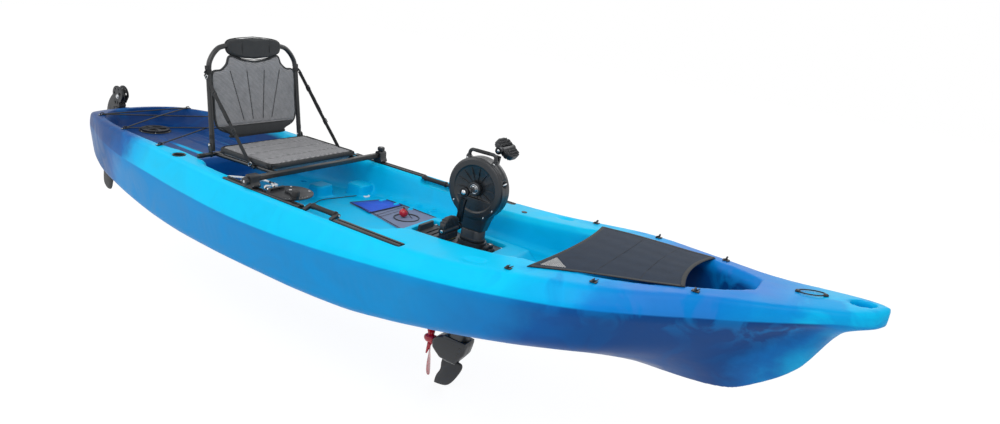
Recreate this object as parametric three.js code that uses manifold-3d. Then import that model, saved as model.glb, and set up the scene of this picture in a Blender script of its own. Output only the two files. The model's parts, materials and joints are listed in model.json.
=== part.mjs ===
// A sit-on-top pedal kayak for fishing: moulded hull, pedal drive, folding seat and rudder.
// Lengths are millimetres. +X runs to the bow, +Y to port, +Z up.
// The origin lies on the flat of the bottom, below the paddler's knees.
import * as THREE from 'three';
import { mergeVertices } from 'three/addons/utils/BufferGeometryUtils.js';
import Module from 'manifold-3d';

const wasm = await Module();
wasm.setup();

// Driving dimensions
const touchGap = 0.3;
const overrun = 30;
const sides = { port: 1, starboard: -1 };
const colours = {
  cyan: 0x18b4ea, black: 0x1c1e22, trim: 0x34363a, mesh: 0x8c8c90, steel: 0xb9bcc0,
  red: 0xc8102e, navy: 0x2b3e55, white: 0xf0f0ee, blue: 0x1f5fe0, brass: 0xb08d3c,
};

const hull = {
  sternReach: 1875, bowReach: 1725, halfWidth: 430, rimHeight: 345, wall: 5,
  flatHalf: 70, crown: 10, chineRound: 45, knuckleRound: 14, rimRound: 15,
  wellCorner: 32, wellBevel: 10, sideWall: 7, sternSolid: 50, bowSolid: 225, cavityStations: 27,
  stations: 31,
  wellStep: 170, foreTaper: 350,
};
const slot = { aft: 205, fore: 470, halfWidth: 45 };
const pocket = { aft: 160, fore: 500, halfWidth: 75, floor: 245 };
const mound = { aft: 100, fore: 620, ramp: 40, halfTop: 105, halfBase: 125, top: 275, root: 150 };
const bowHandle = { aft: 1628, fore: 1692, halfWidth: 24 };
const rodHolder = { x: -885, railGap: 27, radius: 22, floor: 215 };
const scupper = { aft: -720, fore: 20, y: 205, radius: 13 };
const scoop = { aft: -118, fore: 43, innerGap: 67, outerGap: 5, floor: 312 };

const hatch = {
  setback: 285, seatRadius: 79, ringRadius: 75, mouthRadius: 54, neckRadius: 58.5, neckDepth: 12, flange: 4,
  capRadius: 67, capHeight: 9, play: 1.2, skirt: 10, gripWidth: 16, gripHeight: 8, dish: 5, dishRadius: 56,
};
const hatchX = hatch.setback - hull.sternReach;
const rail = {
  inset: 73, width: 30, height: 14, seat: 328, base: 4, lip: 4, slotHalf: 4, webHalf: 10,
  rearAft: -550, rearFore: -120, frontAft: 46, frontFore: 355, recess: 1,
};
const railY = hull.halfWidth - rail.inset;
const grip = {
  aft: -112, fore: 37, barrelRadius: 5, sleeveRadius: 12, sleeveEnd: 22, drop: 30, strapWidth: 16,
  strapThickness: 4, lift: 8,
};

const drum = {
  x: 392, z: 485, radius: 115, halfWidth: 31, rimRound: 7, wall: 4, dishRadius: 88, bossRadius: 25,
  dishStarboard: 16, dishPort: 4, neckBottom: 330, neckTop: 410, neckBulge: 78,
  shaftRoom: 16,
};
const handle = {
  barRadius: 7, halfSpan: 57, bend: 15, rise: 30, foot: 3, lugHalf: 11, lugRise: 10, lugDepth: 12,
};
const mast = { length: 96, width: 62, bore: 16 };
const axle = { radius: 10, crankPlane: 88, bearingRadius: 17.7, bearingLength: 8 };
const crank = { radius: 130, tiltDegrees: 5, thickness: 14, hubRadius: 18, tipRadius: 14, spindle: 7,
  bevel: 2 };
const pedal = { sideClearance: 8.65, length: 92, thickness: 26, inner: 99, grooves: 5, groove: 5, bevel: 5,
  portTiltDegrees: 38, starboardTiltDegrees: 90 };
const ringGear = { radius: 55, toothInner: 43, tooth: 3, toothWidth: 4.5, teeth: 24, web: 6 };
const upperPinion = { tip: 13, root: 10, teeth: 6, height: 12, set: 1 };
const shaft = { radius: 6, top: 450 };
const shaftBearing = { z: 290, height: 12 };
const lowerCase = { top: -125, bottom: -233, halfWidth: 34, chamberHalf: 26, bevel: 5,
  chamberRoom: 6, aft: 284, fore: 446 };
const crownGear = { radius: 22, toothInner: 13, teeth: 15, tooth: 3, toothWidth: 2.4, web: 9 };
const propGear = { tip: 12, root: 9, teeth: 9, width: 12, offset: 18 };
const prop = { z: -185, hubAft: 238, hubFore: 279, hubRadius: 19, radius: 180, rootChord: 42, wideChord: 56,
  tipChord: 22, thickness: 5, shaftAft: 246, shaftFore: 402, bearingRadius: 13.7, bearingLength: 13,
  bearingSet: 1, edge: 0.6 };
const fin = { thickness: 14, drop: 136 };
const driveBase = { plate: 14, collar: 26, collarWall: 8, skirtDepth: 30, padTop: 277, block: 24,
  inset: 0.7, skirtInset: 2 };
const latch = { rear: 296, fore: 472, hubRadius: 12, hubHeight: 14, arm: 40, armWidth: 12, armHeight: 7 };

const bracket = { plate: 6, halfWidth: 40, bottom: 212, top: 318, axisSetback: 30, lug: 16, lugHalf: 22 };
const rudder = {
  pinRadius: 6, cheekGap: 13, cheek: 5, cheekRadius: 44, base: 16, baseLength: 56, pivotRise: 57,
  pivotLead: 15, crownRise: 13, pivotRadius: 5, blade: 8, headRadius: 36, bossRadius: 14, boltHead: 9,
  boltHeadHeight: 5, hole: 8, holeReach: 27, bladeReach: 205, bladeDrop: 553,
};

const seat = {
  barX: -389, barZ: 373, barRadius: 11, clampLength: 50, clampHalf: 21, clampTop: 392,
  knobRadius: 17, knobHeight: 18, knobStem: 6, knobBevel: 2, tube: 9, frameZ: 356.5, frameInset: 132,
  rearX: -790, rearOverhang: 84, cushionFront: -430, cushionRear: -764, cushionOverhang: 13,
  cushionThickness: 32, cushionCrown: 10, cushionRound: 34, lugThickness: 5,
};
const back = {
  hingeX: -800, hingeZ: 395, lean: 0.115, tube: 10.5, footLift: 3, outset: 9, height: 417, pin: 4,
  lug: 9,
  panelThickness: 12, panelCrown: 4, padThickness: 36,
};
const frameHalf = railY - seat.frameInset;
const cushionHalf = frameHalf + seat.cushionOverhang;
const backHalf = frameHalf + back.outset;
const strap = { width: 20, thickness: 2, topZ: 690, footX: -530, lugLength: 22 };

const steering = {
  x: -245, railGap: 57, plateRadius: 85, plateReach: 11, plate: 5, stopAft: -298, stopLength: 14,
  stopHeight: 13, stopGap: 67, stopInset: 6, hubRadius: 20, hubHeight: 12, slantDegrees: -27,
  knobReach: 75, knobRadius: 15, knobHeight: 24,
  tubeRadius: 4.5, armRise: 3, armDrop: 2,
};
const cover = { rear: 775, fore: 1223, rearHalf: 281, foreHalf: 162, thickness: 3, rearDip: 32, foreDip: 26,
  edgeLift: 0.6 };
const bungee = { radius: 3, lift: 1, aftShare: 0.8827, middleShare: 0.712, foreShare: 0.5493, inset: 34 };
const mat = {
  thickness: 3, lift: 0.9, aftInnerX: -318, aftOuterX: -236, foreX: 92,
  innerShares: [0.214, -0.088], outerShares: [0.558, 0.442],
};
const ball = { radius: 18.5, x: -12, y: 92 };

// Station shares of the outer skin: x, keel z, chine y and z, knuckle y and z, rim y and z.
// x is a share of the reach to its own end, y of the half width and z of the rim height.
const skinShares = [
  [-1, 0.58, 0.26, 0.6, 0.3, 0.76, 0.274, 0.87],
  [-0.987, 0.36, 0.385, 0.39, 0.423, 0.763, 0.395, 0.904],
  [-0.96, 0.25, 0.455, 0.285, 0.495, 0.768, 0.472, 0.942],
  [-0.907, 0.16, 0.54, 0.21, 0.58, 0.777, 0.565, 0.98],
  [-0.853, 0.1, 0.6, 0.16, 0.667, 0.77, 0.647, 0.991],
  [-0.8, 0.065, 0.645, 0.132, 0.733, 0.745, 0.705, 1.003],
  [-0.693, 0.025, 0.732, 0.088, 0.81, 0.695, 0.78, 1.014],
  [-0.555, 0.005, 0.815, 0.038, 0.872, 0.667, 0.828, 1.009],
  [-0.427, 0, 0.862, 0.014, 0.918, 0.638, 0.858, 0.991],
  [-0.267, 0, 0.887, 0.01, 0.977, 0.632, 0.888, 0.98],
  [-0.107, 0, 0.89, 0.014, 1, 0.655, 0.898, 0.98],
  [0.058, 0, 0.862, 0.035, 1, 0.713, 0.898, 0.98],
  [0.174, 0.015, 0.815, 0.095, 1, 0.77, 0.893, 0.986],
  [0.261, 0.05, 0.787, 0.168, 0.99, 0.815, 0.884, 1.003],
  [0.348, 0.09, 0.77, 0.258, 0.956, 0.855, 0.853, 1.04],
  [0.435, 0.135, 0.757, 0.365, 0.93, 0.916, 0.816, 1.096],
  [0.537, 0.185, 0.69, 0.485, 0.88, 0.99, 0.758, 1.165],
  [0.597, 0.212, 0.605, 0.548, 0.814, 1.03, 0.693, 1.197],
  [0.649, 0.23, 0.5, 0.605, 0.714, 1.058, 0.61, 1.223],
  [0.705, 0.243, 0.385, 0.675, 0.586, 1.084, 0.502, 1.258],
  [0.748, 0.258, 0.305, 0.745, 0.481, 1.107, 0.43, 1.281],
  [0.8, 0.31, 0.237, 0.855, 0.384, 1.142, 0.349, 1.304],
  [0.85, 0.47, 0.192, 1.01, 0.307, 1.19, 0.291, 1.333],
  [0.901, 0.72, 0.166, 1.165, 0.242, 1.25, 0.237, 1.374],
  [0.946, 1.15, 0.155, 1.235, 0.198, 1.31, 0.193, 1.406],
  [0.974, 1.265, 0.13, 1.287, 0.153, 1.325, 0.147, 1.426],
  [0.991, 1.295, 0.08, 1.312, 0.098, 1.333, 0.088, 1.438],
  [1, 1.315, 0.033, 1.335, 0.042, 1.36, 0.035, 1.44],
];

// Station shares of the open well: x, half width at the rim, half width at the floor, floor z.
const wellShares = [
  [-0.931, 0.14, 0.09, 0.96],
  [-0.917, 0.3, 0.22, 0.82],
  [-0.901, 0.385, 0.29, 0.755],
  [-0.864, 0.515, 0.405, 0.745],
  [-0.8, 0.605, 0.51, 0.745],
  [-0.693, 0.68, 0.585, 0.74],
  [-0.56, 0.705, 0.615, 0.735],
  [-0.525, 0.69, 0.59, 0.75],
  [-0.505, 0.66, 0.56, 0.86],
  [-0.487, 0.655, 0.555, 0.86],
  [-0.464, 0.655, 0.56, 0.62],
  [-0.448, 0.66, 0.565, 0.555],
  [-0.41, 0.67, 0.6, 0.54],
  [-0.385, 0.74, 0.625, 0.535],
  [-0.32, 0.756, 0.64, 0.537],
  [-0.208, 0.756, 0.651, 0.58],
  [-0.064, 0.756, 0.651, 0.65],
  [0.081, 0.756, 0.651, 0.68],
  [0.116, 0.7, 0.6, 0.684],
  [0.15, 0.52, 0.475, 0.688],
  [0.19, 0.49, 0.455, 0.695],
  [0.36, 0.49, 0.455, 0.71],
  [0.42, 0.47, 0.42, 0.72],
  [0.464, 0.5, 0.43, 0.735],
  [0.55, 0.523, 0.43, 0.755],
  [0.638, 0.44, 0.35, 0.8],
  [0.707, 0.315, 0.235, 0.87],
  [0.765, 0.2, 0.13, 1.01],
  [0.806, 0.07, 0.035, 1.23],
];

// A smooth curve through one column of a table, without overshoot between its rows.
function curveThrough(rows, column) {
  const at = rows.map((row) => row[0]);
  const value = rows.map((row) => row[column]);
  const run = at.slice(1).map((x, i) => x - at[i]);
  const rise = run.map((step, i) => (value[i + 1] - value[i]) / step);
  const slope = value.map((v, i) => {
    if (i === 0) return rise[0];
    if (i === value.length - 1) return rise[i - 1];
    if (rise[i - 1] * rise[i] <= 0) return 0;
    const near = 2 * run[i] + run[i - 1];
    const far = run[i] + 2 * run[i - 1];
    return (near + far) / (near / rise[i - 1] + far / rise[i]);
  });
  return (x) => {
    const inside = Math.min(Math.max(x, at[0]), at[at.length - 1]);
    let i = 0;
    while (i < run.length - 1 && inside > at[i + 1]) i += 1;
    const t = (inside - at[i]) / run[i];
    const u = 1 - t;
    return value[i] * (1 + 2 * t) * u * u + run[i] * slope[i] * t * u * u
      + value[i + 1] * (3 - 2 * t) * t * t - run[i] * slope[i + 1] * t * t * u;
  };
}

const skinCurves = skinShares[0].map((_, column) => curveThrough(skinShares, column));
const wellCurves = wellShares[0].map((_, column) => curveThrough(wellShares, column));
const toShare = (x) => x / (x < 0 ? hull.sternReach : hull.bowReach);
const fromShare = (share) => share * (share < 0 ? hull.sternReach : hull.bowReach);
const rimY = (x) => skinCurves[6](toShare(x)) * hull.halfWidth;
const rimZ = (x) => skinCurves[7](toShare(x)) * hull.rimHeight;
const floorZ = (x) => wellCurves[3](toShare(x)) * hull.rimHeight;
const pedalWidth = wellCurves[2](toShare(drum.x)) * hull.halfWidth - pedal.inner - pedal.sideClearance;
const deckZ = (x, y) => rimZ(x) + hull.crown * (1 - (y / rimY(x)) ** 2);

// The mesh of a closed body, turned so that its faces point out.
function bodyFrom(points, faces) {
  let volume = 0;
  for (const [a, b, c] of faces) {
    const [p, q, r] = [points[a], points[b], points[c]];
    volume += p[0] * (q[1] * r[2] - q[2] * r[1]) - p[1] * (q[0] * r[2] - q[2] * r[0])
      + p[2] * (q[0] * r[1] - q[1] * r[0]);
  }
  const outward = volume > 0 ? faces : faces.map(([a, b, c]) => [a, c, b]);
  return new wasm.Manifold(new wasm.Mesh({
    numProp: 3,
    vertProperties: Float32Array.from(points.flat()),
    triVerts: Uint32Array.from(outward.flat()),
  }));
}

// A skin over rings of points that match one by one, with a flat cap on each end.
function loft(rings) {
  const count = rings[0].length;
  const points = rings.flat();
  const faces = [];
  for (let ring = 0; ring < rings.length - 1; ring += 1) {
    for (let i = 0; i < count; i += 1) {
      const a = ring * count + i;
      const b = ring * count + (i + 1) % count;
      faces.push([a, b, a + count], [b, b + count, a + count]);
    }
  }
  for (const [ring, forward] of [[0, false], [rings.length - 1, true]]) {
    const middle = [0, 1, 2].map((k) => rings[ring].reduce((sum, p) => sum + p[k], 0) / count);
    const centre = points.push(middle) - 1;
    for (let i = 0; i < count; i += 1) {
      const a = ring * count + i;
      const b = ring * count + (i + 1) % count;
      faces.push(forward ? [a, b, centre] : [b, a, centre]);
    }
  }
  return bodyFrom(points, faces);
}

function solid(geometry) {
  const bare = geometry.index ? geometry.toNonIndexed() : geometry.clone();
  bare.deleteAttribute('normal');
  bare.deleteAttribute('uv');
  const merged = mergeVertices(bare);
  return new wasm.Manifold(new wasm.Mesh({
    numProp: 3,
    vertProperties: Float32Array.from(merged.attributes.position.array),
    triVerts: Uint32Array.from(merged.index.array),
  }));
}

const union = (first, ...others) => others.reduce((whole, piece) => whole.add(piece), first);
const cut = (first, ...others) => others.reduce((whole, piece) => whole.subtract(piece), first);

function box(low, high) {
  const size = high.map((value, i) => value - low[i]);
  const middle = high.map((value, i) => (value + low[i]) / 2);
  return solid(new THREE.BoxGeometry(...size).translate(...middle));
}

// A round bar along one axis, from one coordinate to another on that axis.
function bar(axis, radius, from, to, centre, segments = 16) {
  const geometry = new THREE.CylinderGeometry(radius, radius, to - from, segments);
  if (axis === 'x') geometry.rotateZ(-Math.PI / 2);
  if (axis === 'z') geometry.rotateX(Math.PI / 2);
  const middle = (from + to) / 2;
  const [u, v] = centre;
  const place = { x: [middle, u, v], y: [u, middle, v], z: [u, v, middle] }[axis];
  return solid(geometry.translate(...place));
}

const ring = (axis, outer, inner, from, to, centre, segments = 20) => cut(
  bar(axis, outer, from, to, centre, segments),
  bar(axis, inner, from - overrun, to + overrun, centre, segments),
);

// An outline pushed straight along one axis: x takes (y, z) points, y takes (x, z), z takes (x, y).
function prism(axis, outline, from, to, bevel = 0) {
  const shape = new THREE.Shape(outline.map(([u, v]) => new THREE.Vector2(u, v)));
  const geometry = new THREE.ExtrudeGeometry(shape, {
    depth: to - from - 2 * bevel, bevelEnabled: bevel > 0, bevelThickness: bevel, bevelSize: bevel,
    bevelOffset: -bevel, bevelSegments: 1, steps: 1,
  });
  geometry.translate(0, 0, bevel);
  if (axis === 'x') {
    const turn = new THREE.Matrix4().makeBasis(
      new THREE.Vector3(0, 1, 0), new THREE.Vector3(0, 0, 1), new THREE.Vector3(1, 0, 0));
    geometry.applyMatrix4(turn).translate(from, 0, 0);
  } else if (axis === 'y') {
    geometry.rotateX(Math.PI / 2).translate(0, to, 0);
  } else {
    geometry.translate(0, 0, from);
  }
  return solid(geometry);
}

// A profile of (radius, along) points turned about an axis through a centre.
function turned(axis, profile, centre, segments = 20) {
  const closed = profile.map(([r, along]) => new THREE.Vector2(r, along));
  closed.push(closed[0].clone());
  const geometry = new THREE.LatheGeometry(closed, segments);
  if (axis === 'x') geometry.rotateZ(-Math.PI / 2);
  if (axis === 'z') geometry.rotateX(Math.PI / 2);
  const bare = geometry.toNonIndexed();
  bare.deleteAttribute('normal');
  bare.deleteAttribute('uv');
  const merged = mergeVertices(bare.translate(...centre));
  const position = merged.attributes.position;
  const points = [...Array(position.count).keys()].map(
    (i) => [position.getX(i), position.getY(i), position.getZ(i)]);
  const faces = [];
  for (let i = 0; i < merged.index.count; i += 3) {
    const [a, b, c] = [0, 1, 2].map((k) => merged.index.getX(i + k));
    if (a !== b && b !== c && c !== a) faces.push([a, b, c]);
  }
  return bodyFrom(points, faces);
}

// A round tube along a smooth curve through its points, with so many rings to each stretch.
function tube(points, radius, sideCount = 8, perStretch = 2, tension = 0.5) {
  const path = new THREE.CatmullRomCurve3(
    points.map((p) => new THREE.Vector3(...p)), false, 'catmullrom', tension);
  const stops = steady((points.length - 1) * perStretch, 0, 1).map((t) => path.getPoint(t));
  const last = stops.length - 1;
  const heading = (i) => stops[Math.min(i + 1, last)].clone().sub(stops[Math.max(i - 1, 0)]).normalize();
  const upright = Math.abs(heading(0).z) > 0.9;
  const side = new THREE.Vector3(upright ? 1 : 0, 0, upright ? 0 : 1);
  return loft(stops.map((stop, i) => {
    const along = heading(i);
    side.addScaledVector(along, -side.dot(along)).normalize();
    const other = along.clone().cross(side);
    return [...Array(sideCount).keys()].map((k) => {
      const turn = (2 * Math.PI * (k + 0.5)) / sideCount;
      return stop.clone().addScaledVector(side, radius * Math.cos(turn))
        .addScaledVector(other, radius * Math.sin(turn)).toArray();
    });
  }));
}

// The points of a corner rounded between its two neighbours.
function roundCorner(before, corner, after, radius, steps) {
  const reach = (other) => {
    const away = Math.hypot(...corner.map((value, k) => other[k] - value));
    const share = away > 0 ? Math.min(radius / away, 0.45) : 0;
    return corner.map((value, k) => value + (other[k] - value) * share);
  };
  const [start, end] = [reach(before), reach(after)];
  return [...Array(steps + 1).keys()].map((i) => {
    const t = i / steps;
    const u = 1 - t;
    return corner.map((value, k) => u * u * start[k] + 2 * u * t * value + t * t * end[k]);
  });
}

function roundedOutline(points, radius, steps = 4) {
  const count = points.length;
  return points.flatMap((corner, i) => roundCorner(
    points[(i + count - 1) % count], corner, points[(i + 1) % count], radius, steps));
}

const rectangle = (halfWidth, halfHeight, u = 0, v = 0) => [
  [u - halfWidth, v - halfHeight], [u + halfWidth, v - halfHeight],
  [u + halfWidth, v + halfHeight], [u - halfWidth, v + halfHeight],
];

// Two circles of their own radius joined by straight flanks.
function linkOutline(start, startRadius, end, endRadius, steps = 7) {
  const heading = Math.atan2(end[1] - start[1], end[0] - start[0]);
  const arc = (centre, radius, from) => [...Array(steps + 1).keys()].map((i) => {
    const turn = from + (Math.PI * i) / steps;
    return [centre[0] + radius * Math.cos(turn), centre[1] + radius * Math.sin(turn)];
  });
  return [...arc(end, endRadius, heading - Math.PI / 2), ...arc(start, startRadius, heading + Math.PI / 2)];
}

const mirrored = (half) => [...half, ...half.slice(1, -1).reverse().map(([y, z]) => [-y, z])];
const steady = (count, from, to) => [...Array(count + 1).keys()].map((i) => from + ((to - from) * i) / count);

// Hull
function skinHalf(x, inset, steps) {
  const share = toShare(x);
  const [, keel, chineY, chineZ, knuckleY, knuckleZ, edgeY, edgeZ] = skinCurves.map((curve) => curve(share));
  const wide = (value) => Math.max(value * hull.halfWidth - inset, hull.wall / 2);
  const foot = [0, keel * hull.rimHeight + inset];
  const chine = [wide(chineY), chineZ * hull.rimHeight + inset];
  const ahead = Math.min(Math.max(x - slot.fore, 0) / hull.foreTaper, 1);
  const flat = [Math.min(hull.flatHalf, chine[0] * 0.4) * (1 - 0.85 * ahead), foot[1]];
  const knuckle = [wide(knuckleY), knuckleZ * hull.rimHeight];
  const edge = [wide(edgeY), edgeZ * hull.rimHeight - inset];
  const belly = [(flat[0] + chine[0]) / 2, (flat[1] * 0.56 + chine[1] * 0.44)];
  const shoulder = [edge[0] / 2, edge[1] + hull.crown * 0.75];
  return [
    foot, flat, belly,
    ...roundCorner(belly, chine, knuckle, hull.chineRound, steps + 1),
    ...roundCorner(chine, knuckle, edge, hull.knuckleRound, 1),
    ...roundCorner(knuckle, edge, shoulder, hull.rimRound, 1),
    shoulder, [0, edge[1] + hull.crown],
  ];
}

const skinRing = (x, inset, steps) => mirrored(skinHalf(x, inset, steps)).map(([y, z]) => [x, y, z]);

function skin(inset, from, to, count, steps) {
  const [start, end] = [toShare(from), toShare(to)].map((share) => Math.asin(share));
  return loft(steady(count, start, end).map((turn) => skinRing(fromShare(Math.sin(turn)), inset, steps)));
}

function wellHalf(x, grow) {
  const share = toShare(x);
  const [, rimHalf, floorHalf, floor] = wellCurves.map((curve) => curve(share));
  const base = [floorHalf * hull.halfWidth + grow, floor * hull.rimHeight - grow];
  const knee = [rimHalf * hull.halfWidth + grow, Math.max(rimZ(x) - hull.wellBevel, base[1] + hull.wall)];
  const lip = [knee[0] + hull.wellBevel + overrun, knee[1] + hull.wellBevel + overrun];
  const corner = roundCorner([0, base[1]], base, knee, hull.wellCorner, 2);
  return [[0, base[1]], ...corner, knee, lip, [0, lip[1]]];
}

// The open well, with extra sections where its own stations lie far apart.
function well(grow) {
  const places = wellShares.map(([share]) => fromShare(share));
  const filled = places.flatMap((x, i) => {
    const next = places[i + 1] ?? x;
    const count = grow > 0 ? 1 : Math.max(Math.round((next - x) / hull.wellStep), 1);
    return steady(count, x, next).slice(0, -1);
  });
  filled.push(places[places.length - 1]);
  return loft(filled.map((x, i) => {
    const shift = i === 0 ? -grow : i === filled.length - 1 ? grow : 0;
    return mirrored(wellHalf(x, grow)).map(([y, z]) => [x + shift, y, z]);
  }));
}

function driveMound(shrink) {
  const block = (x, top) => [
    [x, -mound.halfBase + shrink, mound.root], [x, mound.halfBase - shrink, mound.root],
    [x, mound.halfTop - shrink, top - shrink], [x, -mound.halfTop + shrink, top - shrink],
  ];
  const low = floorZ(mound.aft) - hull.wall;
  return loft([
    block(mound.aft + shrink, low), block(mound.aft + mound.ramp + shrink, mound.top),
    block(mound.fore - mound.ramp - shrink, mound.top), block(mound.fore - shrink, low),
  ]);
}

// Everything that passes through or into the skin beside the well, grown by the wall for the inner face.
function recesses(grow) {
  const both = Object.values(sides);
  const upward = hull.rimHeight + overrun;
  const drivePocket = box(
    [pocket.aft - grow, -pocket.halfWidth - grow, pocket.floor - grow],
    [pocket.fore + grow, pocket.halfWidth + grow, upward]);
  const driveSlot = box(
    [slot.aft - grow, -slot.halfWidth - grow, -overrun], [slot.fore + grow, slot.halfWidth + grow, upward]);
  const holders = both.map((side) => bar('z', rodHolder.radius + grow, rodHolder.floor - grow, upward,
    [rodHolder.x, side * (railY - rodHolder.railGap)], 14));
  const scuppers = both.flatMap((side) => [scupper.aft, scupper.fore].map(
    (x) => bar('z', scupper.radius + grow, -overrun, upward, [x, side * scupper.y], 8)));
  const railBeds = both.map((side) => {
    const near = railY - rail.width / 2 - rail.recess - grow;
    const far = railY + rail.width / 2 + rail.recess + grow;
    const [low, high] = side > 0 ? [near, far] : [-far, -near];
    return box([rail.rearAft - rail.recess - grow, low, rail.seat - grow],
      [rail.frontFore + rail.recess + grow, high, upward]);
  });
  const scoops = both.map((side) => {
    const [near, far] = [railY - scoop.innerGap - grow, railY - scoop.outerGap + grow];
    const [low, high] = side > 0 ? [near, far] : [-far, -near];
    return box([scoop.aft - grow, low, scoop.floor - grow], [scoop.fore + grow, high, upward]);
  });
  const hatchSeat = bar('z', hatch.seatRadius + grow, floorZ(hatchX) - grow, upward, [hatchX, 0], 20);
  return [drivePocket, driveSlot, hatchSeat, ...holders, ...scuppers, ...railBeds, ...scoops];
}

function largest(body) {
  return body.decompose().sort((a, b) => b.volume() - a.volume())[0];
}

function makeHull() {
  const outside = skin(0, -hull.sternReach, hull.bowReach, hull.stations, 1);
  const hatchHole = bar('z', hatch.neckRadius + touchGap, floorZ(hatchX) - overrun, hull.rimHeight,
    [hatchX, 0], 20);
  const handleHole = prism('z', linkOutline(
    [bowHandle.aft + bowHandle.halfWidth, 0], bowHandle.halfWidth,
    [bowHandle.fore - bowHandle.halfWidth * 0.8, 0], bowHandle.halfWidth * 0.8, 6), 0, 2 * hull.rimHeight);
  const room = cut(
    skin(hull.sideWall, hull.sternSolid - hull.sternReach, hull.bowReach - hull.bowSolid,
      hull.cavityStations, 0),
    cut(well(hull.wall), driveMound(hull.wall)), ...recesses(hull.wall));
  const shell = cut(outside, cut(well(0), driveMound(0)), ...recesses(0), handleHole);
  return cut(shell, largest(room), hatchHole);
}

// Hatch in the tank well
function makeHatchRing() {
  const seatZ = floorZ(hatchX) + touchGap;
  const profile = [
    [hatch.mouthRadius, seatZ - hatch.neckDepth], [hatch.neckRadius, seatZ - hatch.neckDepth],
    [hatch.neckRadius, seatZ], [hatch.ringRadius, seatZ], [hatch.ringRadius, seatZ + hatch.flange / 2],
    [hatch.ringRadius - hatch.flange / 2, seatZ + hatch.flange], [hatch.mouthRadius, seatZ + hatch.flange],
  ];
  return turned('z', profile, [hatchX, 0, 0]);
}

function makeHatchLid() {
  const seatZ = floorZ(hatchX) + hatch.flange + 2 * touchGap;
  const skirtRadius = hatch.mouthRadius - hatch.play;
  const top = seatZ + hatch.capHeight;
  const cap = turned('z', [
    [0, seatZ - hatch.skirt], [skirtRadius, seatZ - hatch.skirt], [skirtRadius, seatZ],
    [hatch.capRadius, seatZ], [hatch.capRadius, top - hatch.flange / 2],
    [hatch.capRadius - hatch.flange / 2, top], [hatch.dishRadius, top],
    [hatch.dishRadius - hatch.dish / 2, top - hatch.dish], [0, top - hatch.dish],
  ], [hatchX, 0, 0]);
  const arm = hatch.dishRadius - hatch.dish / 4;
  const half = hatch.gripWidth / 2;
  const crossBars = [[arm, half], [half, arm]].map(([u, v]) => box(
    [hatchX - u, -v, top - hatch.capHeight], [hatchX + u, v, top]));
  return union(cap, ...crossBars);
}

// Gear rails and carry grips on the gunwales
function makeRail(side, aft, fore) {
  const half = rail.width / 2;
  const [base, top] = [rail.seat + touchGap + rail.base, rail.seat + rail.height];
  const edge = [
    [-half, rail.seat + touchGap], [half, rail.seat + touchGap], [half, top], [rail.slotHalf, top],
    [rail.slotHalf, top - rail.lip], [rail.webHalf, top - rail.lip], [rail.webHalf, base],
    [-rail.webHalf, base], [-rail.webHalf, top - rail.lip], [-rail.slotHalf, top - rail.lip],
    [-rail.slotHalf, top], [-half, top],
  ];
  return prism('x', edge.map(([y, z]) => [y + side * railY, z]), aft, fore);
}

function makeGrip(side) {
  const hinge = [side * railY, rail.seat + grip.barrelRadius + touchGap];
  const sleeve = [side * (railY - grip.drop), hinge[1] + grip.lift];
  const sleeveBar = bar('x', grip.sleeveRadius, grip.aft + grip.sleeveEnd, grip.fore - grip.sleeveEnd,
    sleeve);
  const straps = [grip.aft, grip.fore - grip.strapWidth].map((x) => union(
    bar('x', grip.barrelRadius, x, x + grip.strapWidth, hinge, 10),
    prism('x', linkOutline(hinge, grip.strapThickness / 2, sleeve, grip.strapThickness / 2, 4),
      x, x + grip.strapWidth)));
  const core = bar('x', grip.strapThickness, grip.aft + grip.strapWidth / 2, grip.fore - grip.strapWidth / 2,
    sleeve, 8);
  return union(sleeveBar, core, ...straps);
}

// Pedal drive: the housing halves, the mast and what turns inside them
const lugTopZ = drum.z + Math.sqrt(drum.radius ** 2 - handle.halfSpan ** 2) + handle.lugRise;

function drumHalf(side) {
  const dish = side === sides.port ? drum.dishPort : drum.dishStarboard;
  const face = drum.halfWidth;
  const round = drum.rimRound;
  const outer = [
    [0, touchGap / 2], [drum.radius, touchGap / 2], [drum.radius, face - round], [drum.radius - round, face],
    [drum.dishRadius, face], [drum.bossRadius + drum.wall, face - dish], [drum.bossRadius, face - dish],
    [drum.bossRadius, face], [0, face],
  ];
  const inner = [
    [0, 0], [drum.radius - drum.wall, 0], [drum.radius - drum.wall, face - round - drum.wall / 2],
    [drum.dishRadius, face - drum.wall], [drum.bossRadius + drum.wall, face - dish - drum.wall],
    [0, face - dish - drum.wall],
  ];
  const flip = (profile) => profile.map(([r, along]) => [r, side * along]);
  return [outer, inner].map((profile) => turned('y', flip(profile), [drum.x, 0, drum.z], 24));
}

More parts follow.
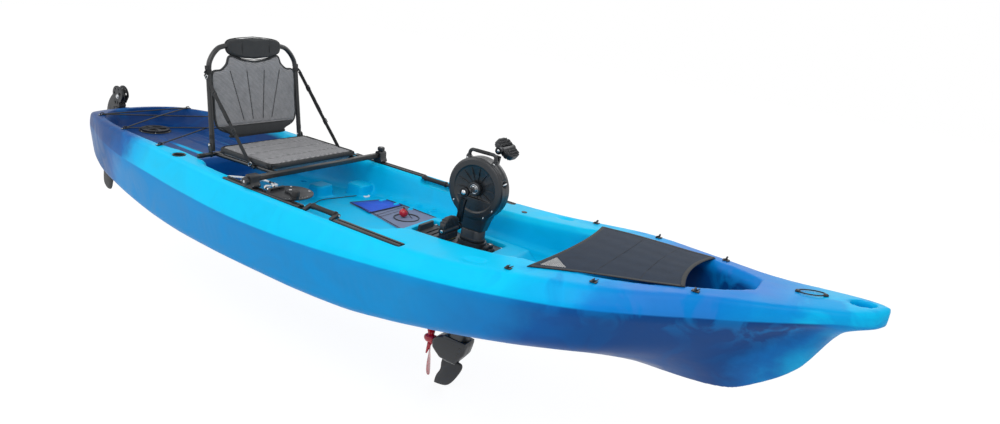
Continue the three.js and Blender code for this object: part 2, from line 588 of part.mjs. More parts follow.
function makeGearcase(side) {
  const [outer, inner] = drumHalf(side);
  const halfMast = mast.length / 2;
  const [near, far] = side > 0 ? [touchGap / 2, drum.halfWidth - drum.wall] : [drum.wall - drum.halfWidth,
    -touchGap / 2];
  const neck = prism('y', [
    [drum.x - halfMast, drum.neckBottom], [drum.x + halfMast, drum.neckBottom],
    [drum.x + halfMast, drum.neckBottom + drum.wall], [drum.x + drum.neckBulge, drum.neckTop],
    [drum.x - drum.neckBulge, drum.neckTop], [drum.x - halfMast, drum.neckBottom + drum.wall],
  ], near, far);
  const [lugLow, lugHigh] = side > 0 ? [touchGap / 2, handle.lugHalf] : [-handle.lugHalf, -touchGap / 2];
  const lugs = [-1, 1].map((end) => box(
    [drum.x + end * handle.halfSpan - handle.lugHalf, lugLow, lugTopZ - handle.lugRise - handle.lugDepth],
    [drum.x + end * handle.halfSpan + handle.lugHalf, lugHigh, lugTopZ]));
  const shaftRoom = bar('z', drum.shaftRoom, drum.neckBottom - overrun, drum.neckTop + drum.wall,
    [drum.x, 0]);
  const bearingSeat = bar('y', axle.bearingRadius + touchGap, -drum.halfWidth - overrun,
    drum.halfWidth + overrun, [drum.x, drum.z], 20);
  return cut(union(outer, neck, ...lugs), inner, shaftRoom, bearingSeat);
}

function makeHandle() {
  const { halfSpan, bend, rise } = handle;
  const [low, top] = [lugTopZ + touchGap, lugTopZ + rise - handle.barRadius];
  const half = [
    [-halfSpan, low], [-halfSpan, low + handle.foot], [-halfSpan, (low + top) / 2],
    [bend / 3 - halfSpan, top - bend / 4], [bend - halfSpan, top], [bend * 2 - halfSpan, top],
  ];
  const route = [...half, ...half.map(([x, z]) => [-x, z]).reverse()];
  return tube(route.map(([x, z]) => [drum.x + x, 0, z]), handle.barRadius, 8, 2);
}

// Plates with a slot-shaped outline around the mast
const mastOutline = (grow) => linkOutline(
  [drum.x - (mast.length - mast.width) / 2, 0], mast.width / 2 + grow,
  [drum.x + (mast.length - mast.width) / 2, 0], mast.width / 2 + grow);

const mastHole = (low, high) => prism('z', mastOutline(touchGap), low - overrun, high + overrun);

function makeMast() {
  const [low, high] = [lowerCase.top + touchGap, drum.neckBottom - touchGap];
  const bore = bar('z', mast.bore, low - overrun, high + overrun, [drum.x, 0]);
  return cut(prism('z', mastOutline(0), low, high), bore);
}

function makeDriveBase() {
  const low = pocket.floor + touchGap;
  const plateTop = low + driveBase.plate;
  const centre = (pocket.aft + pocket.fore) / 2;
  const plate = prism('z', roundedOutline(rectangle(
    (pocket.fore - pocket.aft) / 2 - driveBase.inset, pocket.halfWidth - driveBase.inset, centre),
  driveBase.plate), low, plateTop);
  const tuck = driveBase.skirtInset;
  const skirt = box([slot.aft + tuck, tuck - slot.halfWidth, low - driveBase.skirtDepth],
    [slot.fore - tuck, slot.halfWidth - tuck, low + driveBase.plate / 2]);
  const collar = prism('z', mastOutline(driveBase.collarWall), low, plateTop + driveBase.collar);
  const pads = [latch.rear, latch.fore].map((x) => (
    bar('z', latch.hubRadius * 1.4, low, driveBase.padTop, [x, 0])));
  const block = box([pocket.aft + driveBase.block / 3, -slot.halfWidth, low],
    [pocket.aft + driveBase.block, slot.halfWidth, plateTop + driveBase.collar]);
  return cut(union(plate, skirt, collar, ...pads, block), mastHole(low, plateTop + driveBase.collar));
}

function makeLatch(x) {
  const low = driveBase.padTop + touchGap;
  const hub = bar('z', latch.hubRadius, low, low + latch.hubHeight, [x, 0]);
  const middle = low + latch.hubHeight / 2;
  const arm = box([x - latch.armWidth / 2, -latch.arm, middle - latch.armHeight / 2],
    [x + latch.armWidth / 2, 0, middle + latch.armHeight / 2]);
  return union(hub, arm);
}

function makeAxleBearing(side) {
  const outer = drum.halfWidth;
  const inner = outer - axle.bearingLength;
  const [low, high] = side > 0 ? [inner, outer] : [-outer, -inner];
  return ring('y', axle.bearingRadius, axle.radius + touchGap, low, high, [drum.x, drum.z]);
}

function makeRingGear() {
  const face = upperPinion.tip + touchGap + ringGear.tooth;
  const disc = ring('y', ringGear.radius, axle.radius + touchGap, face, face + ringGear.web,
    [drum.x, drum.z], 24);
  const length = ringGear.radius - ringGear.toothInner;
  const teeth = [...Array(ringGear.teeth).keys()].map((i) => {
    const tooth = new THREE.BoxGeometry(length - ringGear.tooth / 2, ringGear.tooth * 2, ringGear.toothWidth);
    tooth.translate(ringGear.toothInner + length / 2, face, 0);
    tooth.rotateY((2 * Math.PI * i) / ringGear.teeth);
    return solid(tooth.translate(drum.x, 0, drum.z));
  });
  return union(disc, ...teeth);
}

function makeCrankArm(side) {
  const tilt = (crank.tiltDegrees * Math.PI) / 180;
  const end = [drum.x + side * crank.radius * Math.sin(tilt), drum.z + side * crank.radius * Math.cos(tilt)];
  const near = axle.crankPlane - crank.thickness / 2;
  const far = axle.crankPlane + crank.thickness / 2;
  const [low, high] = side > 0 ? [near, far] : [-far, -near];
  const arm = prism('y', linkOutline([drum.x, drum.z], crank.hubRadius, end, crank.tipRadius, 7), low, high,
    crank.bevel);
  const reach = pedal.inner + pedalWidth;
  const [from, to] = side > 0 ? [axle.crankPlane, reach] : [-reach, -axle.crankPlane];
  const spindle = bar('y', crank.spindle, from, to, end, 12);
  const hole = bar('y', axle.radius + touchGap, low - overrun, high + overrun, [drum.x, drum.z]);
  return cut(union(arm, spindle), hole);
}

function makePedal(side) {
  const tilt = (crank.tiltDegrees * Math.PI) / 180;
  const turn = ((side > 0 ? pedal.portTiltDegrees : pedal.starboardTiltDegrees) * Math.PI) / 180;
  const [halfLength, halfThick] = [pedal.length / 2, pedal.thickness / 2];
  const body = prism('y', roundedOutline(rectangle(halfLength, halfThick), halfThick * 0.8, 2),
    pedal.inner, pedal.inner + pedalWidth, pedal.bevel);
  const pitch = pedalWidth / (pedal.grooves + 1);
  const grooves = [...Array(pedal.grooves).keys()].flatMap((i) => [-1, 1].map((face) => {
    const y = pedal.inner + pitch * (i + 1);
    const depth = face * (halfThick - pedal.groove);
    const [low, high] = face > 0 ? [depth, halfThick + overrun] : [-halfThick - overrun, depth];
    return box([-halfLength * 0.8, y - pedal.groove / 2, low],
      [halfLength * 0.8, y + pedal.groove / 2, high]);
  }));
  const hole = bar('y', crank.spindle + touchGap, 0, pedal.inner + pedalWidth + overrun, [0, 0], 12);
  const flat = cut(body, ...grooves, hole);
  const mirroredBody = side > 0 ? flat : flat.mirror([0, 1, 0]);
  const geometry = toGeometry(mirroredBody);
  geometry.rotateY(turn);
  geometry.translate(drum.x + side * crank.radius * Math.sin(tilt), 0,
    drum.z + side * crank.radius * Math.cos(tilt));
  return solid(geometry);
}

const makeAxle = () => bar('y', axle.radius, -axle.crankPlane - crank.thickness / 2,
  axle.crankPlane + crank.thickness / 2, [drum.x, drum.z]);

// A round gear with straight teeth, between two places on its axis.
function spurGear(axis, gear, from, to, centre) {
  const outline = [...Array(gear.teeth).keys()].flatMap((i) => [0, 0.25, 0.5, 0.75].map((part) => {
    const radius = part < 0.5 ? gear.tip : gear.root;
    const angle = (2 * Math.PI * (i + part)) / gear.teeth;
    return [centre[0] + radius * Math.cos(angle), centre[1] + radius * Math.sin(angle)];
  }));
  const hole = bar(axis, shaft.radius + touchGap, from - overrun, to + overrun, centre, 12);
  return cut(prism(axis, outline, from, to), hole);
}

const upperPinionBottom = drum.z - ringGear.radius + upperPinion.set;
const makeUpperPinion = () => spurGear('z', upperPinion, upperPinionBottom,
  upperPinionBottom + upperPinion.height, [drum.x, 0]);

const crownPlane = prop.z + propGear.tip + touchGap;
const crownTop = crownPlane + crownGear.tooth + crownGear.web;

function makeLowerPinion() {
  const disc = bar('z', crownGear.radius, crownPlane + crownGear.tooth, crownTop, [drum.x, 0], 15);
  const length = crownGear.radius - crownGear.toothInner;
  const teeth = [...Array(crownGear.teeth).keys()].map((i) => {
    const tooth = new THREE.BoxGeometry(length - crownGear.tooth / 2, crownGear.toothWidth,
      crownGear.tooth * 2);
    tooth.translate(crownGear.toothInner + length / 2, 0, crownPlane + crownGear.tooth);
    tooth.rotateZ((2 * Math.PI * i) / crownGear.teeth);
    return solid(tooth.translate(drum.x, 0, 0));
  });
  const socket = bar('z', shaft.radius + touchGap, crownTop - crownGear.web / 2, crownTop + overrun,
    [drum.x, 0], 12);
  return cut(union(disc, ...teeth), socket);
}

const makeDriveShaft = () => bar('z', shaft.radius, crownTop - crownGear.web / 2 + touchGap, shaft.top,
  [drum.x, 0], 12);

const makeShaftBearing = () => ring('z', mast.bore - touchGap, shaft.radius + touchGap, shaftBearing.z,
  shaftBearing.z + shaftBearing.height, [drum.x, 0], 16);

// Lower unit below the hull. Outline shares run from the aft face to the fore end and from the seam up.
const caseShares = [
  [0.36, 1], [0.98, 1], [1, 0.85], [0.94, 0.45], [0.72, 0], [0.27, 0], [0.1, 0.2], [0, 0.34], [0, 0.62],
  [0.16, 0.86],
];

function makeLowerCase(side) {
  const height = lowerCase.top - lowerCase.bottom;
  const outline = caseShares.map(([u, v]) => [
    lowerCase.aft + u * (lowerCase.fore - lowerCase.aft), lowerCase.bottom + v * height]).reverse();
  const [low, high] = [touchGap / 2 - lowerCase.halfWidth, lowerCase.halfWidth - touchGap / 2];
  const whole = prism('y', outline, low, high, lowerCase.bevel);
  const halfSpace = side > 0
    ? box([lowerCase.aft - overrun, touchGap / 2, lowerCase.bottom - overrun], [lowerCase.fore + overrun,
      lowerCase.halfWidth + overrun, lowerCase.top + overrun])
    : box([lowerCase.aft - overrun, -lowerCase.halfWidth - overrun, lowerCase.bottom - overrun],
      [lowerCase.fore + overrun, -touchGap / 2, lowerCase.top + overrun]);
  const reach = lowerCase.chamberHalf;
  const room = lowerCase.chamberRoom;
  const chamber = box([drum.x - reach - room, -reach, prop.z - propGear.tip - room],
    [drum.x + reach, reach, crownTop + room / 3]);
  const shaftBore = bar('z', mast.bore, crownTop, lowerCase.top + overrun, [drum.x, 0]);
  const propBore = bar('x', prop.bearingRadius + touchGap, lowerCase.aft - overrun,
    lowerCase.aft + 2 * prop.bearingSet + prop.bearingLength, [0, prop.z]);
  const propRoom = bar('x', shaft.radius * 1.5, lowerCase.aft, drum.x, [0, prop.z]);
  return cut(whole.intersect(halfSpace), chamber, shaftBore, propBore, propRoom);
}

const makePropShaft = () => bar('x', shaft.radius, prop.shaftAft, prop.shaftFore, [0, prop.z], 12);

const makePropGear = () => spurGear('x', propGear, drum.x - propGear.offset - propGear.width / 2,
  drum.x - propGear.offset + propGear.width / 2, [0, prop.z]);

const makePropBearing = () => ring('x', prop.bearingRadius, shaft.radius + touchGap,
  lowerCase.aft + prop.bearingSet, lowerCase.aft + prop.bearingSet + prop.bearingLength, [0, prop.z], 16);

// Blade stations: radius share, chord share of the wide chord, pitch in degrees, sweep share of the chord.
const bladeShares = [[0.08, 0.6, 58, 0], [0.3, 0.92, 46, 0.02], [0.55, 1, 34, 0.08], [0.8, 0.84, 27, 0.2],
  [0.94, 0.56, 24, 0.34], [1, 0.22, 22, 0.44]];

function makePropeller() {
  const middle = (prop.hubAft + prop.hubFore) / 2;
  const hub = turned('x', [
    [0, prop.hubAft - prop.hubRadius * 0.6], [prop.hubRadius * 0.55, prop.hubAft - prop.hubRadius * 0.35],
    [prop.hubRadius * 0.92, prop.hubAft + prop.hubRadius * 0.2],
    [prop.hubRadius, prop.hubAft + prop.hubRadius * 0.6],
    [prop.hubRadius, prop.hubFore], [0, prop.hubFore],
  ], [0, 0, prop.z], 16);
  const blades = [1, -1].map((way) => loft(bladeShares.map(([reach, chord, pitch, sweep]) => {
    const angle = (pitch * Math.PI) / 180;
    const half = (chord * prop.wideChord) / 2;
    const thick = prop.thickness * (1.15 - reach) * 0.5 + prop.edge;
    const section = [[-half, 0], [-half * 0.4, thick], [half * 0.4, thick], [half, 0],
      [half * 0.4, -thick], [-half * 0.4, -thick]];
    return section.map(([u, v]) => {
      const along = u - sweep * prop.wideChord;
      return [middle + along * Math.sin(angle) * 0.55 + v * Math.cos(angle),
        way * (along * Math.cos(angle) - v * Math.sin(angle)), prop.z + way * reach * prop.radius];
    });
  })));
  const socket = bar('x', shaft.radius + touchGap, prop.shaftAft - touchGap, prop.hubFore + overrun,
    [0, prop.z], 12);
  return cut(union(hub, ...blades), socket);
}

// Fin outline shares: along the lower unit and down from its seam to the fin's tip.
const finShares = [[0.27, 0], [0.72, 0], [0.85, 0.06], [0.82, 0.28], [0.62, 0.72], [0.43, 0.93], [0.13, 1],
  [0.09, 0.95], [0.13, 0.72], [0.23, 0.46], [0.235, 0.18]];

function makeFin() {
  const top = lowerCase.bottom - touchGap;
  const outline = finShares.map(([u, v]) => (
    [lowerCase.aft + u * (lowerCase.fore - lowerCase.aft), top - v * fin.drop]));
  return prism('y', outline, -fin.thickness / 2, fin.thickness / 2, fin.thickness * 0.28);
}

// Rudder on the stern
const steerX = -hull.sternReach - bracket.axisSetback;
const pivot = [steerX + rudder.pivotLead, bracket.top + rudder.pivotRise];

function makeRudderBracket() {
  const face = -hull.sternReach - touchGap;
  const plate = box([face - bracket.plate, -bracket.halfWidth, bracket.bottom],
    [face, bracket.halfWidth, bracket.top]);
  const lugs = [bracket.bottom, bracket.top - bracket.lug].map((z) => prism('z', linkOutline(
    [steerX, 0], bracket.lugHalf, [face - bracket.plate / 2, 0], bracket.lugHalf), z, z + bracket.lug));
  const room = box([face, -bracket.lugHalf - overrun, 0], [0, bracket.lugHalf + overrun, 2 * bracket.top]);
  const hole = bar('z', rudder.pinRadius + touchGap, 0, 2 * bracket.top, [steerX, 0]);
  return cut(union(plate, ...lugs), room, hole);
}

function makeRudderYoke() {
  const low = bracket.top + touchGap;
  const half = rudder.cheekGap + rudder.cheek;
  const aft = steerX - rudder.baseLength / 2;
  const base = box([aft, -half, low], [aft + rudder.baseLength, half, low + rudder.base]);
  const crownZ = pivot[1] + rudder.crownRise;
  const cheekOutline = [
    [aft, low], [aft + rudder.baseLength, low], [aft + rudder.baseLength, low + rudder.base],
    [pivot[0] + rudder.cheekRadius, low + rudder.base + rudder.cheek],
    ...steady(7, 0, Math.PI).map((turn) => [
      pivot[0] + rudder.cheekRadius * Math.cos(turn), crownZ + rudder.cheekRadius * Math.sin(turn)]),
  ];
  const cheeks = Object.values(sides).map((side) => prism('y', cheekOutline,
    side > 0 ? rudder.cheekGap : -half, side > 0 ? half : -rudder.cheekGap));
  const pin = bar('z', rudder.pinRadius, bracket.bottom - rudder.cheek, low + rudder.base / 2, [steerX, 0]);
  const holes = [0.2, 0.8].map((turn) => bar('y', rudder.hole, -half - overrun, half + overrun, [
    pivot[0] + rudder.holeReach * Math.cos(turn * Math.PI),
    pivot[1] + rudder.holeReach * Math.sin(turn * Math.PI)], 8));
  const pivotHole = bar('y', rudder.pivotRadius + touchGap, -half - overrun, half + overrun, pivot, 12);
  return cut(union(base, ...cheeks, pin), ...holes, pivotHole);
}

// Blade outline shares from its pivot: aft by the reach and down by the drop.
const bladeOutlineShares = [
  [0.1, 0.052], [0.244, 0.069], [0.273, 0.18], [0.34, 0.45], [0.49, 0.76], [0.62, 0.96], [0.73, 1],
  [0.9, 0.99], [1, 0.92], [0.93, 0.72], [0.81, 0.45], [0.68, 0.2], [0.54, 0.07], [0.3, -0.02], [0.12, -0.047],
];

function makeRudderBlade() {
  const outline = bladeOutlineShares.map(([u, v]) => [
    pivot[0] - u * rudder.bladeReach, pivot[1] - v * rudder.bladeDrop]);
  const half = rudder.blade / 2;
  const board = prism('y', outline, -half, half, half * 0.7);
  const head = bar('y', rudder.headRadius, -half, half, pivot, 20);
  const reach = rudder.cheekGap - touchGap;
  const boss = bar('y', rudder.bossRadius, -reach, reach, pivot, 12);
  return cut(union(board, head, boss), bar('y', rudder.pivotRadius + touchGap, -overrun, overrun, pivot, 12));
}

function makeRudderBolt() {
  const reach = rudder.cheekGap + rudder.cheek + touchGap;
  const heads = [[-reach - rudder.boltHeadHeight, -reach], [reach, reach + rudder.boltHeadHeight]].map(
    ([from, to]) => bar('y', rudder.boltHead, from, to, pivot, 12));
  const grip = reach + rudder.boltHeadHeight / 2;
  return union(bar('y', rudder.pivotRadius, -grip, grip, pivot, 12), ...heads);
}

// Hand steering on the starboard rail
const railTop = rail.seat + rail.height;
const steerBase = railTop + touchGap;
const steerTop = steerBase + steering.plate;
const steerY = steering.railGap - railY;
const steerOuter = -railY - steering.plateReach;

function makeSteeringBase() {
  const [x, y, radius] = [steering.x, steerY, steering.plateRadius];
  const outline = [
    [x - radius, steerOuter], [x + radius, steerOuter],
    ...steady(14, 0, Math.PI).map((turn) => [x + radius * Math.cos(turn), y + radius * Math.sin(turn)]),
  ];
  const plate = prism('z', outline, steerBase, steerTop);
  const stop = box([steering.stopAft, steerOuter + steering.stopInset, steerTop - steering.plate / 2],
    [steering.stopAft + steering.stopLength, steering.stopGap - railY, steerTop + steering.stopHeight]);
  return union(plate, stop);
}

function makeSteeringLever() {
  const low = steerTop + touchGap;
  const reach = steering.knobReach;
  const slant = (steering.slantDegrees * Math.PI) / 180;
  const knobAt = [steering.x + reach * Math.cos(slant), steerY + reach * Math.sin(slant)];
  const hub = bar('z', steering.hubRadius, low, low + steering.hubHeight, [steering.x, steerY], 18);
  const arm = prism('z', linkOutline([steering.x, steerY], steering.hubRadius * 0.7, knobAt,
    steering.knobRadius * 0.6, 6), low + steering.armRise, low + steering.hubHeight - steering.armDrop);
  const knobLow = low + steering.hubHeight / 2;
  const [wide, tall] = [steering.knobRadius, steering.knobHeight];
  const knob = turned('z', [[0, knobLow], [wide * 0.6, knobLow], [wide * 0.7, knobLow + tall * 0.3],
    [wide, knobLow + tall * 0.55], [wide * 0.9, knobLow + tall * 0.85], [wide * 0.5, knobLow + tall],
    [0, knobLow + tall]], [...knobAt, 0], 14);
  return union(hub, arm, knob);
}

// The two white sleeves of the rudder lines, from the steering base to the hull below the seat.
// Each point is x, the distance in from the starboard rail, and z.
const sleeveRoutes = {
  outer: [[-298.4, 5, 353.5], [-324, 7, 353.5], [-341, 24, 352], [-350, 52, 345], [-370, 81, 338],
    [-420, 105, 334], [-500, 121, 322], [-590, 117, 306], [-650, 89, 300], [-668, 62, 299]],
  inner: [[-298.4, 39, 353.5], [-318, 41, 353.5], [-337, 53, 352], [-348, 73, 345], [-372, 101, 336],
    [-430, 121, 326], [-505, 135, 312], [-560, 129, 300], [-600, 102, 290], [-614, 72, 286]],
};

// The side wall of the well at a height, where the sleeves enter the hull.
function wellWallY(x, z) {
  const share = toShare(x);
  const [, rimHalf, floorHalf, floor] = wellCurves.map((curve) => curve(share));
  const [low, high] = [floor * hull.rimHeight, rimZ(x) - hull.wellBevel];
  return hull.halfWidth * (floorHalf + ((rimHalf - floorHalf) * (z - low)) / (high - low));
}

function makeSleeve(name) {
  const route = sleeveRoutes[name].map(([x, inward, z]) => [x, inward - railY, z]);
  const [x, , z] = route[route.length - 1];
  const end = [x, steering.tubeRadius - wellWallY(x, z), z];
  return tube([...route, end], steering.tubeRadius, 8, 2);
}

// Seat
const clampInner = railY - seat.clampHalf;
const clampOuter = railY + seat.clampHalf;

function makeSeatBar() {
  const end = clampOuter - seat.lugThickness * 2;
  return bar('y', seat.barRadius, -end, end, [seat.barX, seat.barZ]);
}

function makeRailClamp(side) {
  const low = railTop + touchGap;
  const half = seat.clampLength / 2;
  const [near, far] = side > 0 ? [clampInner, clampOuter] : [-clampOuter, -clampInner];
  const body = prism('y', roundedOutline([
    [seat.barX - half, low], [seat.barX + half, low], [seat.barX + half * 0.7, seat.clampTop],
    [seat.barX - half * 0.7, seat.clampTop]], seat.lugThickness, 2), near, far);
  const end = clampOuter - seat.lugThickness * 2 + touchGap;
  const [from, to] = side > 0 ? [0, end] : [-end, 0];
  return cut(body, bar('y', seat.barRadius + touchGap, from, to, [seat.barX, seat.barZ]));
}

function makeClampKnob(side) {
  const [r, h, stem, bevel] = [seat.knobRadius, seat.knobHeight, seat.knobStem, seat.knobBevel];
  const profile = [[0, 0], [r / 2, 0], [r / 2, stem], [r, stem], [r, h - bevel], [r - 1.5 * bevel, h],
    [0, h]];
  if (side > 0) {
    const middle = side * (clampInner + clampOuter) / 2;
    return turned('z', profile.map(([u, v]) => [u, v + seat.clampTop + touchGap]), [seat.barX, middle, 0],
      14);
  }
  return turned('y', profile.map(([u, v]) => [u, -clampOuter - touchGap - v]),
    [seat.barX, 0, seat.barZ - seat.lugThickness], 14);
}

const seatTop = seat.frameZ + seat.tube;

function makeSeatFrame() {
  const rear = bar('y', seat.tube, -frameHalf - seat.rearOverhang, frameHalf + seat.rearOverhang,
    [seat.rearX, seat.frameZ]);
  const start = seat.barX - seat.barRadius - touchGap;
  const rise = (seat.barZ - seat.frameZ) * 0.6;
  const pieces = Object.values(sides).flatMap((side) => {
    const y = side * frameHalf;
    const rails = tube([
      [start, y, seat.frameZ + rise], [start - seat.tube, y, seat.frameZ + rise],
      [start - 3 * seat.tube, y, seat.frameZ], [start - 6 * seat.tube, y, seat.frameZ],
      [seat.rearX + 2 * seat.tube, y, seat.frameZ], [seat.rearX, y, seat.frameZ]], seat.tube, 8, 1);
    const near = backHalf + back.tube + touchGap;
    const [low, high] = side > 0 ? [near, near + seat.lugThickness] : [-near - seat.lugThickness, -near];
    const ear = prism('y', linkOutline([seat.rearX, seat.frameZ], seat.tube * 0.9,
      [back.hingeX, back.hingeZ], back.lug, 6), low, high);
    const [pinLow, pinHigh] = side > 0 ? [backHalf, high] : [low, -backHalf];
    const pin = bar('y', back.pin, pinLow, pinHigh, [back.hingeX, back.hingeZ], 10);
    const lugFar = strapFootY() + strap.thickness;
    const [lugLow, lugHigh] = side > 0 ? [frameHalf, lugFar] : [-lugFar, -frameHalf];
    const lug = box([strap.footX - strap.lugLength / 2, lugLow, seat.frameZ - seat.lugThickness / 2],
      [strap.footX + strap.lugLength / 2, lugHigh, seat.frameZ + seat.lugThickness / 2]);
    return [rails, ear, pin, lug];
  });
  return union(rear, ...pieces);
}

function makeSeatCushion() {
  const low = seat.frameZ + seat.tube * Math.cos(Math.PI / 8) + touchGap;
  const high = low + seat.cushionThickness;
  const centreX = (seat.cushionFront + seat.cushionRear) / 2;
  const halfX = (seat.cushionFront - seat.cushionRear) / 2;
  const layer = (inset, z) => roundedOutline(rectangle(halfX - inset, cushionHalf - inset, centreX),
    Math.max(seat.cushionRound - inset / 2, seat.cushionRound / 3), 5).map(([x, y]) => [x, y, z]);
  const [t, c] = [seat.cushionThickness, seat.cushionCrown];
  const tuck = t * 0.12;
  return loft([
    layer(t * 0.45, low), layer(tuck, low + t * 0.14), layer(0, low + t * 0.3), layer(tuck, low + t * 0.5),
    layer(0, low + t * 0.7), layer(tuck, high - t * 0.12), layer(t * 0.45, high),
    layer(t * 1.6, high + c * 0.55), layer(t * 3, high + c * 0.9), layer(t * 4.4, high + c),
  ]);
}

// Shear that leans a part built upright at the hinge.
function leaned(body) {
  const geometry = toGeometry(body);
  const shear = new THREE.Matrix4().set(
    1, 0, -back.lean, back.lean * back.hingeZ, 0, 1, 0, 0, 0, 0, 1, 0, 0, 0, 0, 1);
  return solid(geometry.applyMatrix4(shear));
}

// Back frame shares: half width, and height above the hinge as a share of the frame's height.
const frameShares = [[1, 0], [0.985, 0.38], [0.966, 0.73], [0.906, 0.846], [0.76, 0.935], [0.6, 0.964],
  [0.385, 0.986], [0, 1]];
const backPoint = ([u, v]) => [u * backHalf, back.hingeZ + v * back.height];

function makeBackTube(extra) {
  const foot = [backHalf, seatTop + back.footLift];
  const half = [foot, ...frameShares.map(backPoint)];
  const route = [...half, ...half.slice(0, -1).reverse().map(([y, z]) => [-y, z])];
  return tube(route.map(([y, z]) => [back.hingeX, y, z]), back.tube + extra, 8, 1);
}

function makeBackFrame() {
  const holes = Object.values(sides).map((side) => {
    const [low, high] = side > 0 ? [backHalf - touchGap, backHalf + overrun]
      : [-backHalf - overrun, touchGap - backHalf];
    return bar('y', back.pin + touchGap, low, high, [back.hingeX, back.hingeZ], 10);
  });
  return cut(leaned(makeBackTube(0)), ...holes);
}

// Panel outline shares of the back's half width and height, from the foot up to the pad.
const panelShares = [[0, 0.045], [0.6, 0.045], [0.62, 0.08], [0.9, 0.175], [0.931, 0.45], [0.9265, 0.7],
  [0.74, 0.735], [0.62, 0.79], [0.535, 0.872], [0.3, 0.836], [0, 0.815]];
const padShares = [[0, 0.819], [0.3, 0.84], [0.545, 0.885], [0.6, 0.95], [0.575, 1.012], [0.385, 1.04],
  [0, 1.058]];

// A padded sheet from an outline and layers of (scale, depth).
function padded(shares, layers) {
  const outline = mirrored(shares.map(backPoint));
  const centre = [0, 1].map((k) => outline.reduce((sum, p) => sum + p[k], 0) / outline.length);
  const soft = roundedOutline(outline, backHalf * 0.06, 1);
  return leaned(loft(layers.map(([scale, depth]) => soft.map(([y, z]) => [
    back.hingeX + depth, centre[0] + (y - centre[0]) * scale, centre[1] + (z - centre[1]) * scale]))));
}

function makeBackPanel() {
  const [half, crown] = [back.panelThickness / 2, back.panelCrown];
  return padded(panelShares, [[0.97, -half], [1, 0], [0.97, half],
    [0.8, half + crown * 0.6], [0.5, half + crown]]);
}

function makeHeadrest() {
  const half = back.padThickness / 2;
  const pad = padded(padShares, [[0.84, -half], [0.95, -half * 0.85], [1, -half * 0.4], [1, half * 0.4],
    [0.95, half * 0.85], [0.84, half]]);
  return cut(pad, leaned(makeBackTube(touchGap)));
}

const strapFootY = () => cushionHalf + 2 * touchGap + strap.thickness;

function makeStrap(side) {
  const topX = back.hingeX - (strap.topZ - back.hingeZ) * back.lean;
  const top = [topX, side * (backHalf + back.tube + touchGap), strap.topZ];
  const foot = [strap.footX, side * strapFootY(), seat.frameZ + seat.lugThickness / 2 + strap.thickness];
  const [dx, dz] = [foot[0] - top[0], foot[2] - top[2]];
  const length = Math.hypot(dx, dz);
  const across = [(-dz / length) * strap.width / 2, (dx / length) * strap.width / 2];
  const section = ([x, y, z]) => [[1, -1], [1, 1], [-1, 1], [-1, -1]].map(([w, t]) => [
    x + w * across[0], y + t * strap.thickness / 2, z + w * across[1]]);
  return cut(loft([section(top), section(foot)]), box(
    [strap.footX - strap.lugLength * 2, -hull.halfWidth, 0],
    [strap.footX + strap.lugLength * 2, hull.halfWidth, seat.frameZ + seat.lugThickness / 2 + touchGap]));
}

// Sheets laid over a grid of points, with a thickness upwards.
function slab(grid, thickness) {
  const columns = grid[0].length;
  const points = [...grid.flat(), ...grid.flat().map(([x, y, z]) => [x, y, z + thickness])];
  const top = grid.length * columns;
  const faces = [];
  const quad = (a, b, c, d) => faces.push([a, b, c], [a, c, d]);
  for (let i = 0; i < grid.length - 1; i += 1) {
    for (let j = 0; j < columns - 1; j += 1) {
      const a = i * columns + j;
      quad(a, a + 1, a + columns + 1, a + columns);
      quad(top + a, top + a + columns, top + a + columns + 1, top + a + 1);
    }
  }
  const wall = (line) => line.slice(1).forEach((b, i) => quad(b, line[i], line[i] + top, b + top));
  const last = grid.length - 1;
  wall([...Array(columns).keys()]);
  wall([...Array(grid.length).keys()].map((i) => i * columns + columns - 1));
  wall([...Array(columns).keys()].map((j) => last * columns + columns - 1 - j));
  wall([...Array(grid.length).keys()].map((i) => (last - i) * columns));
  return bodyFrom(points, faces);
}

function makeCover() {
  const across = steady(8, -1, 1);
  return slab(steady(9, 0, 1).map((u) => across.map((v) => {
    const dip = 1 - v * v;
    const start = cover.rear + cover.rearDip * dip;
    const end = cover.fore - cover.foreDip * dip;
    const x = start + (end - start) * u;
    const y = v * (cover.rearHalf + (cover.foreHalf - cover.rearHalf) * u);
    return [x, y, deckZ(x, y) + cover.edgeLift];
  })), cover.thickness);
}

function makeMat() {
  const mix = (a, b, t) => a.map((value, k) => value + (b[k] - value) * t);
  const corner = (x, share) => [x, share * hull.halfWidth];
  const [innerAft, innerFore] = mat.innerShares
    .map((share, k) => corner([mat.aftInnerX, mat.foreX][k], share));
  const [outerAft, outerFore] = mat.outerShares
    .map((share, k) => corner([mat.aftOuterX, mat.foreX][k], share));
  return slab(steady(6, 0, 1).map((u) => steady(4, 0, 1).map((v) => {
    const [x, y] = mix(mix(innerAft, innerFore, u), mix(outerAft, outerFore, u), v);
    return [x, y, floorZ(x) + mat.lift];
  })), mat.thickness);
}

function makeBall() {
  const z = floorZ(ball.x) + mat.lift + touchGap + mat.thickness + ball.radius;
  return solid(new THREE.SphereGeometry(ball.radius, 12, 8).rotateX(Math.PI / 2)
    .translate(ball.x, ball.y, z));
}

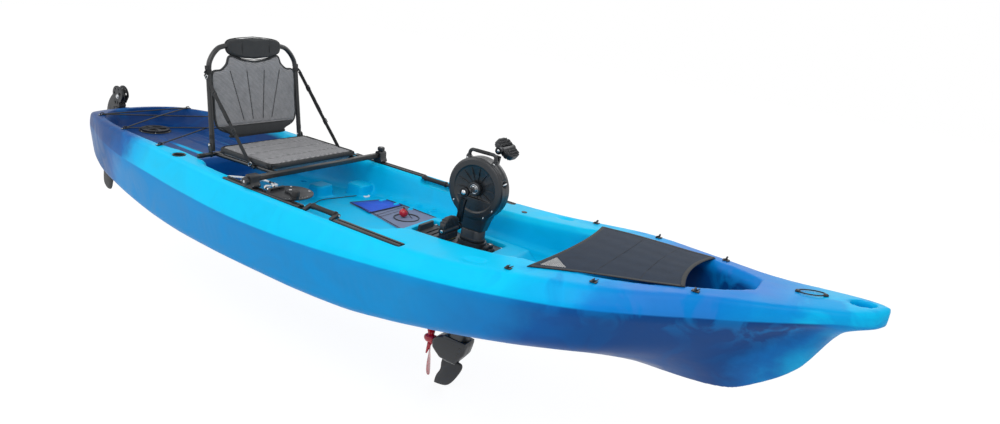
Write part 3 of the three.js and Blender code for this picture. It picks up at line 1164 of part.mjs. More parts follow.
// One elastic cord laced over the tank well between six hooks.
function makeBungee() {
  const at = (x, side) => {
    const y = side * (rimY(x) - bungee.inset);
    return [x, y, deckZ(x, y) + bungee.radius + bungee.lift];
  };
  const over = (from, to) => from.map((value, k) => (value + to[k]) / 2 + (k === 2 ? 3 * bungee.radius : 0));
  const [aft, middle, fore] = [bungee.aftShare, bungee.middleShare, bungee.foreShare]
    .map((share) => -share * hull.sternReach);
  const [sf, pm, sa] = [at(fore, -1), at(middle, 1), at(aft, -1)];
  const [pa, sm, pf] = [at(aft, 1), at(middle, -1), at(fore, 1)];
  const stops = [sf, pm, sa, pa, over(pa, sm), sm, over(sm, pf), pf];
  const route = stops.flatMap((stop, i) => (i === 0 || i === stops.length - 1
    ? [stop] : roundCorner(stops[i - 1], stop, stops[i + 1], 5 * bungee.radius, 3)));
  return tube(route, bungee.radius, 6, 1);
}

function toGeometry(body) {
  const mesh = body.getMesh();
  const geometry = new THREE.BufferGeometry();
  const count = mesh.vertProperties.length / mesh.numProp;
  const positions = new Float32Array(count * 3);
  for (let i = 0; i < count; i += 1) {
    for (let k = 0; k < 3; k += 1) positions[i * 3 + k] = mesh.vertProperties[i * mesh.numProp + k];
  }
  geometry.setAttribute('position', new THREE.BufferAttribute(positions, 3));
  geometry.setIndex([...mesh.triVerts]);
  return geometry;
}

// Assembly
const kayak = new THREE.Group();

function add(name, body, colour, roughness = 0.5, metalness = 0) {
  const geometry = toGeometry(body);
  geometry.computeVertexNormals();
  const material = new THREE.MeshStandardMaterial({ color: colour, roughness, metalness });
  const mesh = new THREE.Mesh(geometry, material);
  mesh.name = name;
  kayak.add(mesh);
}

add('hull', makeHull(), colours.cyan, 0.35);
add('hatch_ring', makeHatchRing(), colours.black);
add('hatch_lid', makeHatchLid(), colours.black);
for (const [name, side] of Object.entries(sides)) {
  add(`rail_rear_${name}`, makeRail(side, rail.rearAft, rail.rearFore), colours.black);
  add(`rail_front_${name}`, makeRail(side, rail.frontAft, rail.frontFore), colours.black);
  add(`carry_grip_${name}`, makeGrip(side), colours.black, 0.7);
  add(`gearcase_${name}`, makeGearcase(side), colours.black);
  add(`axle_bearing_${name}`, makeAxleBearing(side), colours.steel, 0.3, 1);
  add(`crank_arm_${name}`, makeCrankArm(side), colours.black, 0.35, 0.6);
  add(`pedal_${name}`, makePedal(side), colours.black);
  add(`lower_case_${name}`, makeLowerCase(side), colours.black);
  add(`rail_clamp_${name}`, makeRailClamp(side), colours.black);
  add(`clamp_knob_${name}`, makeClampKnob(side), colours.black);
  add(`strap_${name}`, makeStrap(side), colours.trim, 0.9);
}
add('drive_handle', makeHandle(), colours.trim);
add('drive_mast', makeMast(), colours.black);
add('drive_base', makeDriveBase(), colours.black);
add('drive_latch_rear', makeLatch(latch.rear), colours.steel, 0.3, 1);
add('drive_latch_front', makeLatch(latch.fore), colours.black);
add('crank_axle', makeAxle(), colours.steel, 0.3, 1);
add('ring_gear', makeRingGear(), colours.steel, 0.35, 1);
add('upper_pinion', makeUpperPinion(), colours.steel, 0.35, 1);
add('lower_pinion', makeLowerPinion(), colours.steel, 0.35, 1);
add('drive_shaft', makeDriveShaft(), colours.steel, 0.3, 1);
add('shaft_bearing', makeShaftBearing(), colours.brass, 0.35, 1);
add('propeller_shaft', makePropShaft(), colours.steel, 0.3, 1);
add('propeller_gear', makePropGear(), colours.steel, 0.35, 1);
add('propeller_bearing', makePropBearing(), colours.brass, 0.35, 1);
add('propeller', makePropeller(), colours.red, 0.35);
add('skeg_fin', makeFin(), colours.black);
add('rudder_bracket', makeRudderBracket(), colours.black);
add('rudder_yoke', makeRudderYoke(), colours.black);
add('rudder_blade', makeRudderBlade(), colours.black);
add('rudder_pivot_bolt', makeRudderBolt(), colours.steel, 0.3, 1);
add('steering_base', makeSteeringBase(), colours.black);
add('steering_lever', makeSteeringLever(), colours.black);
add('rudder_line_sleeve_outer', makeSleeve('outer'), colours.white, 0.4);
add('rudder_line_sleeve_inner', makeSleeve('inner'), colours.white, 0.4);
add('seat_front_bar', makeSeatBar(), colours.black, 0.4, 0.5);
add('seat_base_frame', makeSeatFrame(), colours.black, 0.4, 0.5);
add('seat_cushion', makeSeatCushion(), colours.mesh, 0.95);
add('backrest_frame', makeBackFrame(), colours.black, 0.4, 0.5);
add('backrest_panel', makeBackPanel(), colours.mesh, 0.95);
add('headrest_pad', makeHeadrest(), colours.trim, 0.9);
add('bow_cover', makeCover(), colours.navy, 0.9);
add('floor_mat', makeMat(), colours.blue, 0.9);
add('toggle_ball', makeBall(), colours.red, 0.3);
add('tank_bungee', makeBungee(), colours.black, 0.8);

export default kayak;
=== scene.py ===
# Sit-on-top pedal kayak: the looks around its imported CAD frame. Metres, +X bow, +Y port, +Z up.
import json
import math

import bmesh
import bpy
import numpy as np
from mathutils import Matrix, Vector

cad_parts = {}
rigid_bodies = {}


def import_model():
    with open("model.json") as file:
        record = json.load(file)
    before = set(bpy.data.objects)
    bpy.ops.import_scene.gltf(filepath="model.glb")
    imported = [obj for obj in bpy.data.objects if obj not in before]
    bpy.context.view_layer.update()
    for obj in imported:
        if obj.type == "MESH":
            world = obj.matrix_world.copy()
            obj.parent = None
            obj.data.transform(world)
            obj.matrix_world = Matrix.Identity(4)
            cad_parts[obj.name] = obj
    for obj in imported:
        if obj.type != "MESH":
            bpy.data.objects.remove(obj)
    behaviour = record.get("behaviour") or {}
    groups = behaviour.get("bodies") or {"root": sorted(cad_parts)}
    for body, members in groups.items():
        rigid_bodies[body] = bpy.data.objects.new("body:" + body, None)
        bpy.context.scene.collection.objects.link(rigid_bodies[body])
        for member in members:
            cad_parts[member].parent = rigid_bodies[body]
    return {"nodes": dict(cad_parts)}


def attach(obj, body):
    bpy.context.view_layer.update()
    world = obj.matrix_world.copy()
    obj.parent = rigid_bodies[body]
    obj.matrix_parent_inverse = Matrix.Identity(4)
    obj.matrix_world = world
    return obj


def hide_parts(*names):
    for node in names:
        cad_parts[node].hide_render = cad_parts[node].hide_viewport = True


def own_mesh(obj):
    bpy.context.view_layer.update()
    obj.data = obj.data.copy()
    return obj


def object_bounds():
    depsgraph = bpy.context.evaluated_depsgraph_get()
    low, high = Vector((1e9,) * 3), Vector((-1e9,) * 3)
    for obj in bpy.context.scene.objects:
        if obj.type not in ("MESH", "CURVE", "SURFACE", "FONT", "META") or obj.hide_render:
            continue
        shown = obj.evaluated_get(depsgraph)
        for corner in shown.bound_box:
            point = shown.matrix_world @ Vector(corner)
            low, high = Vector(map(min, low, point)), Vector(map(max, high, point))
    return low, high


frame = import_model()
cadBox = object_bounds()
nodes = frame["nodes"]
scene = bpy.context.scene
mm = 0.001
sides = {"port": 1, "starboard": -1}


# Small tools
def srgb(code):  # a hex colour as written, turned to the linear values that shaders take
    parts = [int(code[i:i + 2], 16) / 255 for i in (1, 3, 5)]
    return tuple(c / 12.92 if c <= 0.04045 else ((c + 0.055) / 1.055) ** 2.4 for c in parts) + (1.0,)


# settings by property or input name; links as input: a socket, or a node for its first output
def addNode(tree, kind, settings=None, links=None, stops=()):
    node = tree.nodes.new("ShaderNode" + kind)
    for key, value in (settings or {}).items():
        if isinstance(key, int) or key in node.inputs:
            node.inputs[key].default_value = value
        else:
            setattr(node, key, value)
    for key, source in (links or {}).items():
        tree.links.new(getattr(source, "outputs", [source])[0], node.inputs[key])
    for _ in stops[2:]:
        node.color_ramp.elements.new(0.5)
    for k, (at, code) in enumerate(stops):  # colour stops, for a ramp only
        node.color_ramp.elements[k].position, node.color_ramp.elements[k].color = at, srgb(code)
    return node


def per(size):  # texture scale for a noise cell of so many millimetres
    return 1 / (size * mm)


def newMaterial(name, **values):
    material = bpy.data.materials.new(name)
    material.use_nodes = True
    tree = material.node_tree
    shader = tree.nodes["Principled BSDF"]
    for key, value in values.items():
        shader.inputs[key.replace("_", " ")].default_value = value
    return material, tree, shader


def meshObject(name, points, faces, smooth=True):
    mesh = bpy.data.meshes.new(name)
    mesh.from_pydata([tuple(p) for p in points], [], [tuple(f) for f in faces])
    mesh.update()
    piece = bpy.data.objects.new(name, mesh)
    scene.collection.objects.link(piece)
    bm = bmesh.new()
    bm.from_mesh(mesh)
    bmesh.ops.recalc_face_normals(bm, faces=bm.faces)
    bm.to_mesh(mesh)
    bm.free()
    if smooth:
        mesh.polygons.foreach_set("use_smooth", [True] * len(mesh.polygons))
    return piece


def loft(name, rings, capped=True):  # rings of matching points, closed round and closed at both ends
    count = len(rings[0])
    points = [p for r in rings for p in r]
    faces = []
    for k in range(len(rings) - 1):
        for i in range(count):
            j = (i + 1) % count
            faces.append((k * count + i, k * count + j, (k + 1) * count + j, (k + 1) * count + i))
    if capped:
        faces.append(tuple(range(count))[::-1])
        faces.append(tuple((len(rings) - 1) * count + i for i in range(count)))
    return meshObject(name, points, faces)


def onAxis(axis, along, u, v):  # x takes (y, z), y takes (x, z), z takes (x, y)
    return {"x": (along, u, v), "y": (u, along, v), "z": (u, v, along)}[axis]


def turned(name, axis, profile, centre, steps=72):  # profile of (radius, along) turned about an axis
    rings = []
    for k in range(steps):
        a = 2 * math.pi * k / steps
        rings.append([onAxis(axis, along, centre[0] + r * math.cos(a), centre[1] + r * math.sin(a))
            for r, along in profile])
    count = len(profile)
    points = [p for r in rings for p in r]
    faces = []
    for k in range(steps):
        n = (k + 1) % steps
        for i in range(count - 1):
            faces.append((k * count + i, n * count + i, n * count + i + 1, k * count + i + 1))
    piece = meshObject(name, points, faces)
    weld(piece, 0.00002)
    return piece


def cylinder(name, axis, start, end, radius, centre, steps=72):
    return turned(name, axis, [(0, start), (radius, start), (radius, end), (0, end)], centre, steps)


def weld(piece, gap=0.00005):
    bm = bmesh.new()
    bm.from_mesh(piece.data)
    bmesh.ops.remove_doubles(bm, verts=bm.verts, dist=gap)
    bmesh.ops.dissolve_degenerate(bm, edges=bm.edges, dist=gap / 10)
    holes = [e for e in bm.edges if e.is_boundary]
    if holes:
        bmesh.ops.holes_fill(bm, edges=holes, sides=0)
    bmesh.ops.recalc_face_normals(bm, faces=bm.faces)
    bm.to_mesh(piece.data)
    bm.free()


def sheetBody(name, axis, outline, low, high):  # a flat outline pushed straight along one axis
    count = len(outline)
    points = [onAxis(axis, low, *p) for p in outline] + [onAxis(axis, high, *p) for p in outline]
    faces = [tuple(range(count))[::-1], tuple(range(count, 2 * count))]
    faces += [(i, (i + 1) % count, count + (i + 1) % count, count + i) for i in range(count)]
    return meshObject(name, points, faces, smooth=False)


def roundedBox(name, low, high):
    (x0, y0, z0), (x1, y1, z1) = low, high
    return sheetBody(name, "z", [(x0, y0), (x1, y0), (x1, y1), (x0, y1)], z0, z1)


def roundCorner(before, corner, after, radius, steps):
    def reach(other):
        away = math.dist(corner, other)
        share = min(radius / away, 0.45) if away > 0 else 0
        return [c + (o - c) * share for c, o in zip(corner, other)]
    start, end = reach(before), reach(after)
    points = []
    for i in range(steps + 1):
        t = i / steps
        points.append([(1 - t) ** 2 * a + 2 * t * (1 - t) * c + t * t * b
            for a, c, b in zip(start, corner, end)])
    return points


def roundedOutline(points, radius, steps=6):
    count = len(points)
    return [p for i in range(count) for p in roundCorner(points[i - 1], points[i], points[(i + 1) % count],
        radius, steps)]


def roundedRectangle(x0, x1, y0, y1, radius, steps=6):
    return roundedOutline([(x0, y0), (x1, y0), (x1, y1), (x0, y1)], radius, steps)


def arc(centre, radius, start, end, count):
    return [(centre[0] + radius * math.cos(a), centre[1] + radius * math.sin(a))
        for a in np.linspace(start, end, count)]


def linkOutline(start, startRadius, end, endRadius, steps=20):
    heading = math.atan2(end[1] - start[1], end[0] - start[0])
    outline = []
    for centre, radius, turn in ((end, endRadius, heading - math.pi / 2),
            (start, startRadius, heading + math.pi / 2)):
        for i in range(steps + 1):
            a = turn + math.pi * i / steps
            outline.append((centre[0] + radius * math.cos(a), centre[1] + radius * math.sin(a)))
    return outline


def smoothPath(points, perStretch=8, tension=0.5):  # a Catmull-Rom curve through its points
    pts = [Vector(p) for p in points]
    ends = [2 * pts[0] - pts[1]] + pts + [2 * pts[-1] - pts[-2]]
    path = []
    for i in range(1, len(ends) - 2):
        for k in range(perStretch):
            t = k / perStretch
            m0 = (ends[i + 1] - ends[i - 1]) * tension
            m1 = (ends[i + 2] - ends[i]) * tension
            a, b = ends[i], ends[i + 1]
            path.append((2 * t ** 3 - 3 * t * t + 1) * a + (t ** 3 - 2 * t * t + t) * m0
                + (3 * t * t - 2 * t ** 3) * b + (t ** 3 - t * t) * m1)
    path.append(pts[-1])
    return path


def sweep(name, path, section, up=(0, 0, 1), scale=None):  # a section of (side, up) points along a path
    rings = []
    side = None
    for i, stop in enumerate(path):
        ahead = (path[min(i + 1, len(path) - 1)] - path[max(i - 1, 0)]).normalized()
        if side is None:
            start = Vector(up) if abs(ahead.dot(Vector(up))) < 0.9 else Vector((1, 0, 0))
            side = start.cross(ahead).normalized()
        side = (side - ahead * side.dot(ahead)).normalized()
        top = ahead.cross(side)
        grow = scale(i / (len(path) - 1)) if scale else 1
        rings.append([stop + side * u * grow + top * v * grow for u, v in section])
    return loft(name, rings)


def circle(radius, steps=20):
    return [(radius * math.cos(2 * math.pi * k / steps), radius * math.sin(2 * math.pi * k / steps))
        for k in range(steps)]


def tube(name, points, radius, steps=20, perStretch=8, tension=0.5, up=(0, 0, 1)):
    return sweep(name, smoothPath(points, perStretch, tension), circle(radius, steps), up)


def applied(piece):  # the mesh with its modifiers worked in
    deps = bpy.context.evaluated_depsgraph_get()
    mesh = bpy.data.meshes.new_from_object(piece.evaluated_get(deps))
    piece.modifiers.clear()
    piece.data = mesh
    return piece


def bevelled(piece, width, segments=3, angle=35):
    bevel = piece.modifiers.new("edges", "BEVEL")
    bevel.width, bevel.segments, bevel.limit_method = width, segments, "ANGLE"
    bevel.angle_limit = math.radians(angle)
    bevel.use_clamp_overlap = True
    applied(piece)
    return shaded(piece)


def shaded(piece, angle=32):
    piece.data.polygons.foreach_set("use_smooth", [True] * len(piece.data.polygons))
    piece.data.set_sharp_from_angle(angle=math.radians(angle))
    return piece


def combined(piece, others, operation, solver="EXACT"):
    for other in others:
        step = piece.modifiers.new("join", "BOOLEAN")
        step.operation, step.object, step.solver = operation, other, solver
        applied(piece)
        bpy.data.objects.remove(other)
    return piece


def joined(name, pieces):  # separate bodies kept in one piece, each with its own material
    points, faces, slots, marks, smooth = [], [], [], [], []
    for piece in pieces:
        start = len(points)
        world = piece.matrix_world
        points += [world @ v.co for v in piece.data.vertices]
        local = []
        for material in piece.data.materials:
            if material not in slots:
                slots.append(material)
            local.append(slots.index(material))
        for face in piece.data.polygons:
            faces.append([start + i for i in face.vertices])
            marks.append(local[face.material_index] if local else 0)
            smooth.append(face.use_smooth)
        bpy.data.objects.remove(piece)
    mesh = bpy.data.meshes.new(name)
    mesh.from_pydata([tuple(p) for p in points], [], faces)
    for material in slots:
        mesh.materials.append(material)
    mesh.polygons.foreach_set("material_index", marks)
    mesh.polygons.foreach_set("use_smooth", smooth)
    mesh.update()
    whole = bpy.data.objects.new(name, mesh)
    scene.collection.objects.link(whole)
    return whole


def moulded(piece, voxel, smoothing=4, factor=0.5):  # one skin with soft edges, as a mould gives
    step = piece.modifiers.new("skin", "REMESH")
    step.mode, step.voxel_size, step.use_smooth_shade = "VOXEL", voxel, True
    applied(piece)
    if smoothing:
        step = piece.modifiers.new("ease", "SMOOTH")
        step.factor, step.iterations = factor, smoothing
        applied(piece)
    piece.data.polygons.foreach_set("use_smooth", [True] * len(piece.data.polygons))
    return piece


def paint(piece, *materials):
    piece.data.materials.clear()
    for material in materials:
        piece.data.materials.append(material)
    return piece


def dressed(piece, material, angle=32):
    return paint(shaded(piece, angle), material)


def place(piece, body, replaced=()):
    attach(piece, body)
    if replaced:
        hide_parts(*([replaced] if isinstance(replaced, str) else replaced))
    return piece


# Camera, light and floor
view = {"azimuth": 29.937, "elevation": 18.083, "roll": 8.02, "place": (1.6278, -1.9693, 1.1638),
    "lens": 24.127}


def makeCamera():
    a, e, r = (math.radians(view[k]) for k in ("azimuth", "elevation", "roll"))
    back = Vector((math.sin(a) * math.cos(e), -math.cos(a) * math.cos(e), math.sin(e)))
    right = Vector((math.cos(a), math.sin(a), 0))
    up = back.cross(right)
    across = right * math.cos(r) + up * math.sin(r)
    over = up * math.cos(r) - right * math.sin(r)
    lens = bpy.data.cameras.new("camera")
    lens.lens = view["lens"]
    lens.sensor_width = 36
    lens.clip_start, lens.clip_end = 0.05, 60
    camera = bpy.data.objects.new("camera", lens)
    camera.matrix_world = Matrix(((across.x, over.x, back.x, view["place"][0]),
        (across.y, over.y, back.y, view["place"][1]), (across.z, over.z, back.z, view["place"][2]),
        (0, 0, 0, 1)))
    scene.collection.objects.link(camera)
    scene.camera = camera


def seenOrMirrored(tree):  # 1 where the ray comes from the camera or off a shiny surface
    path = addNode(tree, "LightPath")
    seen = addNode(tree, "Math", {"operation": "MAXIMUM"},
        {0: path.outputs["Is Camera Ray"], 1: path.outputs["Is Glossy Ray"]})
    return path, seen.outputs[0]


def makeStudio():
    scene.view_settings.view_transform = "Standard"
    world = bpy.data.worlds.new("studio")
    world.use_nodes = True
    scene.world = world
    tree = world.node_tree
    tree.nodes.clear()
    path, seen = seenOrMirrored(tree)
    seenAll = addNode(tree, "Math", {"operation": "MAXIMUM"},
        {0: seen, 1: path.outputs["Is Transmission Ray"]})
    light = addNode(tree, "Background", {"Color": (1, 1, 1, 1), "Strength": 0.62})
    plain = addNode(tree, "Background", {"Color": (1, 1, 1, 1), "Strength": 1.0})
    mix = addNode(tree, "MixShader", {}, {0: seenAll, 1: light, 2: plain})
    addNode(tree, "OutputWorld", {}, {"Surface": mix})
    for name, spot, size, power in (("key", (1.2, -2.6, 3.4), 2.4, 60), ("fill", (-2.8, -2.2, 2.2), 2.2, 30),
            ("back", (0.4, 3.2, 2.8), 2.6, 34)):
        lamp = bpy.data.lights.new(name, "AREA")
        lamp.energy, lamp.size = power, size
        holder = bpy.data.objects.new(name, lamp)
        holder.location = spot
        holder.rotation_euler = (Vector((0, 0, 0.2)) - Vector(spot)).to_track_quat("-Z", "Y").to_euler()
        scene.collection.objects.link(holder)


def makeFloor():
    low = cadBox[0][2] - 0.004
    floor = meshObject("floor", [(-14, -14, low), (14, -14, low), (14, 14, low), (-14, 14, low)],
        [(0, 1, 2, 3)], smooth=False)
    material, tree, shader = newMaterial("matt white paper", Base_Color=srgb("#F4F4F4"), Roughness=0.9)
    seen = seenOrMirrored(tree)[1]
    lit = addNode(tree, "Emission", {"Color": (1, 1, 1, 1), "Strength": 1.1})
    share = addNode(tree, "Math", {"operation": "MULTIPLY", 1: 0.82}, {0: seen})
    mix = addNode(tree, "MixShader", {}, {0: share, 1: shader, 2: lit})
    tree.links.new(mix.outputs[0], tree.nodes["Material Output"].inputs["Surface"])
    paint(floor, material)


makeCamera()
makeStudio()
makeFloor()
print("stage: camera, light, floor")


# Hull
hull = {"sternReach": 1.875, "bowReach": 1.725, "halfWidth": 0.43, "rimHeight": 0.345, "flatHalf": 0.07,
    "foreTaper": 0.35, "crown": 0.01, "chineRound": 0.045, "knuckleRound": 0.03, "rimRound": 0.017,
    "wellCorner": 0.032, "wellBevel": 0.01, "stations": 150, "wellStations": 150, "voxel": 0.0055,
    "smoothing": 3,}
# share of the reach, keel z, chine y and z, knuckle y and z, rim y and z
skinShares = [(-1, 0.58, 0.26, 0.6, 0.3, 0.76, 0.274, 0.87), (-0.987, 0.36, 0.385, 0.39, 0.423, 0.763, 0.395,
    0.904), (-0.96, 0.25, 0.455, 0.285, 0.495, 0.768, 0.472, 0.942),
    (-0.907, 0.16, 0.54, 0.21, 0.58, 0.777, 0.565, 0.98), (-0.853, 0.1, 0.6, 0.16, 0.667, 0.77, 0.647, 0.991),
    (-0.8, 0.065, 0.645, 0.132, 0.733, 0.745, 0.705, 1.003), (-0.693, 0.025, 0.732, 0.088, 0.81, 0.695, 0.78,
    1.014), (-0.555, 0.005, 0.815, 0.038, 0.872, 0.667, 0.828, 1.009),
    (-0.427, 0, 0.862, 0.014, 0.918, 0.638, 0.858, 0.991),
    (-0.267, 0, 0.887, 0.01, 0.977, 0.632, 0.888, 0.98), (-0.107, 0, 0.89, 0.014, 1, 0.655, 0.898, 0.98),
    (0.058, 0, 0.862, 0.035, 1, 0.713, 0.898, 0.98), (0.174, 0.015, 0.815, 0.095, 1, 0.77, 0.893, 0.986),
    (0.261, 0.05, 0.787, 0.168, 0.99, 0.815, 0.884, 1.003),
    (0.348, 0.09, 0.77, 0.258, 0.956, 0.855, 0.853, 1.04), (0.435, 0.135, 0.757, 0.365, 0.93, 0.916, 0.816,
    1.096), (0.537, 0.185, 0.69, 0.485, 0.88, 0.99, 0.758, 1.165),
    (0.597, 0.212, 0.605, 0.548, 0.814, 1.03, 0.693, 1.197),
    (0.649, 0.23, 0.5, 0.605, 0.714, 1.058, 0.61, 1.223), (0.705, 0.243, 0.385, 0.675, 0.586, 1.084, 0.502,
    1.258), (0.748, 0.258, 0.305, 0.745, 0.481, 1.107, 0.43, 1.281),
    (0.8, 0.31, 0.237, 0.855, 0.384, 1.142, 0.349, 1.304),
    (0.85, 0.47, 0.192, 1.01, 0.307, 1.19, 0.291, 1.333),
    (0.901, 0.72, 0.166, 1.165, 0.242, 1.25, 0.237, 1.374),
    (0.946, 1.15, 0.155, 1.235, 0.198, 1.31, 0.193, 1.406), (0.974, 1.265, 0.13, 1.287, 0.153, 1.325, 0.147,
    1.426), (0.991, 1.295, 0.08, 1.312, 0.098, 1.333, 0.088, 1.438),
    (1, 1.315, 0.033, 1.335, 0.042, 1.36, 0.035, 1.44),]
# share of the reach, half width at the rim, half width at the floor, floor z
wellShares = [(-0.931, 0.14, 0.09, 0.96), (-0.917, 0.3, 0.22, 0.82), (-0.901, 0.385, 0.29, 0.755),
    (-0.864, 0.515, 0.405, 0.745), (-0.8, 0.605, 0.51, 0.745), (-0.693, 0.68, 0.585, 0.74),
    (-0.56, 0.705, 0.615, 0.735), (-0.525, 0.69, 0.59, 0.75), (-0.505, 0.66, 0.56, 0.86),
    (-0.487, 0.655, 0.555, 0.86), (-0.464, 0.655, 0.56, 0.62), (-0.448, 0.66, 0.565, 0.555),
    (-0.41, 0.67, 0.6, 0.54), (-0.385, 0.74, 0.625, 0.535), (-0.32, 0.756, 0.64, 0.537),
    (-0.208, 0.756, 0.651, 0.58), (-0.064, 0.756, 0.651, 0.65), (0.081, 0.756, 0.651, 0.68),
    (0.116, 0.7, 0.6, 0.684), (0.15, 0.52, 0.475, 0.688), (0.19, 0.49, 0.455, 0.695),
    (0.36, 0.49, 0.455, 0.71), (0.42, 0.47, 0.42, 0.72), (0.464, 0.5, 0.43, 0.735),
    (0.55, 0.523, 0.43, 0.755), (0.638, 0.44, 0.35, 0.8), (0.707, 0.315, 0.235, 0.87),
    (0.765, 0.2, 0.13, 1.01), (0.806, 0.07, 0.035, 1.23),]


def curveThrough(rows, column):  # a smooth curve through a table's column, without overshoot
    at = [r[0] for r in rows]
    value = [r[column] for r in rows]
    run = [b - a for a, b in zip(at, at[1:])]
    rise = [(b - a) / d for a, b, d in zip(value, value[1:], run)]
    slope = [rise[0]]
    for i in range(1, len(value) - 1):
        if rise[i - 1] * rise[i] <= 0:
            slope.append(0)
        else:
            near, far = 2 * run[i] + run[i - 1], run[i] + 2 * run[i - 1]
            slope.append((near + far) / (near / rise[i - 1] + far / rise[i]))
    slope.append(rise[-1])

    def curve(x):
        x = min(max(x, at[0]), at[-1])
        i = 0
        while i < len(run) - 1 and x > at[i + 1]:
            i += 1
        t = (x - at[i]) / run[i]
        u = 1 - t
        return (value[i] * (1 + 2 * t) * u * u + run[i] * slope[i] * t * u * u + value[i + 1] * (3 - 2 * t)
            * t * t - run[i] * slope[i + 1] * t * t * u)
    return curve


skinCurves = [curveThrough(skinShares, c) for c in range(8)]
wellCurves = [curveThrough(wellShares, c) for c in range(4)]


def toShare(x):
    return x / (hull["sternReach"] if x < 0 else hull["bowReach"])


def rimY(x):
    return skinCurves[6](toShare(x)) * hull["halfWidth"]


def rimZ(x):
    return skinCurves[7](toShare(x)) * hull["rimHeight"]


def floorZ(x):
    return wellCurves[3](toShare(x)) * hull["rimHeight"]


def deckZ(x, y):
    return rimZ(x) + hull["crown"] * (1 - (y / rimY(x)) ** 2)


def skinRing(x):
    _, keel, chineY, chineZ, knuckleY, knuckleZ, edgeY, edgeZ = (c(toShare(x)) for c in skinCurves)
    half, height = hull["halfWidth"], hull["rimHeight"]
    foot, chine = (0, keel * height), (chineY * half, chineZ * height)
    ahead = min(max(x - 0.47, 0) / hull["foreTaper"], 1)
    flat = (min(hull["flatHalf"], chine[0] * 0.4) * (1 - 0.85 * ahead), foot[1])
    knuckle, edge = (knuckleY * half, knuckleZ * height), (edgeY * half, edgeZ * height)
    belly = ((flat[0] + chine[0]) / 2, flat[1] * 0.56 + chine[1] * 0.44)
    shoulder = (edge[0] / 2, edge[1] + hull["crown"] * 0.75)
    one = [foot, flat] + roundCorner(flat, belly, chine, 0.09, 4)
    one += roundCorner(belly, chine, knuckle, hull["chineRound"], 8)
    one += roundCorner(chine, knuckle, edge, hull["knuckleRound"], 6)
    one += roundCorner(knuckle, edge, shoulder, hull["rimRound"], 6)
    one += [(edge[0] * k, edge[1] + hull["crown"] * (1 - k * k)) for k in (0.7, 0.5, 0.3)]
    one += [(0, edge[1] + hull["crown"])]
    whole = one + [(-y, z) for y, z in one[1:-1][::-1]]
    return [(x, y, z) for y, z in whole]


def wellRing(x):
    _, rimHalf, floorHalf, floor = (c(toShare(x)) for c in wellCurves)
    base = (floorHalf * hull["halfWidth"], floor * hull["rimHeight"])
    bevel = hull["wellBevel"]
    knee = (rimHalf * hull["halfWidth"], max(rimZ(x) - bevel, base[1] + 0.005))
    lip = (knee[0] + bevel + 0.03, knee[1] + bevel + 0.03)
    one = [(0, base[1])] + roundCorner((0, base[1]), base, knee, hull["wellCorner"], 6)
    one += [knee, lip, (0, lip[1])]
    whole = one + [(-y, z) for y, z in one[1:-1][::-1]]
    return [(x, y, z) for y, z in whole]


def spaced(low, high, count):
    return [low + (high - low) * i / count for i in range(count + 1)]


def egg(name, centre, size, axis=0):  # an ellipsoid, to press a dimple or raise a soft boss
    points, faces = [], []
    rows, cols = 14, 24
    for r in range(rows + 1):
        for c in range(cols):
            a, b = math.pi * r / rows, 2 * math.pi * c / cols
            p = Vector((size[0] * math.sin(a) * math.cos(b), size[1] * math.sin(a) * math.sin(b),
                size[2] * math.cos(a)))
            p.rotate(Matrix.Rotation(axis, 3, "Z"))
            points.append(p + Vector(centre))
    for r in range(rows):
        for c in range(cols):
            n = (c + 1) % cols
            faces.append((r * cols + c, r * cols + n, (r + 1) * cols + n, (r + 1) * cols + c))
    piece = meshObject(name, points, faces)
    weld(piece)
    return piece


def softBlock(name, low, high, taper=0.0, corner=0.02):  # a moulded block whose sides draw in upwards
    (x0, y0, z0), (x1, y1, z1) = low, high
    rings = []
    for z, k in ((z0, 0), (z1, taper)):
        outline = roundedRectangle(x0 + k, x1 - k, y0 + k, y1 - k, corner, 5)
        rings.append([(x, y, z) for x, y in outline])
    return loft(name, rings)


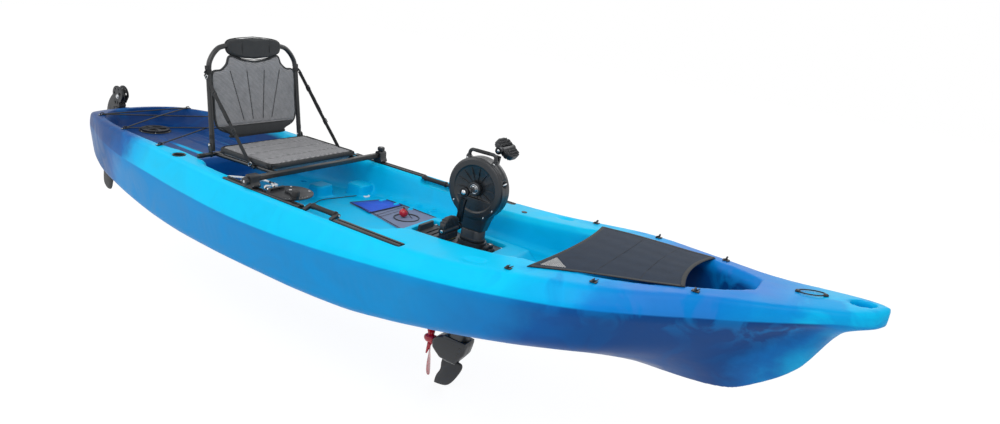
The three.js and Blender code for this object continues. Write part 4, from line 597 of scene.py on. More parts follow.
def makeHull():
    low, high = (math.asin(s) for s in (-1, 1))
    shares = [math.sin(a) for a in spaced(low, high, hull["stations"])]
    reach = lambda s: s * (hull["sternReach"] if s < 0 else hull["bowReach"])
    body = loft("hull_shell", [skinRing(reach(s)) for s in shares])
    well = loft("well", [wellRing(reach(s)) for s in spaced(-0.931, 0.806, hull["wellStations"])])
    mound = loft("mound", [[(x, -0.125, 0.15), (x, 0.125, 0.15), (x, 0.105, top), (x, -0.105, top)]
        for x, top in ((0.1, floorZ(0.1) - 0.005), (0.14, 0.275), (0.58, 0.275),
        (0.62, floorZ(0.62) - 0.005))])
    lift = [mound]
    for side in sides.values():  # moulded steps and feet in the wells
        lift.append(softBlock("step", (-0.545, 0.1 * side - 0.05, 0.17), (-0.455, 0.1 * side + 0.05, 0.245),
            0.008))
        lift.append(softBlock("box", (-0.455, 0.245 * side - 0.05, 0.17),
            (-0.345, 0.245 * side + 0.05, 0.252), 0.01))
        for k in range(4):  # heel ridges across the footwell walls
            x = 0.02 - 0.085 * k
            lift.append(softBlock("heel", (x - 0.012, 0.232 * side - 0.045, 0.18),
                (x + 0.012, 0.232 * side + 0.045, floorZ(x) + 0.012), 0.006, 0.008))
        for k in range(3):
            y = side * (0.055 + 0.075 * k)
            lift.append(softBlock("runner", (-1.46, y - 0.011, 0.2), (-1.06, y + 0.011, floorZ(-1.2) + 0.009),
                0.004, 0.01))
    hollow = combined(well, lift, "DIFFERENCE")
    cutters = [hollow]
    cutters.append(softBlock("pocket", (0.16, -0.075, 0.245), (0.5, 0.075, 0.4), 0, 0.014))
    cutters.append(softBlock("slot", (0.205, -0.045, -0.03), (0.47, 0.045, 0.4), 0, 0.016))
    cutters.append(sheetBody("bow_hole", "z", linkOutline((1.652, 0), 0.024, (1.6728, 0), 0.0192), 0.2, 0.7))
    cutters.append(cylinder("hatch_seat", "z", floorZ(-1.59), 0.4, 0.079, (-1.59, 0)))
    for side in sides.values():
        cutters.append(turned("rod_hole", "z", [(0, 0.215), (0.0205, 0.215), (0.0225, 0.33), (0.03, 0.36),
            (0, 0.36)], (-0.885, 0.33 * side)))
        y0, y1 = sorted((0.341 * side, 0.373 * side))
        cutters.append(roundedBox("rail_bed", (-0.551, y0, 0.328), (0.356, y1, 0.4)))
        y0, y1 = sorted((0.290 * side, 0.352 * side))
        cutters.append(softBlock("scoop", (-0.118, y0, 0.312), (0.043, y1, 0.4), 0, 0.018))
        for x in (-0.72, 0.02):
            cutters.append(turned("scupper", "z", [(0, -0.03), (0.015, -0.03), (0.013, 0.01), (0.013, 0.21),
                (0.02, 0.4), (0, 0.4)], (x, 0.205 * side)))
        cutters.append(egg("dimple", (0.6, 0.317 * side, deckZ(0.6, 0.317) + 0.004), (0.05, 0.024, 0.012),
            0.16 * -side))
    combined(body, cutters, "DIFFERENCE")
    return moulded(body, hull["voxel"], hull["smoothing"])


def markZones(piece):  # three fields on the mesh: outer skin, height over the knuckle, depth in a well
    mesh = piece.data
    outside = mesh.attributes.new("outside", "FLOAT", "POINT")
    height = mesh.attributes.new("height", "FLOAT", "POINT")
    depth = mesh.attributes.new("depth", "FLOAT", "POINT")
    for v in mesh.vertices:
        x, y, z = v.co
        outward = v.normal.y * (1 if y > 0 else -1)
        outer = abs(y) > rimY(x) - 0.012 or outward > 0.25 or v.normal.z < -0.3 or z < 0.09
        outside.data[v.index].value = 1.0 if outer else 0.0
        height.data[v.index].value = z - skinCurves[5](toShare(x)) * hull["rimHeight"]
        depth.data[v.index].value = rimZ(x) - z
    return piece


# millimetres from cell to cell of each pattern, and the colour stops by their place along the hull in metres
plastic = {"cloud": 222.2, "marble": 142.86, "peel": 2.381, "wave": 71.43}
# The upper stops colour the deck and the sides above the knuckle. The lower stops are darker over most of the
# length: painted shade on the skin below the knuckle. The well stops are darker too: painted shade inside the
# wells.
tones = {"upper": ((-1.9, "#083C78"), (-1.55, "#0A4685"), (-1.44, "#0C5FA8"), (-1.38, "#00A9E6"),
    (-1.2, "#00C6F6"), (0.55, "#00CBFA"), (0.78, "#0AA6EC"), (0.86, "#3A86D6"), (1.1, "#3A84D4"),
    (1.22, "#1A98E0"), (1.3, "#00B9F0"), (1.75, "#00C0EE")), "lower": ((-1.9, "#1E5A94"), (-1.62, "#17548F"),
    (-1.5, "#0F66AE"), (-1.42, "#0088CC"), (0.3, "#0090D4"), (0.62, "#0A7CC4"), (0.74, "#0B559E"),
    (0.9, "#0A4688"), (1.28, "#0B4484"), (1.36, "#0A69B4"), (1.44, "#00A4DE"), (1.75, "#00B4EA")),
    "wellShade": ((-1.9, "#06336C"), (-1.25, "#083F7C"), (-1.0, "#0A5AA4"), (-0.86, "#02A4DE"), (-0.5, "#00BCEE"),
    (0.5, "#00BEF0"), (0.72, "#0496DC"), (0.86, "#0A4E96"), (1.2, "#083A74"), (1.3, "#0A4A8C"),
    (1.5, "#0A62AE"), (1.75, "#0A72BE"))}


def polyethylene():
    # Rotomoulded polyethylene: navy, blue and cyan powders run into each other along the mould, in slanting
    # seams with marbling at the bow. Painted shade: the skin below the knuckle and the deep parts of the
    # wells are painted darker. Waxy satin, orange peel.
    material, tree, shader = newMaterial("rotomoulded polyethylene", Roughness=0.4, IOR=1.5,
        Specular_IOR_Level=0.1, Coat_Weight=0.015, Coat_Roughness=0.2)
    spot = addNode(tree, "NewGeometry").outputs["Position"]
    axes = addNode(tree, "SeparateXYZ", {}, {0: spot})
    cloud = addNode(tree, "TexNoise", {"Scale": per(plastic["cloud"]), "Detail": 5.0, "Roughness": 0.55},
        {"Vector": spot})
    slant = addNode(tree, "Math", {"operation": "MULTIPLY_ADD", 1: -0.55}, {0: axes.outputs[2], 2: axes})
    wander = addNode(tree, "Math", {"operation": "MULTIPLY_ADD", 1: 0.3, 2: -0.15}, {0: cloud})
    along = addNode(tree, "Math", {"operation": "ADD"}, {0: slant, 1: wander})
    share = addNode(tree, "MapRange", {"From Min": -1.9, "From Max": 1.75}, {"Value": along})
    shades = {name: addNode(tree, "ValToRGB", {}, {"Fac": share},
        [((at + 1.9) / 3.65, code) for at, code in stops]) for name, stops in tones.items()}
    fields = {name: addNode(tree, "Attribute", {"attribute_name": name}).outputs["Fac"]
        for name in ("outside", "height", "depth")}
    # painted shade: below the knuckle the outer skin takes the darker lower stops
    under = addNode(tree, "MapRange", {"From Min": 0.003, "From Max": -0.003}, {"Value": fields["height"]})
    # painted shade: deeper inside a well the colour turns to the darker well stops
    sunk = addNode(tree, "MapRange", {"From Min": 0.012, "From Max": 0.034}, {"Value": fields["depth"]})
    paintedShadeUnderKnuckle = addNode(tree, "Math", {"operation": "MULTIPLY"}, {0: under, 1: fields["outside"]})
    inner = addNode(tree, "Math", {"operation": "SUBTRACT", 0: 1.0}, {1: fields["outside"]})
    paintedShadeInWell = addNode(tree, "Math", {"operation": "MULTIPLY"}, {0: sunk, 1: inner})
    skin = addNode(tree, "Mix", {"data_type": "RGBA"},
        {0: paintedShadeUnderKnuckle, 6: shades["upper"], 7: shades["lower"]})
    shell = addNode(tree, "Mix", {"data_type": "RGBA"}, {0: paintedShadeInWell, 6: skin.outputs[2], 7: shades["wellShade"]})
    marble = addNode(tree, "TexNoise", {"Scale": per(plastic["marble"]), "Detail": 7.0, "Distortion": 1.4},
        {"Vector": spot})
    patch = addNode(tree, "MapRange", {"From Min": 0.5, "From Max": 0.6}, {"Value": marble})
    foreOnly = addNode(tree, "MapRange", {"From Min": 0.55, "From Max": 0.9, "To Max": 0.55}, {"Value": axes})
    aftOnly = addNode(tree, "MapRange", {"From Min": -0.95, "From Max": -1.2, "To Max": 0.35},
        {"Value": axes})
    where = addNode(tree, "Math", {"operation": "ADD"}, {0: foreOnly, 1: aftOnly})
    onTop = addNode(tree, "MapRange", {"From Min": 0.29, "From Max": 0.4, "To Min": 0.12, "To Max": 1.0},
        {"Value": axes.outputs[2]})
    kept = addNode(tree, "Math", {"operation": "MULTIPLY"}, {0: where, 1: onTop})
    marbled = addNode(tree, "Math", {"operation": "MULTIPLY"}, {0: patch, 1: kept})
    veined = addNode(tree, "Mix", {"data_type": "RGBA", 7: srgb("#0A86D2")},
        {0: marbled, 6: shell.outputs[2]})
    shift = addNode(tree, "MapRange", {"From Min": 0.3, "From Max": 0.7, "To Min": 0.95, "To Max": 1.04},
        {"Value": marble})
    tone = addNode(tree, "HueSaturation", {"Saturation": 1.04}, {"Color": veined.outputs[2], "Value": shift})
    tree.links.new(tone.outputs[0], shader.inputs["Base Color"])
    peel = addNode(tree, "TexNoise", {"Scale": per(plastic["peel"]), "Detail": 2.0}, {"Vector": spot})
    wave = addNode(tree, "TexNoise", {"Scale": per(plastic["wave"]), "Detail": 2.0}, {"Vector": spot})
    fine = addNode(tree, "Bump", {"Strength": 0.08, "Distance": 0.0006}, {"Height": peel})
    slow = addNode(tree, "Bump", {"Strength": 0.12, "Distance": 0.004},
        {"Height": wave.outputs["Fac"], "Normal": fine})
    tree.links.new(slow.outputs[0], shader.inputs["Normal"])
    rub = addNode(tree, "MapRange", {"From Min": 0.35, "From Max": 0.7, "To Min": 0.33, "To Max": 0.48},
        {"Value": marble})
    tree.links.new(rub.outputs[0], shader.inputs["Roughness"])
    return material


place(paint(markZones(makeHull()), polyethylene()), "hull", "hull")
print("stage: hull")


# Finishes shared by the pieces
def bandsPer(pitch):  # wave scale for stripes so many millimetres apart
    return 0.3142 / (pitch * mm)


def finish(name, dark, light, rough, grain, depth, drift=30, **values):
    # Two tones that drift into each other, a sheen that varies with handling and a fine grain.
    material, tree, shader = newMaterial(name, **values)
    spot = addNode(tree, "TexCoord").outputs["Object"]
    cloud = addNode(tree, "TexNoise", {"Scale": per(drift), "Detail": 6.0, "Roughness": 0.6},
        {"Vector": spot})
    tones = addNode(tree, "Mix", {"data_type": "RGBA", 6: srgb(dark), 7: srgb(light)}, {0: cloud})
    tree.links.new(tones.outputs[2], shader.inputs["Base Color"])
    worn = addNode(tree, "MapRange", {"From Min": 0.3, "From Max": 0.7, "To Min": rough[0],
        "To Max": rough[1]}, {"Value": cloud})
    tree.links.new(worn.outputs[0], shader.inputs["Roughness"])
    fine = addNode(tree, "TexNoise", {"Scale": per(grain), "Detail": 3.0}, {"Vector": spot})
    bump = addNode(tree, "Bump", {"Strength": 0.5, "Distance": depth * mm}, {"Height": fine})
    tree.links.new(bump.outputs[0], shader.inputs["Normal"])
    return material


def woven(name, dark, light, pitch, depth, turn=45, rough=0.9, **values):
    # Two families of threads that cross, the hollows between them darker, with uneven dye.
    material, tree, shader = newMaterial(name, Roughness=rough, **values)
    spot = addNode(tree, "TexCoord").outputs["Object"]
    aimed = addNode(tree, "Mapping", {"Rotation": [math.radians(turn)] * 3}, {"Vector": spot})
    threads = []
    for direction in ("X", "Y"):
        threads.append(addNode(tree, "TexWave", {"bands_direction": direction, "Scale": bandsPer(pitch),
            "Distortion": 0.6, "Detail": 2.0}, {"Vector": aimed}))
    cloth = addNode(tree, "Math", {"operation": "MULTIPLY"},
        {0: threads[0].outputs["Fac"], 1: threads[1].outputs["Fac"]})
    cloud = addNode(tree, "TexNoise", {"Scale": per(28), "Detail": 5.0}, {"Vector": spot})
    faint = addNode(tree, "Math", {"operation": "MULTIPLY", 1: 0.35}, {0: cloud})
    share = addNode(tree, "Math", {"operation": "MULTIPLY_ADD", 1: 0.8}, {0: cloth, 2: faint})
    level = addNode(tree, "MapRange", {"From Min": 0.1, "From Max": 0.9}, {"Value": share})
    tones = addNode(tree, "Mix", {"data_type": "RGBA", 6: srgb(dark), 7: srgb(light)}, {0: level})
    tree.links.new(tones.outputs[2], shader.inputs["Base Color"])
    bump = addNode(tree, "Bump", {"Strength": 0.6, "Distance": depth * mm}, {"Height": cloth})
    tree.links.new(bump.outputs[0], shader.inputs["Normal"])
    return material


# Glass-filled nylon: near black with a grey bloom and a stippled mould grain.
nylon = finish("glass-filled nylon", "#131518", "#26292E", (0.38, 0.55), 0.9, 0.05)
# Satin moulded housing: smoother and a little bluer than the nylon, so its rim catches broad soft lights.
housing = finish("satin moulded housing", "#15181C", "#22262B", (0.3, 0.42), 1.6, 0.02, drift=60,
    Coat_Weight=0.08, Coat_Roughness=0.3)
# EPDM rubber: charcoal, dull, with a coarse skin.
rubber = finish("ribbed black rubber", "#0E0F11", "#222427", (0.62, 0.8), 1.2, 0.12, drift=18)
# Powder coat on steel tube: black with the small orange peel of sprayed powder.
coated = finish("black powder coat", "#121315", "#1D1F22", (0.3, 0.45), 2.2, 0.06, drift=45,
    Specular_IOR_Level=0.6)
# Stainless steel: bright, with fine turning marks.
steel = finish("brushed stainless steel", "#A9ACAF", "#D4D6D8", (0.2, 0.36), 0.5, 0.02, drift=8, Metallic=1.0)
# Hard anodised alloy: dark metal that shines along its edges.
alloy = finish("black anodised alloy", "#1B1D20", "#33363A", (0.28, 0.4), 0.7, 0.03, drift=14, Metallic=0.85)
# Sintered bronze bush: warm and dull.
bronze = finish("sintered bronze", "#7A5426", "#B08D3C", (0.35, 0.5), 0.4, 0.04, drift=6, Metallic=1.0)
# Glossy red nylon of the propeller and the toggle ball.
redNylon = finish("gloss red nylon", "#A80C22", "#D2122F", (0.16, 0.3), 2.5, 0.03, drift=40, Coat_Weight=0.3,
    Coat_Roughness=0.12)
# Polyurethane sleeve: white, a little milky, softly shining.
sleeveWhite = finish("white polyurethane sleeve", "#DADCDD", "#F6F6F4", (0.22, 0.34), 1.5, 0.02, drift=20,
    Subsurface_Weight=0.08, Subsurface_Radius=(0.004, 0.004, 0.004))
# Air mesh of the seat: pale grey threads over darker hollows.
airMesh = woven("grey air mesh", "#67686B", "#B4B4B7", 4.2, 0.5)
# Coated nylon of the seat's trim, nearly black with a faint canvas.
trimCloth = woven("charcoal coated nylon", "#1E2022", "#3C3F42", 1.1, 0.12, rough=0.78)
# Webbing: black polyester with the ribs of its weave.
webbing = woven("black webbing", "#0C0D0E", "#2B2D30", 1.6, 0.25, turn=30, rough=0.75)
# Spray cover: slate blue ripstop with a smoother face.
coverCloth = woven("slate ripstop", "#0F1A28", "#22364E", 2.2, 0.1, turn=0, rough=0.72,
    Specular_IOR_Level=0.25)
# Elastic cord: black braid with a soft shine.
braid = woven("braided elastic cord", "#0B0C0E", "#34373B", 1.0, 0.25, turn=35, rough=0.6)
# Closed-cell foam of the mat, in two colours.
blueFoam = finish("blue foam", "#0F45C4", "#2C6BEA", (0.55, 0.7), 1.8, 0.2, drift=25)
greyFoam = finish("grey foam", "#5F6C8C", "#7F8BA8", (0.6, 0.75), 1.8, 0.2, drift=25)
print("stage: finishes")


# Small parts that many pieces carry
def stud(axis, centre, start, height, radius, material=None):  # a domed bolt head with a socket in it
    r, h = radius, height
    profile = [(0, start), (r, start), (r, start + 0.55 * h), (0.82 * r, start + 0.9 * h),
        (0.6 * r, start + h), (0.45 * r, start + h), (0.42 * r, start + 0.4 * h), (0, start + 0.4 * h)]
    return shaded(paint(turned("stud", axis, profile, centre, 24), material or steel))


def softPrism(name, axis, outline, low, high, width=0.0015, segments=3):
    return bevelled(sheetBody(name, axis, outline, min(low, high), max(low, high)), width, segments)


def turnedAbout(piece, axis, angle, centre):  # turns a piece's mesh about an axis through a place
    shift = Matrix.Translation(centre)
    piece.data.transform(shift @ Matrix.Rotation(angle, 4, axis) @ shift.inverted())
    return piece


def moved(piece, x=0.0, y=0.0, z=0.0):
    piece.data.transform(Matrix.Translation((x, y, z)))
    return piece


def flipped(piece):  # the mirror image across the centre line
    piece.data.transform(Matrix.Scale(-1, 4, (0, 1, 0)))
    piece.data.flip_normals()
    return piece


# Hatch in the tank well
hatch = {"x": -1.59, "ring": 0.075, "mouth": 0.054, "neck": 0.0585, "neckDepth": 0.012, "flange": 0.004,
    "cap": 0.067, "capHeight": 0.009, "skirt": 0.01, "play": 0.0012, "dish": 0.056, "lobeDepth": 0.0075,
    "bar": 0.009, "knurls": 36}


def makeHatchRing():
    h = hatch
    s = floorZ(h["x"]) + 0.0003
    top = s + h["flange"]
    profile = [(h["mouth"], s - h["neckDepth"]), (h["neck"], s - h["neckDepth"]), (h["neck"], s),
        (h["ring"], s), (h["ring"], s + 0.0014), (h["ring"] - 0.0012, s + 0.003), (h["ring"] - 0.0035, top),
        (h["cap"] + 0.0012, top), (h["cap"] + 0.0006, top - 0.0008), (h["mouth"], top - 0.0008),
        (h["mouth"], s - h["neckDepth"])]
    ring = shaded(paint(turned("hatch_ring_look", "z", profile, (h["x"], 0), 120), nylon))
    parts = [ring]
    for k in range(6):
        a = math.radians(30 + 60 * k)
        r = (h["ring"] + h["cap"]) / 2 + 0.0006
        parts.append(stud("z", (h["x"] + r * math.cos(a), r * math.sin(a)), top - 0.0006, 0.0016, 0.0024))
    return joined("hatch_ring_look", parts)


def makeHatchLid():
    h = hatch
    s = floorZ(h["x"]) + h["flange"] + 0.0006
    top = s + h["capHeight"]
    edge = []
    for k in range(h["knurls"] * 8):
        a = 2 * math.pi * k / (h["knurls"] * 8)
        r = h["cap"] - 0.0006 + 0.0006 * math.cos(h["knurls"] * a)
        edge.append((h["x"] + r * math.cos(a), r * math.sin(a)))
    cap = sheetBody("hatch_lid_look", "z", edge, s, top)
    cutters = []
    for k in range(4):  # four lobes leave a cross to turn the lid by
        a = math.radians(45 + 90 * k)
        inner, outer = h["bar"] * 1.45, h["dish"] - 0.004
        lobe = roundedOutline([(inner, -0.002), (outer * math.cos(0.6), -outer * math.sin(0.6)),
            (outer, -0.008), (outer, 0.008), (outer * math.cos(0.6), outer * math.sin(0.6)), (inner, 0.002)],
            0.006, 5)
        aimed = [(h["x"] + u * math.cos(a) - v * math.sin(a), u * math.sin(a) + v * math.cos(a))
            for u, v in lobe]
        cutters.append(sheetBody("lobe", "z", aimed, top - h["lobeDepth"], top + 0.01))
    groove = turned("groove", "z", [(h["dish"], top - 0.0012), (h["dish"] + 0.0016, top - 0.0012),
        (h["dish"] + 0.0016, top + 0.002), (h["dish"], top + 0.002), (h["dish"], top - 0.0012)], (h["x"], 0),
        96)
    combined(cap, cutters + [groove], "DIFFERENCE")
    bevelled(cap, 0.0009, 3)
    skirt = shaded(cylinder("skirt", "z", s - h["skirt"], s + 0.001, h["mouth"] - h["play"], (h["x"], 0), 96))
    return joined("hatch_lid_look", [paint(cap, nylon), paint(skirt, rubber)])


place(makeHatchRing(), "hull", "hatch_ring")
place(makeHatchLid(), "hatch_lid", "hatch_lid")
print("stage: hatch")


# Gear rails on the gunwales
rail = {"y": 0.357, "half": 0.015, "web": 0.01, "slot": 0.004, "base": 0.3283, "top": 0.3421, "floor": 0.3323,
    "lip": 0.0040, "ends": {"rear": (-0.55, -0.12), "front": (0.046, 0.355)}, "slant": 0.006,
    "screwPitch": 0.1}


def makeRail(part, side):
    r = rail
    aft, fore = r["ends"][part]
    half, web, slot = r["half"], r["web"], r["slot"]
    section = [(-half, r["base"]), (half, r["base"]), (half, r["top"] - 0.0022), (half - 0.0022, r["top"]),
        (slot + 0.0006, r["top"]), (slot, r["top"] - 0.0008), (slot, r["top"] - r["lip"]),
        (web, r["top"] - r["lip"]), (web, r["floor"]), (-web, r["floor"]), (-web, r["top"] - r["lip"]),
        (-slot, r["top"] - r["lip"]), (-slot, r["top"] - 0.0008), (-slot - 0.0006, r["top"]),
        (-half + 0.0022, r["top"]), (-half, r["top"] - 0.0022)]
    rings = []
    for end, lean in ((aft, 1), (fore, -1)):  # the ends slope up from the deck
        rings.append([(end + lean * r["slant"] * (z - r["base"]) / (r["top"] - r["base"]), side * r["y"] + y,
            z) for y, z in section])
    body = bevelled(loft("rail", rings), 0.0005, 2, 25)
    parts = [paint(body, coated)]
    count = round((fore - aft - 0.05) / r["screwPitch"])
    for k in range(count + 1):
        x = aft + 0.025 + (fore - aft - 0.05) * k / count
        parts.append(stud("z", (x, side * r["y"]), r["floor"] - 0.0002, 0.0022, 0.0036))
    return joined(f"rail_{part}_look_{'port' if side > 0 else 'starboard'}", parts)


for sideName, side in sides.items():
    for part in ("rear", "front"):
        place(makeRail(part, side), "hull", f"rail_{part}_{sideName}")
print("stage: rails")


# Carry grips
grip = {"hingeY": 0.357, "hingeZ": 0.3333, "barrel": 0.005, "y": 0.327, "z": 0.3413, "r": 0.012,
    "straps": (-0.104, 0.029), "strapHalf": 0.008}


def makeGrip(sideName, side):
    g = grip
    y, z = side * g["y"], g["z"]
    aft, fore = g["straps"][0] + g["strapHalf"], g["straps"][1] - g["strapHalf"]
    length = fore - aft
    profile = [(0.0062, aft), (g["r"], aft), (g["r"], aft + 0.006)]  # flared ends, a waist and finger ribs
    for k in range(61):
        u = k / 60
        waist = 0.0016 * math.sin(math.pi * u) ** 0.5
        rib = 0.0004 * (0.5 + 0.5 * math.cos(2 * math.pi * 9 * u)) if 0.1 < u < 0.9 else 0
        profile.append((g["r"] - 0.0012 - waist + rib, aft + 0.008 + (length - 0.016) * u))
    profile += [(g["r"], fore - 0.006), (g["r"], fore), (0.0062, fore)]
    profile = [(0, aft)] + profile + [(0, fore)]
    sleeve = shaded(paint(turned("grip_sleeve", "x", profile, (y, z), 36), rubber), 40)
    parts = [sleeve]
    for x in g["straps"]:
        strap = linkOutline((side * g["hingeY"], g["hingeZ"]), g["barrel"], (y, z), 0.0075, 14)
        strap = sheetBody("strap", "x", strap, x - g["strapHalf"], x + g["strapHalf"])
        parts.append(paint(bevelled(strap, 0.0012, 3), nylon))
        parts.append(stud("x", (y, z), x + g["strapHalf"] - 0.0004 if x > 0 else x - g["strapHalf"] - 0.0016,
            0.002, 0.0045))
    return joined(f"carry_grip_look_{sideName}", parts)


for sideName, side in sides.items():
    place(makeGrip(sideName, side), f"carry_grip_{sideName}", f"carry_grip_{sideName}")
print("stage: carry grips")


# Drive housing
drum = {"x": 0.392, "z": 0.485, "r": 0.115, "half": 0.031, "round": 0.009, "dish": 0.088, "boss": 0.025,
    "dishDepth": 0.016, "portDish": 0.004, "neckBottom": 0.33, "neckTop": 0.41, "neckBottomHalf": 0.048,
    "neckTopHalf": 0.078, "lug": 0.057, "lugHalf": 0.011, "lugTop": 0.5949, "ribs": 14, "voxel": 0.0014,
    "seam": 0.0007, "screws": ((0.3405, 0.3895), (0.4435, 0.3895), (0.476, 0.424), (0.308, 0.424))}


def makeDrum():
    d = drum
    centre = (d["x"], d["z"])
    face = d["half"]
    inner = d["dish"] - 0.004
    body = turned("drum", "y", [(0, -face + d["dishDepth"]), (d["boss"] - 0.002, -face + d["dishDepth"]),
        (inner * 0.62, -face + d["dishDepth"] * 0.72), (inner, -face + 0.0035), (d["dish"], -face),
        (d["r"] - d["round"], -face), (d["r"] - d["round"] * 0.3, -face + d["round"] * 0.3),
        (d["r"], -face + d["round"]), (d["r"], face - d["round"]),
        (d["r"] - d["round"] * 0.3, face - d["round"] * 0.3), (d["r"] - d["round"], face), (d["dish"], face),
        (inner, face - d["portDish"]), (0, face - d["portDish"])], centre, 160)
    extras = []
    neck = []
    for z, half, y in ((d["neckBottom"], d["neckBottomHalf"], 0.0262), (0.37, 0.0612, 0.0268),
            (d["neckTop"], d["neckTopHalf"], 0.027), (0.45, 0.086, 0.027)):
        outline = roundedRectangle(d["x"] - half, d["x"] + half, -y, y, 0.011, 5)
        neck.append([(x, yy, z) for x, yy in outline])
    extras.append(loft("neck", neck))
    for sign in (-1, 1):  # lugs that carry the handle, with a shoulder that runs down into the rim
        x = d["x"] + sign * d["lug"]
        extras.append(softBlock("lug", (x - d["lugHalf"], -0.0115, 0.56),
            (x + d["lugHalf"], 0.0115, d["lugTop"] + 0.0005), 0.0015, 0.008))
    shoulder = [onRim(d, a, d["r"] - 0.012) for a in (63, 52, 40, 28)]
    extras.append(sweep("shoulder", [Vector((x, 0, z)) for x, z in shoulder],
        [(u * 0.021, v * 0.0165) for u, v in circle(1, 24)], up=(0, 1, 0)))
    x, z = onRim(d, 118, d["r"] - 0.014)
    extras.append(egg("rear_shoulder", (x, 0, z), (0.022, 0.019, 0.02)))
    # screw bosses on the seam
    for x, z in d["screws"]:
        extras.append(turned("boss", "y", [(0, -0.029), (0.0085, -0.029), (0.0095, 0.029), (0, 0.029)],
            (x, z), 24))
    body = combined(body, extras, "UNION")
    x, z = onRim(d, 20, d["r"] + 0.004)
    cutters = [egg("recess", (x, -0.004, z), (0.013, 0.017, 0.013))]
    for x, z in d["screws"]:
        cutters.append(cylinder("well", "y", -0.04, -0.0268, 0.0052, (x, z), 24))
    body = combined(body, cutters, "DIFFERENCE")
    body = moulded(body, d["voxel"], 2)
    ribs = []
    for k in range(d["ribs"]):  # thin ribs that fan out in the dish
        a = 2 * math.pi * (k + 0.35) / d["ribs"]
        rib = sheetBody("rib", "x", [(-0.0142, 0.026), (-0.0175, 0.03), (-0.0262, 0.058), (-0.0282, 0.0795),
            (-0.024, 0.0795), (-0.0142, 0.05)], -0.0009, 0.0009)
        turnedAbout(rib, "Y", a, Vector((0, 0, 0)))
        ribs.append(bevelled(moved(rib, d["x"], 0, d["z"]), 0.0004, 2))
    hub = turned("hub", "y", [(0.0182, -face + 0.017), (0.0182, -face - 0.001), (0.0195, -face - 0.0022),
        (0.0235, -face - 0.0022), (0.0252, -face), (0.027, -face + d["dishDepth"]), (0.0182, -face + 0.017)],
        centre, 64)
    portHub = turned("port_hub", "y", [(0.0182, face - 0.006), (0.0182, face + 0.0006),
        (0.024, face + 0.0006), (0.0262, face - 0.001), (0.0262, face - 0.006), (0.0182, face - 0.006)],
        centre, 64)
    seamRing = turned("seam", "y", [(d["r"] + 0.0002, -d["seam"]), (d["r"] + 0.0002, d["seam"]),
        (d["r"] - 0.004, d["seam"]), (d["r"] - 0.004, -d["seam"]), (d["r"] + 0.0002, -d["seam"])], centre,
        160)
    parts = [paint(body, housing)] + [paint(r, housing) for r in ribs] + [dressed(hub, housing),
        dressed(portHub, housing), dressed(seamRing, nylon)]
    for x, z in d["screws"]:
        parts.append(stud("y", (x, z), -0.0272, -0.002, 0.0038))
    for sign in (-1, 1):  # screws of the handle's lugs
        x = d["x"] + sign * d["lug"]
        parts.append(stud("y", (x, d["lugTop"] - 0.009), -0.0112, -0.003, 0.0048))
        parts.append(stud("y", (x, d["lugTop"] - 0.009), 0.0112, 0.003, 0.0048))
    x, z = onRim(d, 20, d["r"] + 0.0005)
    pin = tube("pin", [(x - 0.001, -0.0145, z), (x + 0.0005, -0.004, z + 0.001),
        (x - 0.001, 0.007, z + 0.002)], 0.0026, 14)
    parts.append(paint(pin, steel))
    return joined("drive_housing_look", parts)


def onRim(d, degrees, radius):
    a = math.radians(degrees)
    return d["x"] + radius * math.cos(a), d["z"] + radius * math.sin(a)


place(makeDrum(), "hull", ("gearcase_port", "gearcase_starboard"))
for sideName, side in sides.items():  # sealed bearings: a steel outer ring, a dark shield and an inner ring
    f = side * 0.031
    n = side * 0.023
    cx = (drum["x"], drum["z"])
    outer = turned("race", "y", [(0.0139, n), (0.0176, n), (0.0176, f - side * 0.0006), (0.017, f),
        (0.0142, f), (0.0139, n)], cx, 64)
    inner = turned("race", "y", [(0.0101, n), (0.0123, n), (0.0123, f), (0.0104, f), (0.0101, n)], cx, 64)
    shield = turned("shield", "y", [(0.0122, n), (0.014, n), (0.014, f - side * 0.0009),
        (0.0122, f - side * 0.0009), (0.0122, n)], cx, 64)
    race = joined(f"axle_bearing_look_{sideName}",
        [dressed(outer, steel), dressed(inner, steel), dressed(shield, rubber)])
    place(race, "hull", f"axle_bearing_{sideName}")
print("stage: drive housing")


# Drive handle, mast, base plate and latches
handle = {"foot": 0.5952, "top": 0.6179, "span": 0.057, "r": 0.0064, "gripR": 0.0068}


def makeHandle():
    h = handle
    x, low, top = drum["x"], h["foot"], h["top"]
    side = [(-0.057, low), (-0.0565, low + 0.006), (-0.0535, top - 0.0065), (-0.046, top - 0.0008),
        (-0.034, top)]
    path = side + [(-0.012, top), (0.012, top)] + [(-u, z) for u, z in side[::-1]]
    bar = tube("bar", [(x + u, 0, z) for u, z in path], h["r"], 24, 8)
    wrap = tube("wrap", [(x + u, 0, top) for u in (-0.03, -0.015, 0, 0.015, 0.03)], h["gripR"], 24, 16)
    cuffs = []
    for sign in (-1, 1):
        cuffs.append(turned("cuff", "z", [(0, low), (0.0088, low), (0.0088, low + 0.003),
            (0.0066, low + 0.0045), (0, low + 0.0045)], (x + sign * h["span"], 0), 28))
    parts = [paint(bar, nylon), paint(wrap, webbing)] + [dressed(c, nylon) for c in cuffs]
    return joined("drive_handle_look", parts)


mast = {"spread": 0.017, "r": 0.031, "low": -0.1247, "high": 0.3297}


def mastOutline(radius, steps=20):  # the mast's oblong section, grown to a radius
    aft, fore = drum["x"] - mast["spread"], drum["x"] + mast["spread"]
    return linkOutline((aft, 0), radius, (fore, 0), radius, steps)


